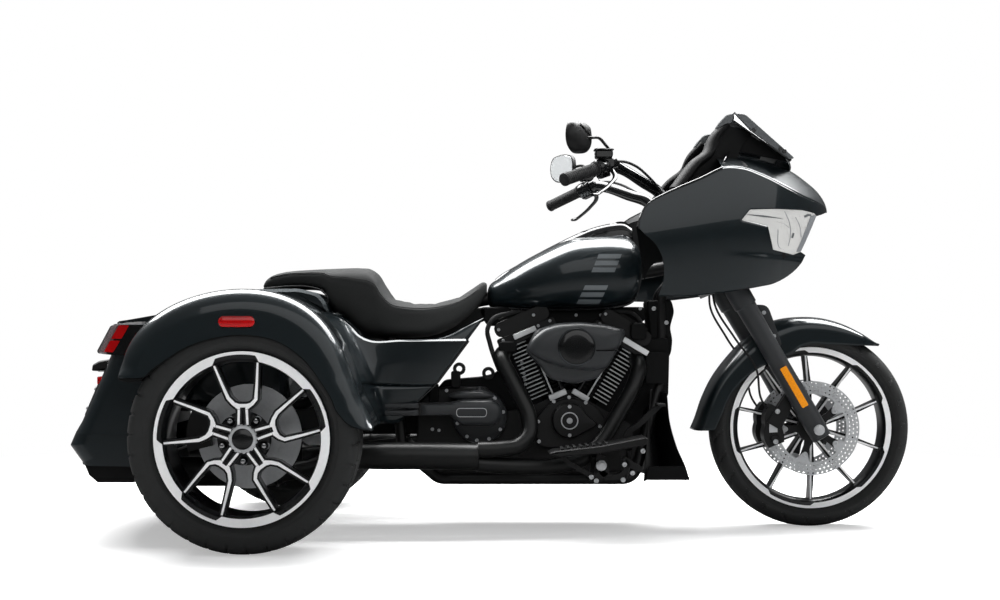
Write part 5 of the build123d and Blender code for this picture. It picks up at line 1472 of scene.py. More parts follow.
    def _top(self) -> Shape:
        """The bright strip over the top: an arch from crease to crease under the crown line.

        Returns:
            The open surface.
        """
        crest = curve(self.crease, 90)
        crown = curve(self.crown, 400)
        x = crest[:, 0]
        side = self.half_width(crest)
        peak = np.interp(x, crown[:, 0], crown[:, 1])
        t = np.linspace(-1.0, 1.0, 49)
        height = crest[:, 1:] + (peak - crest[:, 1])[:, None] * (1.0 - np.abs(t) ** 2.3)
        return lattice(grid(x[:, None], side[:, None] * t, height))

    def _front_edge(self, count: int) -> Array:
        """The lamp's front edge in side view, from top to foot."""
        return line_of([(0.994, 0.988), (0.932, 0.871)], count)

    def _bridge(self) -> Shape:
        """The painted nose between the lamps, and the sheet that closes the lip's front.

        Returns:
            The nose and the lip's two surfaces as one shape.
        """
        edge = self._front_edge(12)
        y = np.linspace(-self.NOSE, self.NOSE, 9)
        front = grid(edge[:, :1] + 0.006, y, edge[:, 1:])
        lip = line_of([(0.932, 0.871), (0.951, 0.8625)], 4)
        t = np.linspace(-1.0, 1.0, 25)
        foot = curve(self.foot[8:], 40)[25:]
        sheets = [grid(line[:, :1], self.half_width(line)[:, None] * t, line[:, 1:]) for line in (lip, foot)]
        return joined([lattice(sheet) for sheet in (front, *sheets)])

    def _lamps(self) -> None:
        """Clear lenses over bright bowls, with grey end caps and flutes just on the lens."""
        top, foot = line_of(self.lamp_top, 60), line_of(self.lamp_foot, 60)
        edge = self._front_edge(14)
        share = np.linspace(0.0, 1.0, 13)
        lens = [self._panel(top, foot, 16, 0.001), self._lamp_front(edge, share, 0.0)]
        piece("headlamp_lenses", joined(lens).both(), LENS_CLEAR, ["headlights"])
        bowl = [self._panel(top, foot, 12, self.BOWL), self._lamp_front(edge, share, self.BOWL)]
        piece("headlamp_bowls", joined(bowl).both(), LAMP_SILVER)
        divider = line_of([(0.742, 0.9745), (0.8, 0.971), (0.838, 0.9685), (0.862, 0.966)], 24)
        share_along = np.linspace(0.0, 1.0, 24)
        blade = np.interp(share_along, (0.0, 0.45, 1.0), (0.0008, 0.0026, 0.0006))[:, None] * (0.0, 1.0)
        slot = line_of([(0.94, 0.982), (0.955, 0.9885), (0.969, 0.989)], 8)
        socket = line_of([(0.893, 0.912), (0.898, 0.927)], 4)
        bars = [
            self._panel(divider + blade, divider - blade, 3),
            self._panel(slot, slot + (0.003, -0.0065), 3),
            self._panel(socket, socket + (0.007, -0.002), 3),
        ]
        piece("headlamp_bezels", joined(bars).both(), VISOR_GREY)
        back = line_of([(0.968, 0.984), (0.914, 0.87)], 14)
        flutes = (
            [(0.866, 0.99), (0.884, 0.955), (0.889, 0.92), (0.882, 0.886)],
            [(0.843, 0.934), (0.849, 0.882), (0.9, 0.871)],
            [(0.838, 0.957), (0.868, 0.95), (0.884, 0.94)],
            [(0.906, 0.975), (0.922, 0.95), (0.93, 0.915)],
        )
        paths = [curve([(*point, 0.0) for point in line], 24)[:, :2] for line in flutes]
        seams = [self._panel(path, path + (0.0028, 0.0), 3, self.ON_LENS) for path in paths]
        shades = joined([self._panel(back, edge, 6, self.ON_LENS), *seams])
        piece("headlamp_shades", shades.both(), LAMP_SHADE)

    def _lamp_front(self, edge: Array, share: Array, inset: float) -> Shape:
        """The lamp's forward face, from the side's front edge to the bridge.

        Args:
            edge: The (x, z) points of the side's front edge.
            share: How far towards the nose each column lies, from 0 to 1.
            inset: How far the face lies behind the fairing's skin.

        Returns:
            The face of the right lamp.
        """
        side = self.half_width(edge)[:, None]
        y = -(side - inset + (self.NOSE - side + inset) * share)
        x = edge[:, :1] - inset + 0.006 * share
        return lattice(grid(x, y, edge[:, 1:]))

    def _cockpit(self) -> None:
        """The dark inner walls, the dash with its hood and the rim's bead."""
        rim = curve(self.rim, 70)
        inner = rim - np.column_stack([np.zeros(70), np.linspace(0.0, 0.055, 70)])
        outer_skin, inner_skin = self._skin(rim, 0.004), self._skin(inner, 0.055)
        wall = lattice(np.stack([outer_skin, inner_skin], 0))
        deep = lattice(np.stack([inner_skin, inner_skin + (0.03, 0.05, -0.16)], 0))
        across = np.linspace(-1.0, 1.0, 41)
        face = curve(
            [
                (0.722, 1.186), (0.7, 1.176), (0.676, 1.15), (0.668, 1.11), (0.662, 1.04), (0.64, 0.96),
                (0.61, 0.9),
            ],
            40,
        )
        width = self.half_width(np.column_stack([face[:, 0], np.minimum(face[:, 1], 1.11)])) - 0.02
        height = face[:, 1:] - 0.062 * np.abs(across) ** 2.4
        dash = grid(face[:, :1] + 0.03 * across**2, width[:, None] * across, height)
        walls = joined([joined([wall, deep]).both(), lattice(dash)])
        piece("cockpit_walls", walls, MOULDED_BLACK, ["inner_fairing"])
        bead = swept(self._skin(rim, 0.001) + (0.0, 0.0, 0.001), 0.0028, 8)
        front = curve([(0.671, 1.1155), (0.69, 1.15), (0.718, 1.187)], 14)
        post = np.column_stack([front[:, 0], -0.3 + 0.1 * np.linspace(0.0, 1.0, 14) ** 2, front[:, 1]])
        piece("cockpit_beads", joined([bead, swept(post, 0.0035, 8)]).both(), GLOSS_BLACK)
        ring = turned([(0.05, -0.012), (0.058, -0.012), (0.06, 0.0), (0.05, 0.004)], 40, closed=True)
        glass = turned([(0.0, -0.006), (0.05, -0.006), (0.05, 0.002), (0.0, 0.002)], 40)
        turn = facing((1.0, 0.0, -0.25))
        for name, shape, finish in (("rings", ring, CHROME), ("faces", glass, GLOSS_BLACK)):
            gauges = [shape.placed(turn, (0.64, y, 1.105)) for y in (-0.105, 0.105)]
            piece(f"gauge_{name}", joined(gauges), finish)

    def _screen(self) -> None:
        """The short tinted screen, curved round the nose, its inner side panels and the visor behind."""
        t = np.linspace(-1.0, 1.0, 49)
        rise = np.linspace(0.0, 1.0, 30)[:, None]
        foot, top = np.array([0.938, 1.137]), np.array([0.757, 1.323])
        back = 0.052 * np.abs(t) ** 1.9
        width = 0.246 - 0.03 * rise
        x = foot[0] + (top[0] - foot[0]) * rise - back * (1.0 - 0.45 * rise) - 0.012 * np.sin(rise * math.pi)
        z = (
            foot[1] + (top[1] - foot[1]) * rise + 0.01 * np.sin(rise * math.pi)
            - 0.05 * np.abs(t) ** 4 * rise + 0.022 * t**2 * (1 - rise)
        )
        glass = np.stack([x, width * t, z], -1)
        thicken(piece("screen_pane", lattice(glass), SCREEN_TINT, ["windshield"]), 0.004)
        corners = [(0.724, 1.296), (0.76, 1.293), (0.912, 1.158), (0.895, 1.155), (0.8, 1.225)]
        side = tablet(corners, 0.008, -0.236, -0.23, 0.001)
        hood = [
            (0.719, 1.27), (0.724, 1.296), (0.7, 1.29), (0.68, 1.268), (0.668, 1.25), (0.68, 1.248),
            (0.703, 1.262),
        ]
        panels = joined([side, tablet(hood, 0.006, -0.24, -0.21, 0.002)])
        piece("screen_side_panels", panels.both(), VISOR_GREY)
        shadow = [(0.724, 1.262), (0.716, 1.19), (0.87, 1.158), (0.905, 1.15), (0.912, 1.16), (0.8, 1.222)]
        arm = curve(
            [
                (0.702, -0.22, 1.262), (0.664, -0.235, 1.22), (0.642, -0.25, 1.17), (0.6, -0.27, 1.135),
                (0.56, -0.29, 1.085), (0.536, -0.3, 1.052),
            ],
            30,
        )
        pods = swept(arm, np.linspace(0.022, 0.03, 30), 18, 0.6)
        inner = tablet(shadow, 0.006, -0.2, -0.19, 0.001)
        sweep = np.stack([arm, arm * (1.0, 0.9, 1.0) + (0.09, 0.0, -0.02)])
        piece("screen_supports", joined([pods, inner, lattice(sweep)]).both(), MOULDED_BLACK)
        fixings = [(0.785, -0.2365, 1.243), (0.868, -0.2365, 1.187), (0.88, -0.2365, 1.179)]
        piece("screen_fixings", bolts(fixings, RIGHT, 0.0065, 0.003).both(), GLOSS_BLACK)


# ---- Tank, seat and side covers ----


def oval(t: Array, power: float) -> tuple[Array, Array]:
    """A superellipse: cosine and sine, each raised to two over the power with its sign kept."""
    c, s = np.cos(t), np.sin(t)
    return np.sign(c) * np.abs(c) ** (2.0 / power), np.sign(s) * np.abs(s) ** (2.0 / power)


def table(points: Sequence[Sequence[float]], x: Array) -> Array:
    """Heights, or widths, at x from a smooth line through (x, value) points in rising x."""
    dense = curve(points, 600)
    return np.interp(x, dense[:, 0], dense[:, 1])


@dataclass
class Lofted:
    """A body whose sections' heights and half width follow three side-view lines."""

    top: Line
    foot: Line
    width: Line
    power: float

    def limits(self, x: Array) -> tuple[Array, Array, Array]:
        """The foot, the top and the half width at x."""
        return table(self.foot, x), table(self.top, x), table(self.width, x)

    def skin(self, x: Array, steps: int, slack: float = 1.0, dish: float = 0.0) -> Array:
        """Superellipse sections at x.

        Args:
            x: Where the sections stand.
            steps: Points round each.
            slack: Share of the full size.
            dish: How far the top sinks where a rider sits.

        Returns:
            Rows of points, one a section.
        """
        low, high, wide = self.limits(x)
        side, lift = oval(full_turn(steps), self.power)
        middle, half = (low + high)[:, None] / 2, (high - low)[:, None] / 2
        hollow = dish * np.exp(-(((x + 0.23) / 0.1) ** 2))[:, None] * (1.0 - side**2) * (lift > 0.3)
        return grid(x[:, None], slack * wide[:, None] * side, middle + slack * half * lift - hollow)


@dataclass
class Tank(Lofted):
    """The fuel tank: a teardrop of superellipse sections with a console, a cap and six printed bars."""

    top: Line = (
        (-0.034, 0.735), (-0.024, 0.775), (0.006, 0.799), (0.067, 0.842), (0.147, 0.886), (0.243, 0.925),
        (0.31, 0.933), (0.368, 0.934), (0.424, 0.925), (0.445, 0.908), (0.456, 0.88), (0.46, 0.85),
    )
    foot: Line = (
        (-0.034, 0.725), (-0.022, 0.706), (0.026, 0.696), (0.105, 0.691), (0.19, 0.69), (0.263, 0.691),
        (0.33, 0.694), (0.375, 0.699), (0.422, 0.712), (0.445, 0.733), (0.456, 0.765), (0.46, 0.8),
    )
    width: Line = (
        (-0.034, 0.012), (-0.02, 0.045), (0.01, 0.078), (0.067, 0.122), (0.147, 0.158), (0.243, 0.178),
        (0.33, 0.183), (0.4, 0.176), (0.435, 0.16), (0.452, 0.138), (0.46, 0.108),
    )
    power: float = 2.5
    console: Line = (
        (-0.006, 0.795), (0.007, 0.806), (0.06, 0.838), (0.151, 0.889), (0.21, 0.919), (0.266, 0.945),
        (0.294, 0.957), (0.323, 0.966), (0.373, 0.976), (0.41, 0.976), (0.432, 0.962),
    )

    def build(self) -> None:
        """Make the tank, its seam, the console with its cap, and the bars."""
        x = curve([(v, 0.0) for v, _ in self.width], 90)[:, 0]
        shell = lattice(self.skin(x, 72), around=True, capped=True)
        piece("fuel_tank_shell", shell, PAINT, ["fuel_tank"])
        self._seam(x)
        self._bars()
        self._console()

    def side_at(self, x: Array, z: Array) -> Array:
        """How far the right flank stands out at side-view places.

        Args:
            x: The places along the tank.
            z: Their heights.

        Returns:
            The distance from the middle plane at each place.
        """
        low, high, wide = self.limits(x)
        share = np.clip(np.abs((z - (low + high) / 2) / ((high - low) / 2)), 0.0, 1.0)
        return wide * (1.0 - share**self.power) ** (1.0 / self.power)

    def _seam(self, x: Array) -> None:
        """The welded flange along the tank's lower edge.

        Args:
            x: The tank's stations along x.
        """
        inner = x[(x > 0.0) & (x < 0.44)]
        z = table(self.foot, inner) + 0.012
        line = np.column_stack([inner, -self.side_at(inner, z) + 0.004, z - 0.006])
        piece("fuel_tank_flange", swept(line, 0.0045, 8).both(), GLOSS_BLACK)

    def _bars(self) -> None:
        """Six light-grey bars with slanted ends, in two stacks of three, printed on both flanks."""
        made = []
        for start, top in ((0.315, 0.868), (0.272, 0.77)):
            for step in range(3):
                t = np.linspace(0.0, 1.0, 5)[:, None]
                u = np.linspace(0.0, 1.0, 16)[None, :]
                x = start - step * 0.009 - 0.0058 * t + 0.072 * u
                z = top - step * 0.0215 - 0.0145 * t
                made.append(lattice(grid(x, -self.side_at(x, z) - 0.0009, z)))
        piece("tank_bars", joined(made).both(), BAR_GREY)

    def _console(self) -> None:
        """The console down the tank's spine, chrome-edged, with its cap housing in front."""
        x = curve([(v, 0.0) for v, _ in self.console], 70)[:, 0]
        high = table(self.console, x)
        t = np.linspace(-1.0, 1.0, 33)
        wide = (
            0.02 + 0.03 * np.clip((x + 0.006) / 0.12, 0.0, 1.0) ** 0.7
            + 0.006 * np.clip((x - 0.2) / 0.1, 0.0, 1.0)
        )
        fall = 0.06 * np.abs(t) ** 3.2
        shell = grid(x[:, None], wide[:, None] * np.sin(t * TAU / 4), high[:, None] - fall)
        left, right = shell[:, :12], shell[:, 21:]
        back = lattice(shell[x < 0.264])
        fore = lattice(shell[x > 0.38])
        sides = [lattice(part[(x >= 0.258) & (x <= 0.386)]) for part in (left, right)]
        nose = np.stack([shell[-1], shell[-1] + (0.012, 0.0, -0.075)], 0)
        made = joined([back, fore, *sides, lattice(nose)])
        piece("tank_console_shell", made, GLOSS_BLACK, ["tank_console"])
        edge = np.column_stack([x, -(wide + 0.001), high - 0.046])
        piece("tank_console_trim", swept(edge, 0.003, 8).both(), CHROME)
        cap = turned([(0.0, 0.01), (0.026, 0.009), (0.032, 0.004), (0.033, -0.012), (0.0, -0.012)], 40)
        turn = facing((-0.28, 0.0, 0.96))
        piece("fuel_cap", cap.placed(turn, (0.315, 0.0, 0.944)), GLOSS_BLACK)
        rim = [(0.384, 0.9785), (0.398, 0.98), (0.414, 0.977), (0.428, 0.964)]
        strip = curve([(a, -0.034, b) for a, b in rim], 16)
        piece("console_front_trim", lattice(np.stack([strip, strip * (1.0, -1.0, 1.0)], 0)), CHROME)


@dataclass
class Seat(Lofted):
    """The stepped two-up seat: stitched covers stretched on foam by a short cloth simulation."""

    top: Line = (
        (-0.744, 0.768), (-0.738, 0.784), (-0.714, 0.806), (-0.687, 0.814), (-0.593, 0.822), (-0.5, 0.827),
        (-0.43, 0.831), (-0.405, 0.829), (-0.388, 0.819), (-0.362, 0.774), (-0.33, 0.737), (-0.277, 0.724),
        (-0.225, 0.721), (-0.173, 0.726), (-0.121, 0.739), (-0.068, 0.77), (-0.044, 0.787), (-0.03, 0.783),
    )
    foot: Line = (
        (-0.744, 0.762), (-0.709, 0.757), (-0.636, 0.764), (-0.585, 0.761), (-0.545, 0.745),
        (-0.528, 0.705), (-0.511, 0.687), (-0.48, 0.67), (-0.448, 0.635), (-0.407, 0.61), (-0.376, 0.606),
        (-0.299, 0.604), (-0.222, 0.608), (-0.171, 0.622), (-0.12, 0.648), (-0.074, 0.686), (-0.048, 0.72),
        (-0.03, 0.752),
    )
    width: Line = (
        (-0.744, 0.088), (-0.73, 0.11), (-0.69, 0.13), (-0.6, 0.15), (-0.5, 0.16), (-0.43, 0.17),
        (-0.36, 0.182), (-0.29, 0.19), (-0.23, 0.188), (-0.16, 0.16), (-0.11, 0.125), (-0.068, 0.085),
        (-0.04, 0.05), (-0.03, 0.036),
    )

    power: float = 3.4

    FILL = 0.85  # how full of foam the cushion is
    SLACK = 0.985  # size of the cover before it is blown taut
    DISH = 0.01  # depth of the rider's hollow
    PUSH = 0.009  # most that the cover may move
    FRAMES = 16

    def build(self) -> None:
        """Make the cushion and the piping along its welts."""
        x = np.linspace(-0.742, -0.032, 120)
        cover = lattice(self.skin(x, 64, self.SLACK, self.DISH), around=True, capped=True)
        cushion = piece("seat_cushion", cover, SEAT_VINYL, ["seat"], 60.0)
        self._stretch(cushion)
        self._piping()

    def _stretch(self, cushion: bpy.types.Object) -> None:
        """Blow the cover taut over its foam in a cloth simulation and keep the result.

        A voxel remesh gives even faces. The welt lines are pinned, the air pressure pushes the panels
        between them out, and the movement is capped at 9 mm so that the outline holds.

        Args:
            cushion: The cushion's object, changed in place.
        """
        bpy.context.view_layer.objects.active = cushion
        remesh = cushion.modifiers.new("remesh", "REMESH")
        remesh.mode = "VOXEL"
        remesh.voxel_size = 0.006
        bpy.ops.object.modifier_apply(modifier=remesh.name)
        mesh = cushion.data
        start = np.empty(len(mesh.vertices) * 3)
        mesh.vertices.foreach_get("co", start)
        start = start.reshape(-1, 3)
        low, high = table(self.foot, start[:, 0]), table(self.top, start[:, 0])
        level = (start[:, 2] - low) / np.maximum(high - low, 0.01)
        seam = np.abs(level - 0.78) < 0.045
        cross = (np.abs(start[:, 0] + 0.392) < 0.005) | (np.abs(start[:, 0] + 0.43) < 0.004)
        held = np.flatnonzero(
            seam | (level < 0.1) | (cross & (level > 0.5)) | (start[:, 0] < -0.735) | (start[:, 0] > -0.04)
        )
        group = cushion.vertex_groups.new(name="held")
        group.add(held.tolist(), 1.0, "REPLACE")
        cloth = cushion.modifiers.new("cloth", "CLOTH")
        cloth.settings.effector_weights.gravity = 0.0
        settings = {
            "vertex_group_mass": group.name,
            "use_pressure": True,
            "uniform_pressure_force": 4.0,
            "tension_stiffness": 25.0,
            "compression_stiffness": 25.0,
            "bending_stiffness": 2.0,
            "quality": 6,
        }
        for key, value in settings.items():
            setattr(cloth.settings, key, value)
        cloth.point_cache.frame_end = self.FRAMES
        for frame_number in range(1, self.FRAMES + 1):
            bpy.context.scene.frame_set(frame_number)
        after = cushion.evaluated_get(bpy.context.evaluated_depsgraph_get()).to_mesh()
        end = np.empty(len(after.vertices) * 3)
        after.vertices.foreach_get("co", end)
        moved = end.reshape(-1, 3) - start
        reach = np.linalg.norm(moved, axis=1, keepdims=True)
        moved *= np.minimum(1.0, self.PUSH / np.maximum(reach, 1e-9))
        cushion.modifiers.remove(cloth)
        mesh.vertices.foreach_set("co", (start + moved).ravel())
        bpy.context.scene.frame_set(1)
        mesh.polygons.foreach_set("use_smooth", np.ones(len(mesh.polygons), bool))
        mesh.update()
        log.info("seat_cushion: moved %.1f mm at most", 1000.0 * float(reach.max()))

    def _piping(self) -> None:
        """The piping along the upper welt on both sides, and the pillion's lower edge trim."""
        x = np.linspace(-0.715, -0.06, 110)
        low, high, wide = self.limits(x)
        level = 0.8
        flat = (1.0 - np.abs(2.0 * level - 1.0) ** self.power) ** (1.0 / self.power)
        welt = np.column_stack([x, -wide * flat - 0.0005, low + level * (high - low)])
        arch = curve(
            [
                (-0.735, -0.118, 0.762), (-0.69, -0.146, 0.765), (-0.636, -0.156, 0.768),
                (-0.585, -0.163, 0.765), (-0.546, -0.168, 0.752), (-0.529, -0.17, 0.731),
                (-0.53, -0.168, 0.712),
            ],
            40,
        )
        piece("seat_piping", joined([swept(welt, 0.0016, 6), swept(arch, 0.0026, 8)]).both(), GRIP_RUBBER)


@dataclass
class SideCovers:
    """The painted covers under the seat, with a level shoulder, a swept front edge and a low crease."""

    def build(self) -> None:
        """Make each cover's shoulder, face and foot from side-view lines with their own distances."""
        upper = [
            (-0.526, 0.671, 0.42), (-0.503, 0.668, 0.31), (-0.48, 0.658, 0.262), (-0.454, 0.634, 0.241),
            (-0.426, 0.606, 0.23), (-0.402, 0.595, 0.224), (-0.3, 0.594, 0.212), (-0.18, 0.595, 0.205),
            (-0.093, 0.596, 0.198),
        ]
        middle = [
            (-0.472, 0.56, 0.42), (-0.45, 0.555, 0.31), (-0.428, 0.548, 0.26), (-0.408, 0.54, 0.239),
            (-0.39, 0.534, 0.229), (-0.37, 0.53, 0.223), (-0.3, 0.528, 0.211), (-0.21, 0.529, 0.204),
            (-0.142, 0.53, 0.196),
        ]
        crease = [
            (-0.428, 0.47, 0.42), (-0.41, 0.468, 0.305), (-0.392, 0.466, 0.252), (-0.378, 0.465, 0.23),
            (-0.36, 0.464, 0.217), (-0.34, 0.463, 0.211), (-0.3, 0.461, 0.206), (-0.24, 0.459, 0.2),
            (-0.195, 0.459, 0.192),
        ]
        foot = [
            (-0.382, 0.353, 0.42), (-0.368, 0.35, 0.295), (-0.358, 0.346, 0.24), (-0.35, 0.343, 0.215),
            (-0.338, 0.342, 0.203), (-0.318, 0.342, 0.195), (-0.3, 0.35, 0.191), (-0.276, 0.374, 0.187),
            (-0.251, 0.407, 0.184),
        ]
        edge = self._row(upper)
        run = np.gradient(edge, axis=0)
        lift = np.column_stack([-run[:, 2], np.zeros(len(run)), run[:, 0]])
        lift *= 0.0052 / np.linalg.norm(lift, axis=1, keepdims=True)
        seam = edge + lift + (0.0, 0.0068, 0.0)
        shelf = seam + 0.1 * lift + (0.0, 0.016, 0.0)
        rise = [(-0.526, 0.684, 0.4), (-0.5, 0.681, 0.29), (-0.474, 0.669, 0.245), (-0.446, 0.645, 0.222),
                (-0.418, 0.613, 0.205), (-0.396, 0.602, 0.18), (-0.3, 0.6, 0.165), (-0.16, 0.607, 0.16),
                (-0.115, 0.632, 0.162), (-0.044, 0.668, 0.165)]
        face = [self._row(line) for line in (upper, middle, crease)]
        low = [self._row(line) for line in ([(x, z - 0.002, y - 0.004) for x, z, y in crease], foot)]
        sheets = [
            self._sheet(rows)
            for rows in (face, low, [edge, seam], [seam, shelf], [shelf, self._row(rise)])
        ]
        thicken(piece("side_cover_skins", joined(sheets).both(), PAINT, ["side_covers"], 24.0), THIN_SHEET)
        front = np.array([(x, -y, z) for x, z, y in (upper[-1], middle[-1], crease[-1], foot[-1])])
        piece("side_cover_edges", swept(front, 0.004, 8).both(), GLOSS_BLACK)

    @staticmethod
    def _row(line: Sequence[Sequence[float]]) -> Array:
        """A smooth row on the right side through (x, z, distance) points."""
        knots = np.asarray(line)
        return curve(np.column_stack([knots[:, 0], -knots[:, 2], knots[:, 1]]), 48)

    @staticmethod
    def _sheet(rows: Sequence[Array]) -> Shape:
        """A surface through rows, straight between them.

        Args:
            rows: The rows of points, all of one length.

        Returns:
            The surface.
        """
        stack = np.stack(rows)
        t = np.linspace(0.0, len(rows) - 1.0, 8 * (len(rows) - 1) + 1)
        k = np.minimum(t.astype(int), len(rows) - 2)
        u = (t - k)[:, None, None]
        return lattice(stack[k] * (1.0 - u) + stack[k + 1] * u)


# ---- Engine, exhaust and foot controls ----


@dataclass
class Engine:
    """A black V-twin: finned cylinders with machined fin edges, rocker boxes, covers and pushrods."""

    FINS = 15

    crank: tuple[float, float] = (0.224, 0.345)
    leans: tuple[float, float] = (-23.0, 31.0)
    deck: float = 0.1
    head: float = 0.29
    cam_middle: tuple[float, float, float] = (0.224, 0.0, 0.349)
    cleaner_middle: tuple[float, float, float] = (0.241, 0.0, 0.579)

    def at(self, lean: float, across: float, up: float) -> tuple[float, float]:
        """The (x, z) place `up` a cylinder that leans forward, `across` to its front.

        Args:
            lean: The cylinder's lean in degrees.
            across: The distance forward of its axis.
            up: The distance along its axis.

        Returns:
            The place in the side view.
        """
        turn = math.radians(lean)
        return (
            self.crank[0] + up * math.sin(turn) + across * math.cos(turn),
            self.crank[1] + up * math.cos(turn) - across * math.sin(turn),
        )

    def box(
        self,
        lean: float,
        across: tuple[float, float],
        up: tuple[float, float],
        y: tuple[float, float],
        radius: float = 0.004,
    ) -> Shape:
        """A rounded block in a cylinder's own directions.

        Args:
            lean: The cylinder's lean in degrees.
            across: The block's two ends, forward of the axis.
            up: Its two ends along the axis.
            y: Its two faces' places along y.
            radius: The radius of its rounded edges.

        Returns:
            The block.
        """
        corners = [
            self.at(lean, a, u)
            for a, u in ((across[0], up[0]), (across[1], up[0]), (across[1], up[1]), (across[0], up[1]))
        ]
        return plate(rounded(corners, radius), y[0], y[1], 0.0015)

    def build(self) -> None:
        """Make the engine's pieces."""
        piece("engine_fins", self._fins(), WRINKLE_BLACK, ["cylinders"])
        piece("engine_fin_edges", self._fin_edges(), MACHINED_EDGE)
        piece("rocker_box_covers", self._rockers(), WRINKLE_BLACK, ["rocker_boxes"])
        rear, front = self.leans
        strips = [
            self.box(rear, (-0.056, 0.02), (0.301, 0.318), (-0.121, -0.106), 0.003),
            self.box(front, (0.016, 0.106), (0.302, 0.319), (-0.121, -0.106), 0.003),
        ]
        piece("rocker_box_strips", joined(strips).both(), BRIGHT_TRIM_AND_HIGHLIGHT)
        self._pushrods()
        self._cam_cover()
        self._air_cleaner()
        self._gearbox()
        self._fillers()
        self._fasteners()

    def fin_heights(self) -> Array:
        """How far up a cylinder each of its fins stands."""
        return np.linspace(self.deck + 0.006, self.head - 0.006, self.FINS)

    def _axes(self, lean: float) -> tuple[Array, Array, Array]:
        """A cylinder's foot, its way up and its way forward.

        Args:
            lean: The cylinder's lean in degrees.

        Returns:
            The foot's place and the two directions.
        """
        turn = math.radians(lean)
        foot = np.array([self.crank[0], 0.0, self.crank[1]])
        up, front = (math.sin(turn), 0.0, math.cos(turn)), (math.cos(turn), 0.0, -math.sin(turn))
        return foot, np.array(up), np.array(front)

    def _fins(self) -> Shape:
        """Two stacks of square-cornered fins on round barrels.

        Returns:
            The fins and barrels of both cylinders.
        """
        made = []
        outline = rounded([(-0.085, -0.09), (0.085, -0.09), (0.085, 0.09), (-0.085, 0.09)], 0.03, 5)
        fin = plate(outline, -0.0022, 0.0022, 0.0006)
        for lean in self.leans:
            foot, along, front = self._axes(lean)
            for up in self.fin_heights():
                p = fin.points
                placed = foot + (p[:, 1:2] + up) * along + p[:, :1] * front + p[:, 2:3] * np.array(LEFT)
                made.append(Shape(placed, fin.faces))
            made.append(
                swept(np.stack([foot + 0.085 * along, foot + self.head * along]), 0.068, 32, 1.0, LEFT)
            )
        return joined(made)

    def _fin_edges(self) -> Shape:
        """The bare machined band round each fin's outer corner and side.

        Returns:
            The bands of both cylinders.
        """
        made = []
        for lean, (start, end) in zip(self.leans, ((-0.08, -0.024), (0.03, 0.08))):
            foot, along, front = self._axes(lean)
            for up in self.fin_heights():
                line = (
                    np.linspace(start, end, 6)[:, None] * front + foot + up * along
                    + np.array([0.0, -0.09, 0.0])
                )
                made.append(swept(line, 0.0026, 8, 0.8))
        return joined(made).both()

    def _rockers(self) -> Shape:
        """Two-step rocker boxes over each head.

        Returns:
            The boxes of both cylinders.
        """
        made = []
        for lean, ends in zip(self.leans, ((-0.108, 0.086), (-0.088, 0.1))):
            back, front = ends
            blocks = (
                ((back, front), (0.288, 0.322), 0.108, 0.01),
                ((back + 0.006, front - 0.006), (0.3215, 0.372), 0.1, 0.026),
                ((back + 0.03, front - 0.03), (0.371, 0.382), 0.08, 0.004),
                ((back - 0.004, back + 0.05), (0.276, 0.296), 0.112, 0.008),
            )
            made += [self.box(lean, across, up, (-half, half), radius) for across, up, half, radius in blocks]
        return joined(made)

    def _pushrods(self) -> None:
        """Pushrod tubes on chrome lifter blocks, with a thin bright rod on the outer tube of each pair as a
        painted highlight.
        """
        tubes, bright = [], []
        for lean, places in zip(self.leans, ((-0.012, 0.022), (-0.022, 0.012))):
            for across in places:
                low, middle, high = (np.array(self.at(lean, across, u)) for u in (0.098, 0.19, 0.275))
                for start, end, radius in ((low, middle, 0.0085), (middle, high, 0.0065)):
                    line = np.array([(start[0], -0.1, start[1]), (end[0], -0.1, end[1])])
                    tubes.append(swept(line, radius, 18))
            middle = sum(places) / 2
            outer = min(places) if lean < 0.0 else max(places)
            (x0, z0), (x1, z1) = self.at(lean, outer, 0.098), self.at(lean, outer, 0.2)
            # A thin bright rod laid on the outer tube: a painted highlight along the pushrod, not a part of
            # it.
            bright.append(swept(np.array([(x0, -0.1095, z0), (x1, -0.1075, z1)]), 0.0028, 8))
            bright.append(
                self.box(lean, (middle - 0.033, middle + 0.025), (0.08, 0.098), (-0.126, -0.088), 0.003)
            )
        piece("pushrod_tube_set", joined(tubes), GLOSS_BLACK, ["pushrod_tubes"])
        piece("lifter_blocks_and_pushrod_highlights", joined(bright), BRIGHT_TRIM_AND_HIGHLIGHT)

    def _cam_cover(self) -> None:
        """The round cam cover with its pointed front lobe, and the plain ringed cap in its middle."""
        base = rounded(
            [
                (0.128, 0.262), (0.318, 0.262), (0.345, 0.345), (0.302, 0.402), (0.23, 0.424), (0.158, 0.4),
                (0.11, 0.345),
            ],
            0.03,
        )
        turn = full_turn(60)
        lobe = 0.056 + 0.034 * np.exp(-((((turn + 0.25 + math.pi) % TAU - math.pi) / 0.38) ** 2))
        disc = np.column_stack([0.224 + lobe * np.cos(turn), 0.349 + 0.056 * np.sin(turn)])
        dome = self._crowned(disc, ((0.0, -0.15), (0.001, -0.172), (0.005, -0.178), (0.03, -0.18)))
        made = [plate(base, -0.152, -0.11, 0.004), dome]
        piece("cam_cover_casting", joined(made), WRINKLE_BLACK, ["cam_cover"])
        ring = turned(
            [(0.0235, -0.1795), (0.027, -0.1795), (0.027, -0.1835), (0.0235, -0.1835)], 48, closed=True
        )
        stud = turned([(0.0, -0.1828), (0.008, -0.1826), (0.0095, -0.181)], 24)
        piece("cam_cover_ring", joined([ring, stud]).placed(at=self.cam_middle), BRUSHED_STEEL)

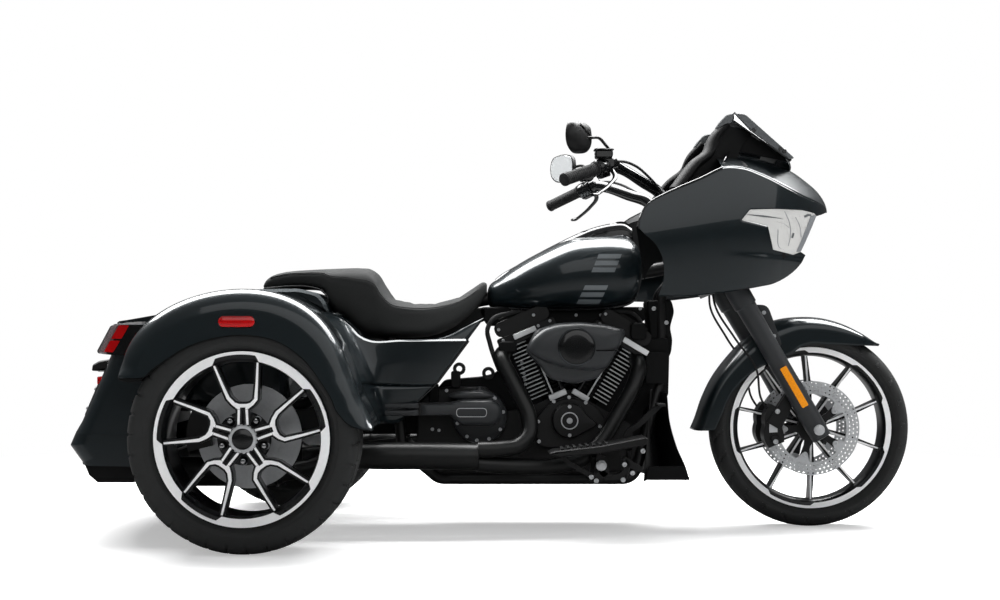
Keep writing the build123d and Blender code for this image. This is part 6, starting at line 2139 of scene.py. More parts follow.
    def _air_cleaner(self) -> None:
        """The wide air cleaner: a crowned upper shell with a blank round cap, above a deeper cup."""
        whole = rounded(
            [
                (0.086, 0.565), (0.12, 0.632), (0.184, 0.652), (0.254, 0.656), (0.329, 0.649),
                (0.398, 0.632), (0.38, 0.585), (0.347, 0.527), (0.306, 0.479), (0.236, 0.464),
                (0.161, 0.479), (0.132, 0.52),
            ],
            0.016,
            6,
        )
        upper = rounded(
            [
                (0.088, 0.566), (0.102, 0.604), (0.14, 0.636), (0.184, 0.65), (0.254, 0.655),
                (0.329, 0.648), (0.392, 0.632), (0.377, 0.588), (0.338, 0.512), (0.286, 0.502),
                (0.21, 0.512), (0.13, 0.538),
            ],
            0.016,
            6,
        )
        steps = (
            (0.0, -0.2), (0.0005, -0.226), (0.003, -0.236), (0.008, -0.243), (0.016, -0.249),
            (0.03, -0.2535),
        )
        made = [
            self._crowned(
                whole, ((0.0, -0.128), (0.0, -0.205), (0.003, -0.214), (0.01, -0.219), (0.022, -0.221))
            ),
            self._crowned(upper, steps),
        ]
        notch = slab((0.3, -0.2555, 0.566), (0.372, -0.24, 0.57), 0.0015, 0.0005)
        intake = swept(np.array([(0.236, -0.13, 0.56), (0.236, -0.02, 0.56)]), 0.05, 28, 0.8, UP)
        piece("air_cleaner_shell", joined([*made, intake]), GEAR_GREY, ["air_cleaner"])
        cap = turned(
            [(0.0, -0.262), (0.036, -0.2618), (0.05, -0.26), (0.0535, -0.2575), (0.054, -0.25)], 64
        ).placed(at=self.cleaner_middle)
        piece("air_cleaner_cap", joined([cap, notch]), GLOSS_BLACK)
        ring = turned(
            [(0.0545, -0.25), (0.0545, -0.259), (0.0565, -0.2598), (0.0585, -0.25)], 72, closed=True
        )
        stud = turned([(0.0, -0.265), (0.0045, -0.2648), (0.0062, -0.2618)], 20)
        bright = joined([ring, stud]).placed(at=self.cleaner_middle)
        piece("air_cleaner_ring", bright, DARK_CHROME)

    @staticmethod
    def _crowned(outline: Array, steps: Sequence[tuple[float, float]]) -> Shape:
        """Stack an outline at places along y, drawn towards its middle by a share of its size each time.

        Args:
            outline: The (x, z) points at full size.
            steps: How far each ring is drawn in, and its place along y.

        Returns:
            The closed, crowned plate.
        """
        middle = (outline.min(axis=0) + outline.max(axis=0)) / 2
        size = np.min(np.ptp(outline, axis=0)) / 2
        rings = [beside(middle + (outline - middle) * (1.0 - by / size), y) for by, y in steps]
        return lattice(np.stack(rings), around=True, capped=True)

    def _gearbox(self) -> None:
        """The gearbox side: a bolted round cover, a long capsule over it, a slot and a filler dome."""
        cover = turned(
            [
                (0.0, -0.15), (0.062, -0.15), (0.076, -0.147), (0.083, -0.141), (0.086, -0.13),
                (0.0865, -0.104), (0.0, -0.104),
            ],
            72,
        ).placed(at=(-0.054, 0.0, 0.3595))
        turn = np.linspace(-TAU / 4, TAU / 4, 24)
        tip = ellipse(-0.026, 0.3735, 0.041, 0.041, turn)
        tail = np.array(
            [
                (-0.11, 0.4145), (-0.15, 0.405), (-0.25, 0.404), (-0.25, 0.366), (-0.15, 0.3665),
                (-0.11, 0.3325),
            ],
        )
        capsule = np.concatenate([tip, tail])
        capsules = [
            self._crowned(
                capsule,
                (
                    (0.0, -0.146), (0.0, -0.178), (0.002, -0.186), (0.005, -0.192), (0.01, -0.1965),
                    (0.018, -0.199),
                ),
            ),
        ]
        for high, low in ((0.405, 0.3885), (0.3845, 0.366)):
            bar = rounded([(-0.245, high), (-0.371, high), (-0.371, low), (-0.245, low)], 0.004)
            capsules.append(
                self._crowned(bar, ((0.0, -0.128), (0.0, -0.208), (0.002, -0.214), (0.005, -0.217)))
            )
        case = rounded(
            [(-0.255, 0.256), (-0.02, 0.256), (-0.02, 0.452), (-0.18, 0.452), (-0.255, 0.404)], 0.03
        )
        piece("gearbox_case", plate(case, -0.104, 0.104, 0.006), WRINKLE_BLACK, ["transmission"])
        piece("gearbox_covers", joined([cover, *capsules]), GEAR_GREY)
        dome_turn = full_turn(40)
        oval_line = ellipse(-0.0815, 0.425, 0.0715, 0.015, dome_turn)
        dome = self._crowned(
            oval_line, ((0.0, -0.104), (0.0, -0.146), (0.002, -0.153), (0.005, -0.157), (0.009, -0.159))
        )
        knob = turned(
            [(0.0, 0.018), (0.007, 0.017), (0.01, 0.012), (0.011, 0.0)], 20
        ).placed(facing(UP), (-0.056, -0.13, 0.436))
        piece("gearbox_dome", joined([dome, knob]), GEAR_GREY)
        slot = rounded([(-0.128, 0.3615), (-0.033, 0.3615), (-0.033, 0.3895), (-0.128, 0.3895)], 0.013, 8)
        rings = [
            (slot, -0.1965), (slot, -0.2005), (inset(slot, 0.002), -0.2005), (inset(slot, 0.002), -0.1965)
        ]
        frame_line = np.stack([beside(ring, y) for ring, y in rings])
        piece("gearbox_slot_frame", lattice(frame_line, around=True, along=True), BRUSHED_STEEL)

    def _fillers(self) -> None:
        """The dark parts behind the covers: tank tunnel, starter, oil cooler, hoses and their clips."""
        tunnel = [(-0.06, 0.69), (-0.03, 0.645), (0.43, 0.64), (0.475, 0.665), (0.47, 0.705), (-0.05, 0.705)]
        starter = [(-0.02, 0.3), (-0.195, 0.44), (-0.17, 0.47), (-0.05, 0.48), (-0.01, 0.49), (0.022, 0.512),
                   (0.022, 0.57), (0.075, 0.585), (0.16, 0.38), (0.15, 0.3)]
        front = [
            (0.3, 0.25), (0.3, 0.38), (0.408, 0.57), (0.47, 0.6), (0.55, 0.61), (0.545, 0.42), (0.47, 0.38),
            (0.45, 0.25),
        ]
        under = [(-0.44, 0.3), (-0.15, 0.3), (-0.192, 0.452), (-0.44, 0.452)]
        base = [(-0.4, 0.6), (-0.18, 0.6), (-0.1, 0.64), (-0.036, 0.662), (-0.036, 0.705), (-0.07, 0.7),
                (-0.16, 0.66), (-0.4, 0.64)]
        blocks = [tablet(line, 0.012, -0.072, 0.072, 0.004) for line in (tunnel, starter, front, under, base)]
        boots = [
            slab((0.004, -0.14, 0.56), (0.062, -0.095, 0.596), 0.014, 0.004),
            slab((0.42, -0.12, 0.6), (0.47, -0.08, 0.655), 0.014, 0.004),
            slab((-0.215, -0.11, 0.398), (-0.185, -0.085, 0.462), 0.008, 0.002),
            slab((-0.146, -0.122, 0.45), (-0.116, -0.098, 0.502), 0.008, 0.002),
        ]
        piece("engine_bay_blocks", joined([*blocks, *boots]), MOULDED_BLACK)
        loop = curve(
            [
                (0.07, -0.085, 0.69), (0.034, -0.1, 0.683), (-0.012, -0.115, 0.667), (-0.031, -0.12, 0.633),
                (-0.023, -0.12, 0.588), (-0.006, -0.12, 0.535), (0.006, -0.1, 0.505),
            ],
            50,
        )
        feed = curve(
            [
                (0.38, -0.085, 0.692), (0.428, -0.1, 0.684), (0.452, -0.105, 0.66), (0.456, -0.105, 0.625),
                (0.448, -0.1, 0.6),
            ],
            40,
        )
        turn = np.linspace(0.0, TAU, 41)
        hoops = [
            swept(beside(ellipse(x, z, 0.0145, 0.0145, turn), -0.11), 0.0056, 10, 1.0, LEFT)
            for x, z in ((-0.12, 0.509), (-0.028, 0.495))
        ]
        piece("engine_hoses", joined([swept(loop, 0.0075, 14), swept(feed, 0.006, 14), *hoops]), GRIP_RUBBER)
        specks = [(0.09, 0.676), (0.101, 0.662), (0.251, 0.679), (0.33, 0.679), (0.358, 0.673), (0.455, 0.7)]
        rows = [self.at(self.leans[0], -0.062 - 0.004 * k, 0.225 - 0.017 * k) for k in range(5)]
        places = [(x, -0.0725, z) for x, z in [*specks, *rows]]
        piece("engine_bay_bolts", bolts(places, RIGHT, 0.0055, 0.004).both(), BRUSHED_STEEL)

    def _fasteners(self) -> None:
        """Bright bolts round the covers, heads and cases."""
        turn = np.radians([-68, -32, 12, 52, 110, 196, 236, 262])
        ring = beside(ellipse(-0.054, 0.3595, 0.074, 0.074, turn), -0.1485)
        cam = [(0.224, -0.181, 0.349 + dz) for dz in (-0.045, 0.044)]
        case = [(0.128, -0.1525, 0.345), (0.13, -0.1525, 0.283), (0.3, -0.1525, 0.278), (0.32, -0.1525, 0.33),
                (0.176, -0.1525, 0.408), (0.276, -0.1525, 0.404), (0.224, -0.1525, 0.421)]
        gear = [
            (-0.205, -0.1045, 0.318), (-0.184, -0.1045, 0.315), (-0.236, -0.1045, 0.438),
            (-0.16, -0.1045, 0.44),
        ]
        piece("engine_bolts", bolts([*ring, *cam, *case, *gear], RIGHT, 0.0058, 0.004), BRUSHED_STEEL)
        heads = []
        for lean, spots in zip(self.leans, ((-0.09, -0.03, 0.03, 0.07), (-0.072, -0.02, 0.04, 0.085))):
            heads += [(x, -0.109, z) for x, z in (self.at(lean, a, 0.313) for a in spots)]
            heads += [(x, -0.101, z) for x, z in (self.at(lean, a, 0.35) for a in spots[::2])]
        piece("rocker_box_bolts", bolts(heads, RIGHT, 0.0052, 0.004).both(), BRUSHED_STEEL)


@dataclass
class Exhaust:
    """Headers that sweep down both sides of the engine into shielded mufflers."""

    def build(self) -> None:
        """Sweep the pipes and mufflers and clamp them together."""
        rear = curve(
            [
                (0.04, -0.06, 0.56), (0.018, -0.1, 0.557), (0.014, -0.14, 0.536), (0.034, -0.16, 0.496),
                (0.068, -0.184, 0.43), (0.098, -0.206, 0.355), (0.094, -0.228, 0.306),
                (0.062, -0.246, 0.276), (0.01, -0.262, 0.268), (-0.062, -0.274, 0.266),
            ],
            90,
        )
        front = curve(
            [
                (0.436, -0.07, 0.548), (0.446, -0.12, 0.52), (0.425, -0.16, 0.46), (0.375, -0.185, 0.372),
                (0.31, -0.205, 0.275), (0.25, -0.215, 0.228), (0.18, -0.225, 0.214), (0.06, -0.245, 0.214),
                (-0.062, -0.262, 0.222),
            ],
            90,
        )
        pipes = joined([swept(rear, 0.0255, 26), swept(front, 0.0245, 26)])
        piece("exhaust_header_pipes", pipes, HEAT_BLACK, ["exhaust_headers"])
        x = np.array(
            [-0.058, -0.064, -0.1, -0.2, -0.35, -0.43, -0.5, -0.58, -0.64, -0.66, -0.7, -1.0, -1.035, -1.05]
        )
        z = np.array(
            [
                0.245, 0.245, 0.246, 0.248, 0.248, 0.247, 0.237, 0.212, 0.205, 0.204, 0.204, 0.204, 0.204,
                0.204,
            ],
        )
        y = np.array(
            [0.274, 0.274, 0.278, 0.28, 0.28, 0.281, 0.29, 0.303, 0.309, 0.31, 0.31, 0.31, 0.31, 0.31]
        )
        size = np.array(
            [
                0.034, 0.0405, 0.041, 0.0415, 0.0415, 0.039, 0.031, 0.028, 0.03, 0.041, 0.0445, 0.0445,
                0.04, 0.034,
            ],
        )
        can = pipe(
            np.column_stack([x, -y, z]),
            120,
            np.interp(np.linspace(0, 1, 120), self._shares(x, y, z), size),
            36,
        )
        tie = swept(np.array([(-0.165, -0.266, 0.218), (-0.165, 0.266, 0.218)]), 0.0145, 18)
        piece("muffler_cans", joined([can.both(), tie]), HEAT_BLACK, ["mufflers"])
        rings = [
            swept(np.array([(a, -b, c), (a - 0.006, -b, c)]), r, 40)
            for a, b, c, r in (
                (-0.06, 0.274, 0.245, 0.0425),
                (-0.425, 0.281, 0.2475, 0.0425),
                (-0.662, 0.31, 0.204, 0.0455),
            )
        ]
        piece("exhaust_clamps", joined(rings).both(), HEAT_BLACK)

    @staticmethod
    def _shares(x: Array, y: Array, z: Array) -> Array:
        """Each point's share of the way along the line."""
        reach = reach_along(np.column_stack([x, y, z]))
        return reach / reach[-1]


@dataclass
class Feet:
    """Footboards with ribbed pads, the brake linkage and the chin spoiler."""

    def build(self) -> None:
        """Make both boards, the right-hand pedal parts, the neck cover and the spoiler."""
        side = [(0.15, 0.262), (0.166, 0.2705), (0.3, 0.286), (0.438, 0.3125), (0.446, 0.306), (0.442, 0.29),
                (0.3, 0.264), (0.176, 0.254)]
        board = tablet(side, 0.004, -0.388, -0.264, 0.003)
        piece("footboard_pans", board.both(), SATIN_BLACK, ["footboards"])
        ribs = [
            slab(
                (x, -0.374, 0.2725 + 0.12 * (x - 0.176)),
                (x + 0.009, -0.274, 0.2775 + 0.12 * (x - 0.176)),
                0.002,
                0.001,
            )
            for x in np.arange(0.186, 0.33, 0.019)
        ]
        piece("footboard_ribs", joined(ribs).both(), GRIP_RUBBER)
        stays = [
            pipe([(0.29, -0.125, 0.163), (0.292, -0.2, 0.19), (0.292, -0.27, 0.25)], 16, 0.009, 14),
            pipe([(0.4, -0.125, 0.163), (0.4, -0.2, 0.2), (0.4, -0.27, 0.27)], 16, 0.009, 14),
        ]
        turn = np.radians(np.linspace(150, 395, 26))
        ring = ellipse(0.353, 0.213, 0.04, 0.032, turn)
        pedal = joined(
            [
                ribbon(ring, np.full(26, 0.017), -0.262, -0.238),
                ribbon(
                    [(0.29, 0.252), (0.318, 0.236), (0.326, 0.2), (0.3, 0.176), (0.28, 0.176)],
                    (0.012, 0.026, 0.03, 0.026, 0.012),
                    -0.262,
                    -0.24,
                ),
                ribbon(
                    [(0.384, 0.24), (0.41, 0.218), (0.44, 0.204)], (0.014, 0.022, 0.016), -0.262, -0.244
                ),
                ribbon(
                    [
                        (0.505, 0.406), (0.47, 0.378), (0.43, 0.34), (0.4, 0.32), (0.381, 0.277),
                        (0.386, 0.24),
                    ],
                    (0.012, 0.018, 0.016, 0.018, 0.02, 0.02),
                    -0.252,
                    -0.238,
                ),
                slab((0.482, -0.3, 0.398), (0.508, -0.238, 0.408), 0.003, 0.002),
            ],
        )
        arm = ribbon([(0.18, 0.262), (0.215, 0.226), (0.29, 0.184)], (0.016, 0.013, 0.016), -0.276, -0.262)
        piece(
            "foot_control_castings",
            joined([joined(stays).both(), pedal.both(), arm.both()]),
            SATIN_BLACK,
            ["foot_controls"],
        )
        boss = turned(
            [(0.0, -0.284), (0.009, -0.284), (0.0115, -0.281), (0.0155, -0.279), (0.0165, -0.262)], 32
        ).placed(at=(0.315, 0.0, 0.218))
        heads = [
            (0.284, -0.277, 0.184), (0.3, -0.264, 0.171), (0.382, -0.264, 0.174), (0.41, -0.264, 0.195),
            (0.386, -0.264, 0.221), (0.442, -0.264, 0.262),
        ]
        bright = joined([boss, bolts(heads, RIGHT, 0.0075, 0.005)])
        piece("foot_control_fixings", bright.both(), BRUSHED_STEEL)
        link = pipe([(0.196, -0.27, 0.246), (0.25, -0.268, 0.205), (0.284, -0.268, 0.186)], 12, 0.005, 10)
        piece("brake_links", link.both(), GLOSS_BLACK)
        self._chin()

    def _chin(self) -> None:
        """The chin spoiler, nearly flat across, with its foot plates, and the neck cover."""
        x = curve(
            [
                (0.533, -0.146, 0.434), (0.535, -0.146, 0.412), (0.541, -0.147, 0.348),
                (0.562, -0.149, 0.269), (0.597, -0.153, 0.182), (0.6, -0.153, 0.166), (0.59, -0.153, 0.161),
            ],
            40,
        )
        rear = np.column_stack(
            [np.linspace(0.478, 0.456, 40), x[:, 1] - 0.004, x[:, 2] + np.linspace(0.012, 0.0, 40)]
        )
        t = np.linspace(-1.0, 1.0, 33)
        front = grid(x[:, :1] - 0.002 * t**2, x[:, 1:2] * t, x[:, 2:])
        cheek = np.stack([front[:, 0], rear], 1)
        blade = joined([lattice(front), lattice(cheek).both()])
        thicken(piece("chin_spoiler_blade", blade, SATIN_BLACK, ["chin_spoiler"], 50.0), SHEET)
        lip = tablet(
            [(0.462, 0.163), (0.601, 0.163), (0.582, 0.206), (0.47, 0.206)], 0.005, -0.166, -0.16, 0.0015
        )
        neck = rounded(
            [
                (0.478, 0.726), (0.556, 0.729), (0.566, 0.69), (0.552, 0.64), (0.56, 0.6), (0.556, 0.56),
                (0.536, 0.52), (0.543, 0.44), (0.478, 0.44), (0.492, 0.56),
            ],
            0.012,
        )
        regulator = [
            slab((0.47, y, 0.462), (0.54, y + 0.005, 0.56), 0.006, 0.001)
            for y in np.arange(-0.095, 0.095, 0.016)
        ]
        body = [lip, lip.mirrored(), plate(neck, -0.06, 0.06, 0.004), *regulator]
        piece("front_frame_covers", joined(body), MOULDED_BLACK)
        places = [(0.5, -0.0605, 0.7), (0.54, -0.0605, 0.655), (0.535, -0.0605, 0.58)]
        piece("front_frame_bolts", bolts(places, RIGHT, 0.007, 0.004).both(), BRUSHED_STEEL)


# ---- Tail, rear fenders and lamps ----


@dataclass
class Tail:
    """The rear fenders round the wheels and the lamps, markers and small fittings behind."""

    hub: tuple[float, float] = (-0.7155, 0.3254)
    crown: Line = (
        (-1.052, 0.499), (-1.045, 0.55), (-1.03, 0.599), (-0.993, 0.641), (-0.932, 0.684), (-0.859, 0.724),
        (-0.773, 0.741), (-0.712, 0.744), (-0.657, 0.738), (-0.596, 0.724), (-0.535, 0.696),
        (-0.486, 0.652), (-0.436, 0.564), (-0.402, 0.483), (-0.374, 0.414), (-0.347, 0.351),
    )
    arch: Line = (
        (-1.05, 0.496), (-0.99, 0.498), (-0.954, 0.524), (-0.853, 0.587), (-0.763, 0.612), (-0.704, 0.616),
        (-0.614, 0.599), (-0.536, 0.545), (-0.495, 0.491), (-0.465, 0.444), (-0.441, 0.396), (-0.393, 0.36),
        (-0.35, 0.35),
    )
    outer: float = 0.695
    inner: float = 0.431
    bow: float = 0.069
    half_width: float = 0.428

    def build(self) -> None:
        """Make the fenders, markers, lamps and fittings."""
        self._fenders()
        self._markers()
        self._lamps()
        self._fittings()

    def _around(self, line: Sequence[tuple[float, float]], angle: Array, degree: int) -> Array:
        """Points of a line round the hub: its radius is smooth, or a polynomial of the angle.

        Args:
            line: The (x, z) points to follow.
            angle: The angles at which points are wanted.
            degree: The polynomial's degree, or 0 for a smooth line through every point.

        Returns:
            An (x, z) point at each angle.
        """
        at = np.asarray(line) - self.hub
        turn = np.arctan2(at[:, 1], at[:, 0])
        radius = np.hypot(at[:, 0], at[:, 1])
        if degree:
            radius = np.polynomial.Polynomial.fit(turn, radius, degree)(angle)
        else:
            dense = curve(np.column_stack([turn, radius])[::-1], 400)
            radius = np.interp(angle, dense[:, 0], dense[:, 1])
        return np.column_stack([self.hub[0] + radius * np.cos(angle), self.hub[1] + radius * np.sin(angle)])

    def _fenders(self) -> None:
        """Crowns that roll over a round shoulder into an outer face cut by the wheel arch."""
        angle = np.radians(np.linspace(152.6, 4.4, 120))
        top, low = self._around(self.crown, angle, 8), self._around(self.arch, angle, 0)
        across = low - top
        reach = np.maximum(np.linalg.norm(across, axis=1), 0.003)
        across /= reach[:, None]
        radius = np.minimum(0.058, 0.72 * reach)[:, None]
        bend = np.linspace(0.0, TAU / 4, 12)[None, :]
        fall = radius * (1.0 - np.cos(bend))
        out = self.outer - radius + radius * np.sin(bend)
        flat_y = np.linspace(self.inner, self.outer - 0.06, 5) + 0.0 * radius
        flat_fall = np.zeros_like(flat_y)
        face_fall = radius + (reach[:, None] - radius) * np.linspace(0.12, 1.0, 7)[None, :]
        face_y = self.outer + 0.0 * face_fall - 0.004 * ((face_fall - radius) / 0.2) ** 2
        lip_fall = np.repeat(reach[:, None], 2, 1) + np.array([[-0.001, 0.0]])
        lip_y = np.array([[self.outer - 0.016, self.outer - 0.03]]) + 0.0 * lip_fall
        falls = np.concatenate([flat_fall, fall, face_fall, lip_fall], axis=1)
        ys = np.concatenate([flat_y, out, face_y, lip_y], axis=1)
        shell = lattice(grid(top[:, :1] + across[:, :1] * falls, -ys, top[:, 1:] + across[:, 1:] * falls))
        lip_line = beside(low, -(self.outer - 0.01))
        depths = np.linspace(self.inner + 0.002, self.outer - 0.052, 5)
        inside = np.stack([beside(top + 0.012 * across, -y) for y in depths], 1)
        edge = joined([swept(lip_line, 0.0042, 8, 1.0, LEFT), lattice(inside)])
        foot = tablet(
            [(-1.054, 0.5), (-1.05, 0.49), (-1.028, 0.484), (-0.99, 0.487), (-0.985, 0.498)],
            0.004,
            -0.69,
            -0.44,
            0.003,
        )
        dark = joined([edge, foot])
        for side, skin, rim in (("right", shell, dark), ("left", shell.mirrored(), dark.mirrored())):
            made = piece(f"rear_fender_skin_{side}", skin, PAINT, [f"rear_fender_{side}"], 60.0)
            thicken(made, SHEET)
            piece(f"rear_fender_edge_{side}", rim, MOULDED_BLACK)

    def _markers(self) -> None:
        """A red lens in a thin black bezel on each fender's outer face."""
        turn = np.linspace(-TAU / 4, TAU * 3 / 4, 48, endpoint=False)
        outline = np.column_stack(
            [-0.724 + np.sign(np.cos(turn)) * 0.035 + 0.017 * np.cos(turn), 0.6525 + 0.017 * np.sin(turn)]
        )
        rings = [(0.0, 0.0), (0.0, 0.0045), (0.0018, 0.0062), (0.005, 0.0075), (0.011, 0.0082)]
        stack = np.stack([beside(inset(outline, 0.002 + by), -self.outer + 0.001 - up) for by, up in rings])
        lens = lattice(stack, around=True, capped=True)
        piece("side_marker_lenses", lens.both(), LENS_RED, ["side_markers"])
        bezel = plate(inset(outline, -0.0005), -self.outer - 0.0028, -self.outer + 0.004, 0.001)
        piece("side_marker_bezels", bezel.both(), GLOSS_BLACK)

    def _bowed(
        self, outline: Sequence[tuple[float, float]], low: float, high: float, end: float = 0.0
    ) -> Shape:
        """Carry a side outline across the tail so that its back follows the tail's bow in plan.

        Args:
            outline: The (x, z) points in order.
            low: Where it starts, measured from the middle to the right.
            high: Where it ends, measured the same way.
            end: How much further forward its last 30 mm are drawn.

        Returns:
            The closed, bowed body.
        """
        line = np.asarray(outline)
        y = np.linspace(low, high, 24)[:, None]
        pull = self.bow * (y / self.half_width) ** 2 + end * np.clip((y - high + 0.03) / 0.03, 0.0, 1.0) ** 2
        x = line[:, 0] + pull
        return lattice(grid(x, -y, line[:, 1]), around=True, capped=True)

    def _lamps(self) -> None:
        """Two-part red lamps in a black surround at both upper corners of the tail."""
        body = rounded(
            [
                (-1.1, 0.645), (-1.198, 0.645), (-1.206, 0.636), (-1.241, 0.57), (-1.236, 0.56),
                (-1.196, 0.556), (-1.1, 0.56),
            ],
            0.006,
        )
        piece("tail_lamp_housings", self._bowed(body, 0.3, 0.489, 0.012).both(), GLOSS_BLACK, ["tail_lights"])
        upper = rounded([(-1.17, 0.6435), (-1.199, 0.6435), (-1.2215, 0.6045), (-1.192, 0.6045)], 0.003)
        lower = rounded([(-1.196, 0.599), (-1.2245, 0.599), (-1.242, 0.567), (-1.216, 0.5655)], 0.003)
        red = [self._bowed(line, 0.306, 0.4905, 0.01) for line in (upper, lower)]
        piece("tail_lamp_lenses", joined(red).both(), LENS_RED)
        cover = [
            (-1.199, 0.6455), (-1.2065, 0.641), (-1.2455, 0.568), (-1.242, 0.56), (-1.234, 0.567),
            (-1.2, 0.633),
        ]
        piece("tail_lamp_covers", self._bowed(rounded(cover, 0.003), 0.304, 0.4895, 0.011).both(), LENS_SMOKE)
        trim = rounded([(-1.1, 0.6452), (-1.196, 0.6452), (-1.196, 0.6485), (-1.1, 0.6485)], 0.001)
        piece("tail_lamp_trims", self._bowed(trim, 0.306, 0.488, 0.012).both(), BRUSHED_STEEL)
        side = tablet(
            [(-1.14, 0.56), (-1.12, 0.64), (-1.085, 0.652), (-1.03, 0.655), (-1.035, 0.61), (-1.048, 0.56)],
            0.01,
            -0.47,
            -0.426,
            0.006,
        )
        piece("tail_corner_panels", side.both(), SATIN_BLACK)
        deck = [
            (-0.768, 0.69), (-0.768, 0.742), (-0.74, 0.756), (-0.61, 0.758), (-0.552, 0.744),
            (-0.528, 0.718), (-0.515, 0.68),
        ]
        piece("seat_deck", tablet(deck, 0.012, -0.25, 0.25, 0.01), PAINT)

    def _fittings(self) -> None:
        """Rear reflectors, the plate's bracket with its bolts and lamp, and the lid's lock."""
        lens = slab((-1.229, -0.24, 0.464), (-1.196, -0.18, 0.488), 0.004, 0.003)
        piece("rear_reflector_lenses", lens.both(), LENS_RED, ["rear_reflectors"])
        wing = rounded(
            [
                (-1.19, 0.556), (-1.215, 0.541), (-1.262, 0.534), (-1.283, 0.521), (-1.286, 0.502),
                (-1.262, 0.501), (-1.228, 0.508), (-1.195, 0.502),
            ],
            0.005,
        )
        rest = rounded(
            [(-1.225, 0.471), (-1.262, 0.471), (-1.309, 0.361), (-1.294, 0.356), (-1.27, 0.368)], 0.005
        )
        piece(
            "plate_bracket",
            joined([plate(wing, -0.091, 0.091, 0.004), plate(rest, -0.091, 0.091, 0.003)]),
            SATIN_BLACK,
            ["plate_holder"],
        )
        pins = [(-1.277, y, 0.444) for y in (-0.07, 0.07)] + [(-1.303, y, 0.383) for y in (-0.07, 0.07)]
        piece("plate_bolts", bolts(pins, (-0.918, 0.0, 0.397), 0.006, 0.004), BRUSHED_STEEL)
        lamp = slab((-1.283, -0.03, 0.497), (-1.262, 0.03, 0.505), 0.003, 0.002)
        piece("plate_lamp", lamp, LENS_CLEAR)
        lock = turned(
            [
                (0.0, 0.003), (0.006, 0.003), (0.0065, 0.001), (0.011, 0.001), (0.0125, 0.003),
                (0.014, 0.0), (0.014, -0.006),
            ],
            32,
        )
        piece(
            "trunk_lid_lock",
            lock.placed(facing((-0.1, 0.0, 1.0)), (-1.165, 0.0, 0.6505)),
            CHROME,
            body=Body.TRUNK_LID,
        )


# ---- Handlebar, grips, levers and mirrors ----


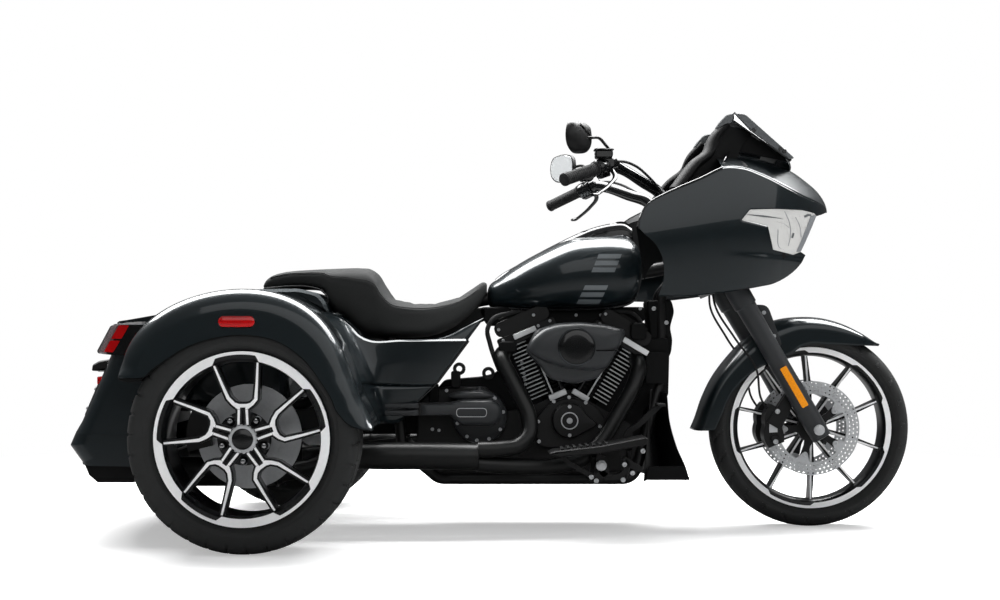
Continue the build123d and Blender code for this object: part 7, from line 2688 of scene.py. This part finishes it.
@dataclass
class Controls:
    """Everything that the hands reach: a swept-up bar with grips, switches, levers, clamps and mirrors."""

    RINGS = 15  # rings round each grip
    RING_STEP = 0.0085
    MIRROR_TURN = math.radians(32.0)

    elbow: tuple[float, float, float] = (0.345, -0.295, 1.136)
    end: tuple[float, float, float] = (0.195, -0.43, 1.072)
    mirror: tuple[float, float, float] = (0.243, -0.4, 1.2)

    def __post_init__(self) -> None:
        """Find the way along the grip."""
        run = np.subtract(self.end, self.elbow)
        self.run = run / np.linalg.norm(run)

    def build(self) -> None:
        """Make both sides' pieces."""
        self._bar()
        grip = [(0.015, 0.074), (0.0215, 0.074), (0.0225, 0.077), (0.0215, 0.08)]
        for start in 0.082 + self.RING_STEP * np.arange(self.RINGS):
            grip += [
                (0.018, start), (0.0188, start + 0.001), (0.0188, start + 0.0065), (0.018, start + 0.0075)
            ]
        grip += [(0.02, 0.211), (0.0195, 0.216), (0.012, 0.2175), (0.0, 0.2175)]
        turn = facing(self.run)
        piece(
            "grip_pair",
            turned(grip, 40).placed(turn, self.elbow).both(),
            GRIP_RUBBER,
            ["grips"],
            body=Body.FORK,
        )
        self._hand_controls(turn)
        self._mirrors()
        self._clamps()

    def _bar(self) -> None:
        """Sweep the bar and its control cable."""
        half = [
            (0.5599, 0.0, 0.9848), (0.5575, -0.06, 0.988), (0.545, -0.108, 1.008), (0.524, -0.136, 1.04),
            (0.5, -0.157, 1.0665), (0.459, -0.1935, 1.085), (0.386, -0.2585, 1.1177), (0.362, -0.28, 1.127),
            (0.344, -0.296, 1.13), (0.325, -0.313, 1.1255), (0.3, -0.3355, 1.1168), (0.196, -0.429, 1.0724),
        ]
        line = curve(half, 90)
        whole = np.concatenate([line[::-1], line[1:] * (1.0, -1.0, 1.0)])
        piece("handlebar_tube", swept(whole, 0.0159, 24), GLOSS_BLACK, ["handlebar"], body=Body.FORK)
        cable = curve(
            [
                (0.352, -0.3, 1.14), (0.385, -0.285, 1.141), (0.42, -0.262, 1.131), (0.458, -0.225, 1.108),
                (0.494, -0.19, 1.077), (0.512, -0.165, 1.056), (0.524, -0.14, 1.025),
            ],
            50,
        )
        second = curve(
            [
                (0.34, -0.3, 1.115), (0.372, -0.275, 1.108), (0.44, -0.215, 1.076), (0.5, -0.155, 1.045),
                (0.535, -0.11, 0.995),
            ],
            40,
        )
        cables = joined([swept(cable, 0.0042, 10), swept(second, 0.0042, 10)])
        piece("control_cables", cables.both(), GRIP_RUBBER, body=Body.FORK)

    def _hand_controls(self, turn: Array) -> None:
        """Switch housings, lever perches with their reservoirs, and the two levers.

        Args:
            turn: The matrix that turns the y axis to the grip's direction.
        """
        housing = turned(
            [
                (0.015, 0.02), (0.0225, 0.021), (0.0245, 0.025), (0.0245, 0.046), (0.024, 0.047),
                (0.0245, 0.048), (0.0245, 0.066), (0.0225, 0.072), (0.015, 0.073),
            ],
            32,
        )
        pod = slab((-0.012, 0.026, -0.034), (0.014, 0.066, -0.01), 0.006, 0.003)
        perch = turned([(0.015, -0.006), (0.0215, -0.005), (0.0215, 0.017), (0.015, 0.018)], 28)
        tank = [
            slab((0.291, -0.345, 1.146), (0.344, -0.302, 1.17), 0.007, 0.004),
            slab((0.288, -0.347, 1.1695), (0.347, -0.3, 1.1745), 0.006, 0.002),
            slab((0.3, -0.335, 1.118), (0.352, -0.3, 1.148), 0.01, 0.004),
        ]
        lever = curve(
            [
                (0.338, -0.318, 1.118), (0.35, -0.345, 1.092), (0.33, -0.385, 1.062),
                (0.303, -0.425, 1.038), (0.285, -0.447, 1.026), (0.272, -0.462, 1.024),
            ],
            40,
        )
        size = np.interp(
            np.linspace(0, 1, 40), (0.0, 0.2, 0.85, 0.93, 1.0), (0.009, 0.0075, 0.0062, 0.0085, 0.006)
        )
        on_bar = joined([housing, pod, perch]).placed(turn, self.elbow)
        body = [on_bar, *tank, swept(lever, size, 14, 0.7)]
        piece("hand_control_castings", joined(body).both(), GLOSS_BLACK, ["hand_controls"], body=Body.FORK)
        keys = [
            slab((0.0135, along - 0.004, -0.03), (0.0175, along + 0.004, -0.015), 0.001)
            for along in (0.034, 0.046, 0.058)
        ]
        piece("switch_keys", joined(keys).placed(turn, self.elbow).both(), VISOR_GREY, body=Body.FORK)
        caps = [
            (0.296, -0.339, 1.1746), (0.339, -0.308, 1.1746), (0.296, -0.308, 1.1746),
            (0.339, -0.339, 1.1746),
        ]
        piece("reservoir_screws", bolts(caps, UP, 0.0032, 0.0015).both(), BRUSHED_STEEL, body=Body.FORK)

    def _mirrors(self) -> None:
        """Tapered housings on bent stems; the glass looks back at the rider."""
        outline = curve(
            [
                (-0.069, 0.006), (-0.06, 0.034), (-0.028, 0.045), (0.02, 0.046), (0.058, 0.036),
                (0.07, 0.008), (0.064, -0.024), (0.036, -0.045), (-0.01, -0.047), (-0.05, -0.036),
                (-0.066, -0.016), (-0.069, 0.006),
            ],
            49,
        )[:-1]
        back = np.array(
            [
                (1.0, 0.0), (1.0, 0.006), (0.975, 0.012), (0.91, 0.018), (0.8, 0.0225), (0.55, 0.026),
                (0.2, 0.0275),
            ],
        )
        rings = np.stack(
            [
                np.column_stack(
                    [
                        outline[:, 0] * k + 0.01 * (1 - k),
                        np.full(48, y),
                        outline[:, 1] * k + 0.012 * (1 - k),
                    ],
                )
                for k, y in back
            ],
        )
        turn = facing((math.cos(self.MIRROR_TURN), -math.sin(self.MIRROR_TURN), 0.0))
        at = np.asarray(self.mirror) - turn @ np.array([0.0, 0.013, 0.0])
        crease = ribbon(
            [(-0.045, 0.006), (-0.008, 0.02), (0.03, 0.036)], (0.001, 0.006, 0.001), 0.0255, 0.029
        )
        stem = curve(
            [
                (0.322, -0.325, 1.15), (0.332, -0.33, 1.17), (0.318, -0.338, 1.19), (0.302, -0.35, 1.204),
                (0.28, -0.372, 1.203), (0.262, -0.388, 1.201),
            ],
            40,
        )
        parts = [
            lattice(rings, around=True, capped=True).placed(turn, at),
            crease.placed(turn, at),
            swept(stem, 0.0048, 14),
        ]
        piece("mirror_housings", joined(parts).both(), SATIN_BLACK, ["mirrors"], body=Body.FORK)
        face = outline * 0.93
        glass = plate(face, -0.0012, 0.001, 0.0005).placed(turn, at)
        # The glass's near-white colour is a painted reflection, not a mirror's own.
        piece("mirror_glasses", glass.both(), MIRROR_GLASS, body=Body.FORK)

    def _clamps(self) -> None:
        """Two risers that hold the bar on the upper clamp."""
        risers = []
        for y in (-0.052, 0.052):
            ring = turned(
                [
                    (0.0158, -0.014), (0.0255, -0.013), (0.0262, -0.01), (0.0262, 0.01), (0.0255, 0.013),
                    (0.0158, 0.014),
                ],
                32,
                closed=True,
            )
            risers.append(ring.placed(at=(0.558, y, 0.9868)))
        piece("bar_clamps", joined(risers), SATIN_BLACK, body=Body.FORK)


# ---- Stage, light and camera ----


@dataclass
class Studio:
    """A pale floor, soft lamps and the camera, beside the vehicle on its right."""

    NEAR = 1.7  # where the floor starts to fade to white, from the middle
    FAR = 3.6  # where it is white
    GROUND = 30.0  # half the floor's side

    eye: tuple[float, float, float] = (-0.0545, -4.658, 0.614)
    lens: float = 51.88
    shift: tuple[float, float] = (0.02, 0.0355)

    def build(self) -> None:
        """Make the floor, the world, the lamps and the camera."""
        self._floor()
        self._world()
        self._lamp("top", (0.0, 0.9, 3.1), (7.5, 2.0), 560.0)
        self._lamp("front", (2.6, -5.0, 3.6), (13.0, 4.6), 122.0)
        data = bpy.data.cameras.new("camera")
        data.lens = self.lens
        data.sensor_width = 36.0
        data.shift_x, data.shift_y = self.shift
        data.clip_end = 60.0
        camera = bpy.data.objects.new("camera", data)
        camera.location = self.eye
        camera.rotation_euler = (math.pi / 2.0, 0.0, 0.0)
        bpy.context.scene.collection.objects.link(camera)
        bpy.context.scene.camera = camera
        bpy.context.scene.view_settings.view_transform = "Standard"

    def _floor(self) -> None:
        """Lay the floor: white to the camera and through glass except for the shadow, plain matt to other
        rays, and a dimmer grey in glossy reflections, which paints shade onto the vehicle's downward-facing
        glossy faces.
        """
        mesh = bpy.data.meshes.new("floor")
        corners = [(x * self.GROUND, y * self.GROUND, 0.0) for x, y in ((-1, -1), (1, -1), (1, 1), (-1, 1))]
        mesh.from_pydata(corners, [], [(0, 1, 2, 3)])
        floor = bpy.data.objects.new("floor", mesh)
        bpy.context.scene.collection.objects.link(floor)
        made = bpy.data.materials.new("pale_floor")
        made.use_nodes = True
        tree = made.node_tree
        tree.nodes.clear()
        matt = add_node(tree, "BsdfDiffuse", None, {"Color": linear("f4f4f4")}).outputs[0]
        glow = add_node(tree, "Emission", None, {"Color": WHITE, "Strength": 0.42}).outputs[0]
        near = add_node(tree, "AddShader", None, {0: matt, 1: glow}).outputs[0]
        white = add_node(tree, "Emission", None, {"Color": WHITE, "Strength": 1.0}).outputs[0]
        place = add_node(tree, "TexCoord").outputs["Object"]
        reach = add_node(tree, "VectorMath", {"operation": "LENGTH"}, {0: place}).outputs["Value"]
        far = add_node(tree, "MapRange", None, {0: reach, 1: self.NEAR, 2: self.FAR}).outputs[0]
        lit = add_node(tree, "MixShader", None, {0: far, 1: near, 2: white}).outputs[0]
        path, seen = self._seen(tree)
        # A dimmer grey seen only in glossy reflections: painted shade on the vehicle's downward-facing
        # surfaces.
        floor_reflection_shade = add_node(tree, "BsdfDiffuse", None, {"Color": linear("6c6c6c")}).outputs[0]
        unseen = add_node(
            tree, "MixShader", None, {0: path.outputs["Is Glossy Ray"], 1: matt, 2: floor_reflection_shade}
        ).outputs[0]
        mixed = add_node(tree, "MixShader", None, {0: seen, 1: unseen, 2: lit}).outputs[0]
        add_node(tree, "OutputMaterial", None, {"Surface": mixed})
        mesh.materials.append(made)

    def _world(self) -> None:
        """Light from all round at a plain level; the background itself shows white."""
        world = bpy.data.worlds.new("studio")
        bpy.context.scene.world = world
        world.use_nodes = True
        tree = world.node_tree
        tree.nodes.clear()
        seen = self._seen(tree)[1]
        way = add_node(tree, "TexCoord").outputs["Generated"]
        height = add_node(tree, "SeparateXYZ", None, {0: way}).outputs["Z"]
        level = add_node(tree, "MapRange", None, {0: height, 1: 0.0, 2: 0.9, 3: 0.04, 4: 0.3}).outputs[0]
        soft = add_node(tree, "Background", None, {"Color": linear("f2f4f6"), "Strength": level}).outputs[0]
        white = add_node(tree, "Background", None, {"Color": WHITE, "Strength": 1.0}).outputs[0]
        mixed = add_node(tree, "MixShader", None, {0: seen, 1: soft, 2: white}).outputs[0]
        add_node(tree, "OutputWorld", None, {"Surface": mixed})

    @staticmethod
    def _seen(tree: bpy.types.NodeTree) -> tuple[bpy.types.Node, bpy.types.NodeSocket]:
        """The light path's node, and what is one for rays that come straight or through glass.

        Args:
            tree: The material's or the world's nodes.

        Returns:
            The light path's node and the output that is one for such rays.
        """
        path = add_node(tree, "LightPath")
        kinds = {0: path.outputs["Is Camera Ray"], 1: path.outputs["Is Transmission Ray"]}
        return path, add_node(tree, "Math", {"operation": "MAXIMUM"}, kinds).outputs[0]

    def _lamp(
        self, name: str, place: tuple[float, float, float], size: tuple[float, float], power: float
    ) -> None:
        """Hang a long soft lamp at a place, facing the vehicle's middle.

        Args:
            name: The lamp's name.
            place: Where it hangs.
            size: Its two sides.
            power: Its power in watts.
        """
        data = bpy.data.lights.new(name, "AREA")
        data.shape = "RECTANGLE"
        data.size, data.size_y = size
        data.energy = power
        lamp = bpy.data.objects.new(name, data)
        lamp.location = place
        to_middle = Vector((0.0, 0.0, 0.5)) - lamp.location
        lamp.rotation_euler = to_middle.to_track_quat("-Z", "Y").to_euler()
        bpy.context.scene.collection.objects.link(lamp)


def dress_cad(frame: dict[str, object]) -> None:
    """Give every carried-over CAD node the finish of its record slot.
    """
    slots = {part["node"]: part["material_slot"] for part in frame["record"]["subparts"]}
    for name, node in frame["nodes"].items():
        node.data.materials.clear()
        node.data.materials.append(CAD_FINISHES[slots[name]].material())


ASSEMBLIES = (
    FrontWheel(),
    RearWheel(),
    Fork(),
    FrontFender(),
    Fairing(),
    Tank(),
    Seat(),
    SideCovers(),
    Engine(),
    Exhaust(),
    Feet(),
    Tail(),
    Controls(),
)


def main() -> None:
    """Build the stage and every sub-assembly, then dress the carried-over CAD nodes."""
    logging.basicConfig(level=logging.INFO, format="%(message)s")
    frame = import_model()
    Studio().build()
    for assembly in ASSEMBLIES:
        assembly.build()
    dress_cad(frame)


if __name__ == "__main__":
    main()
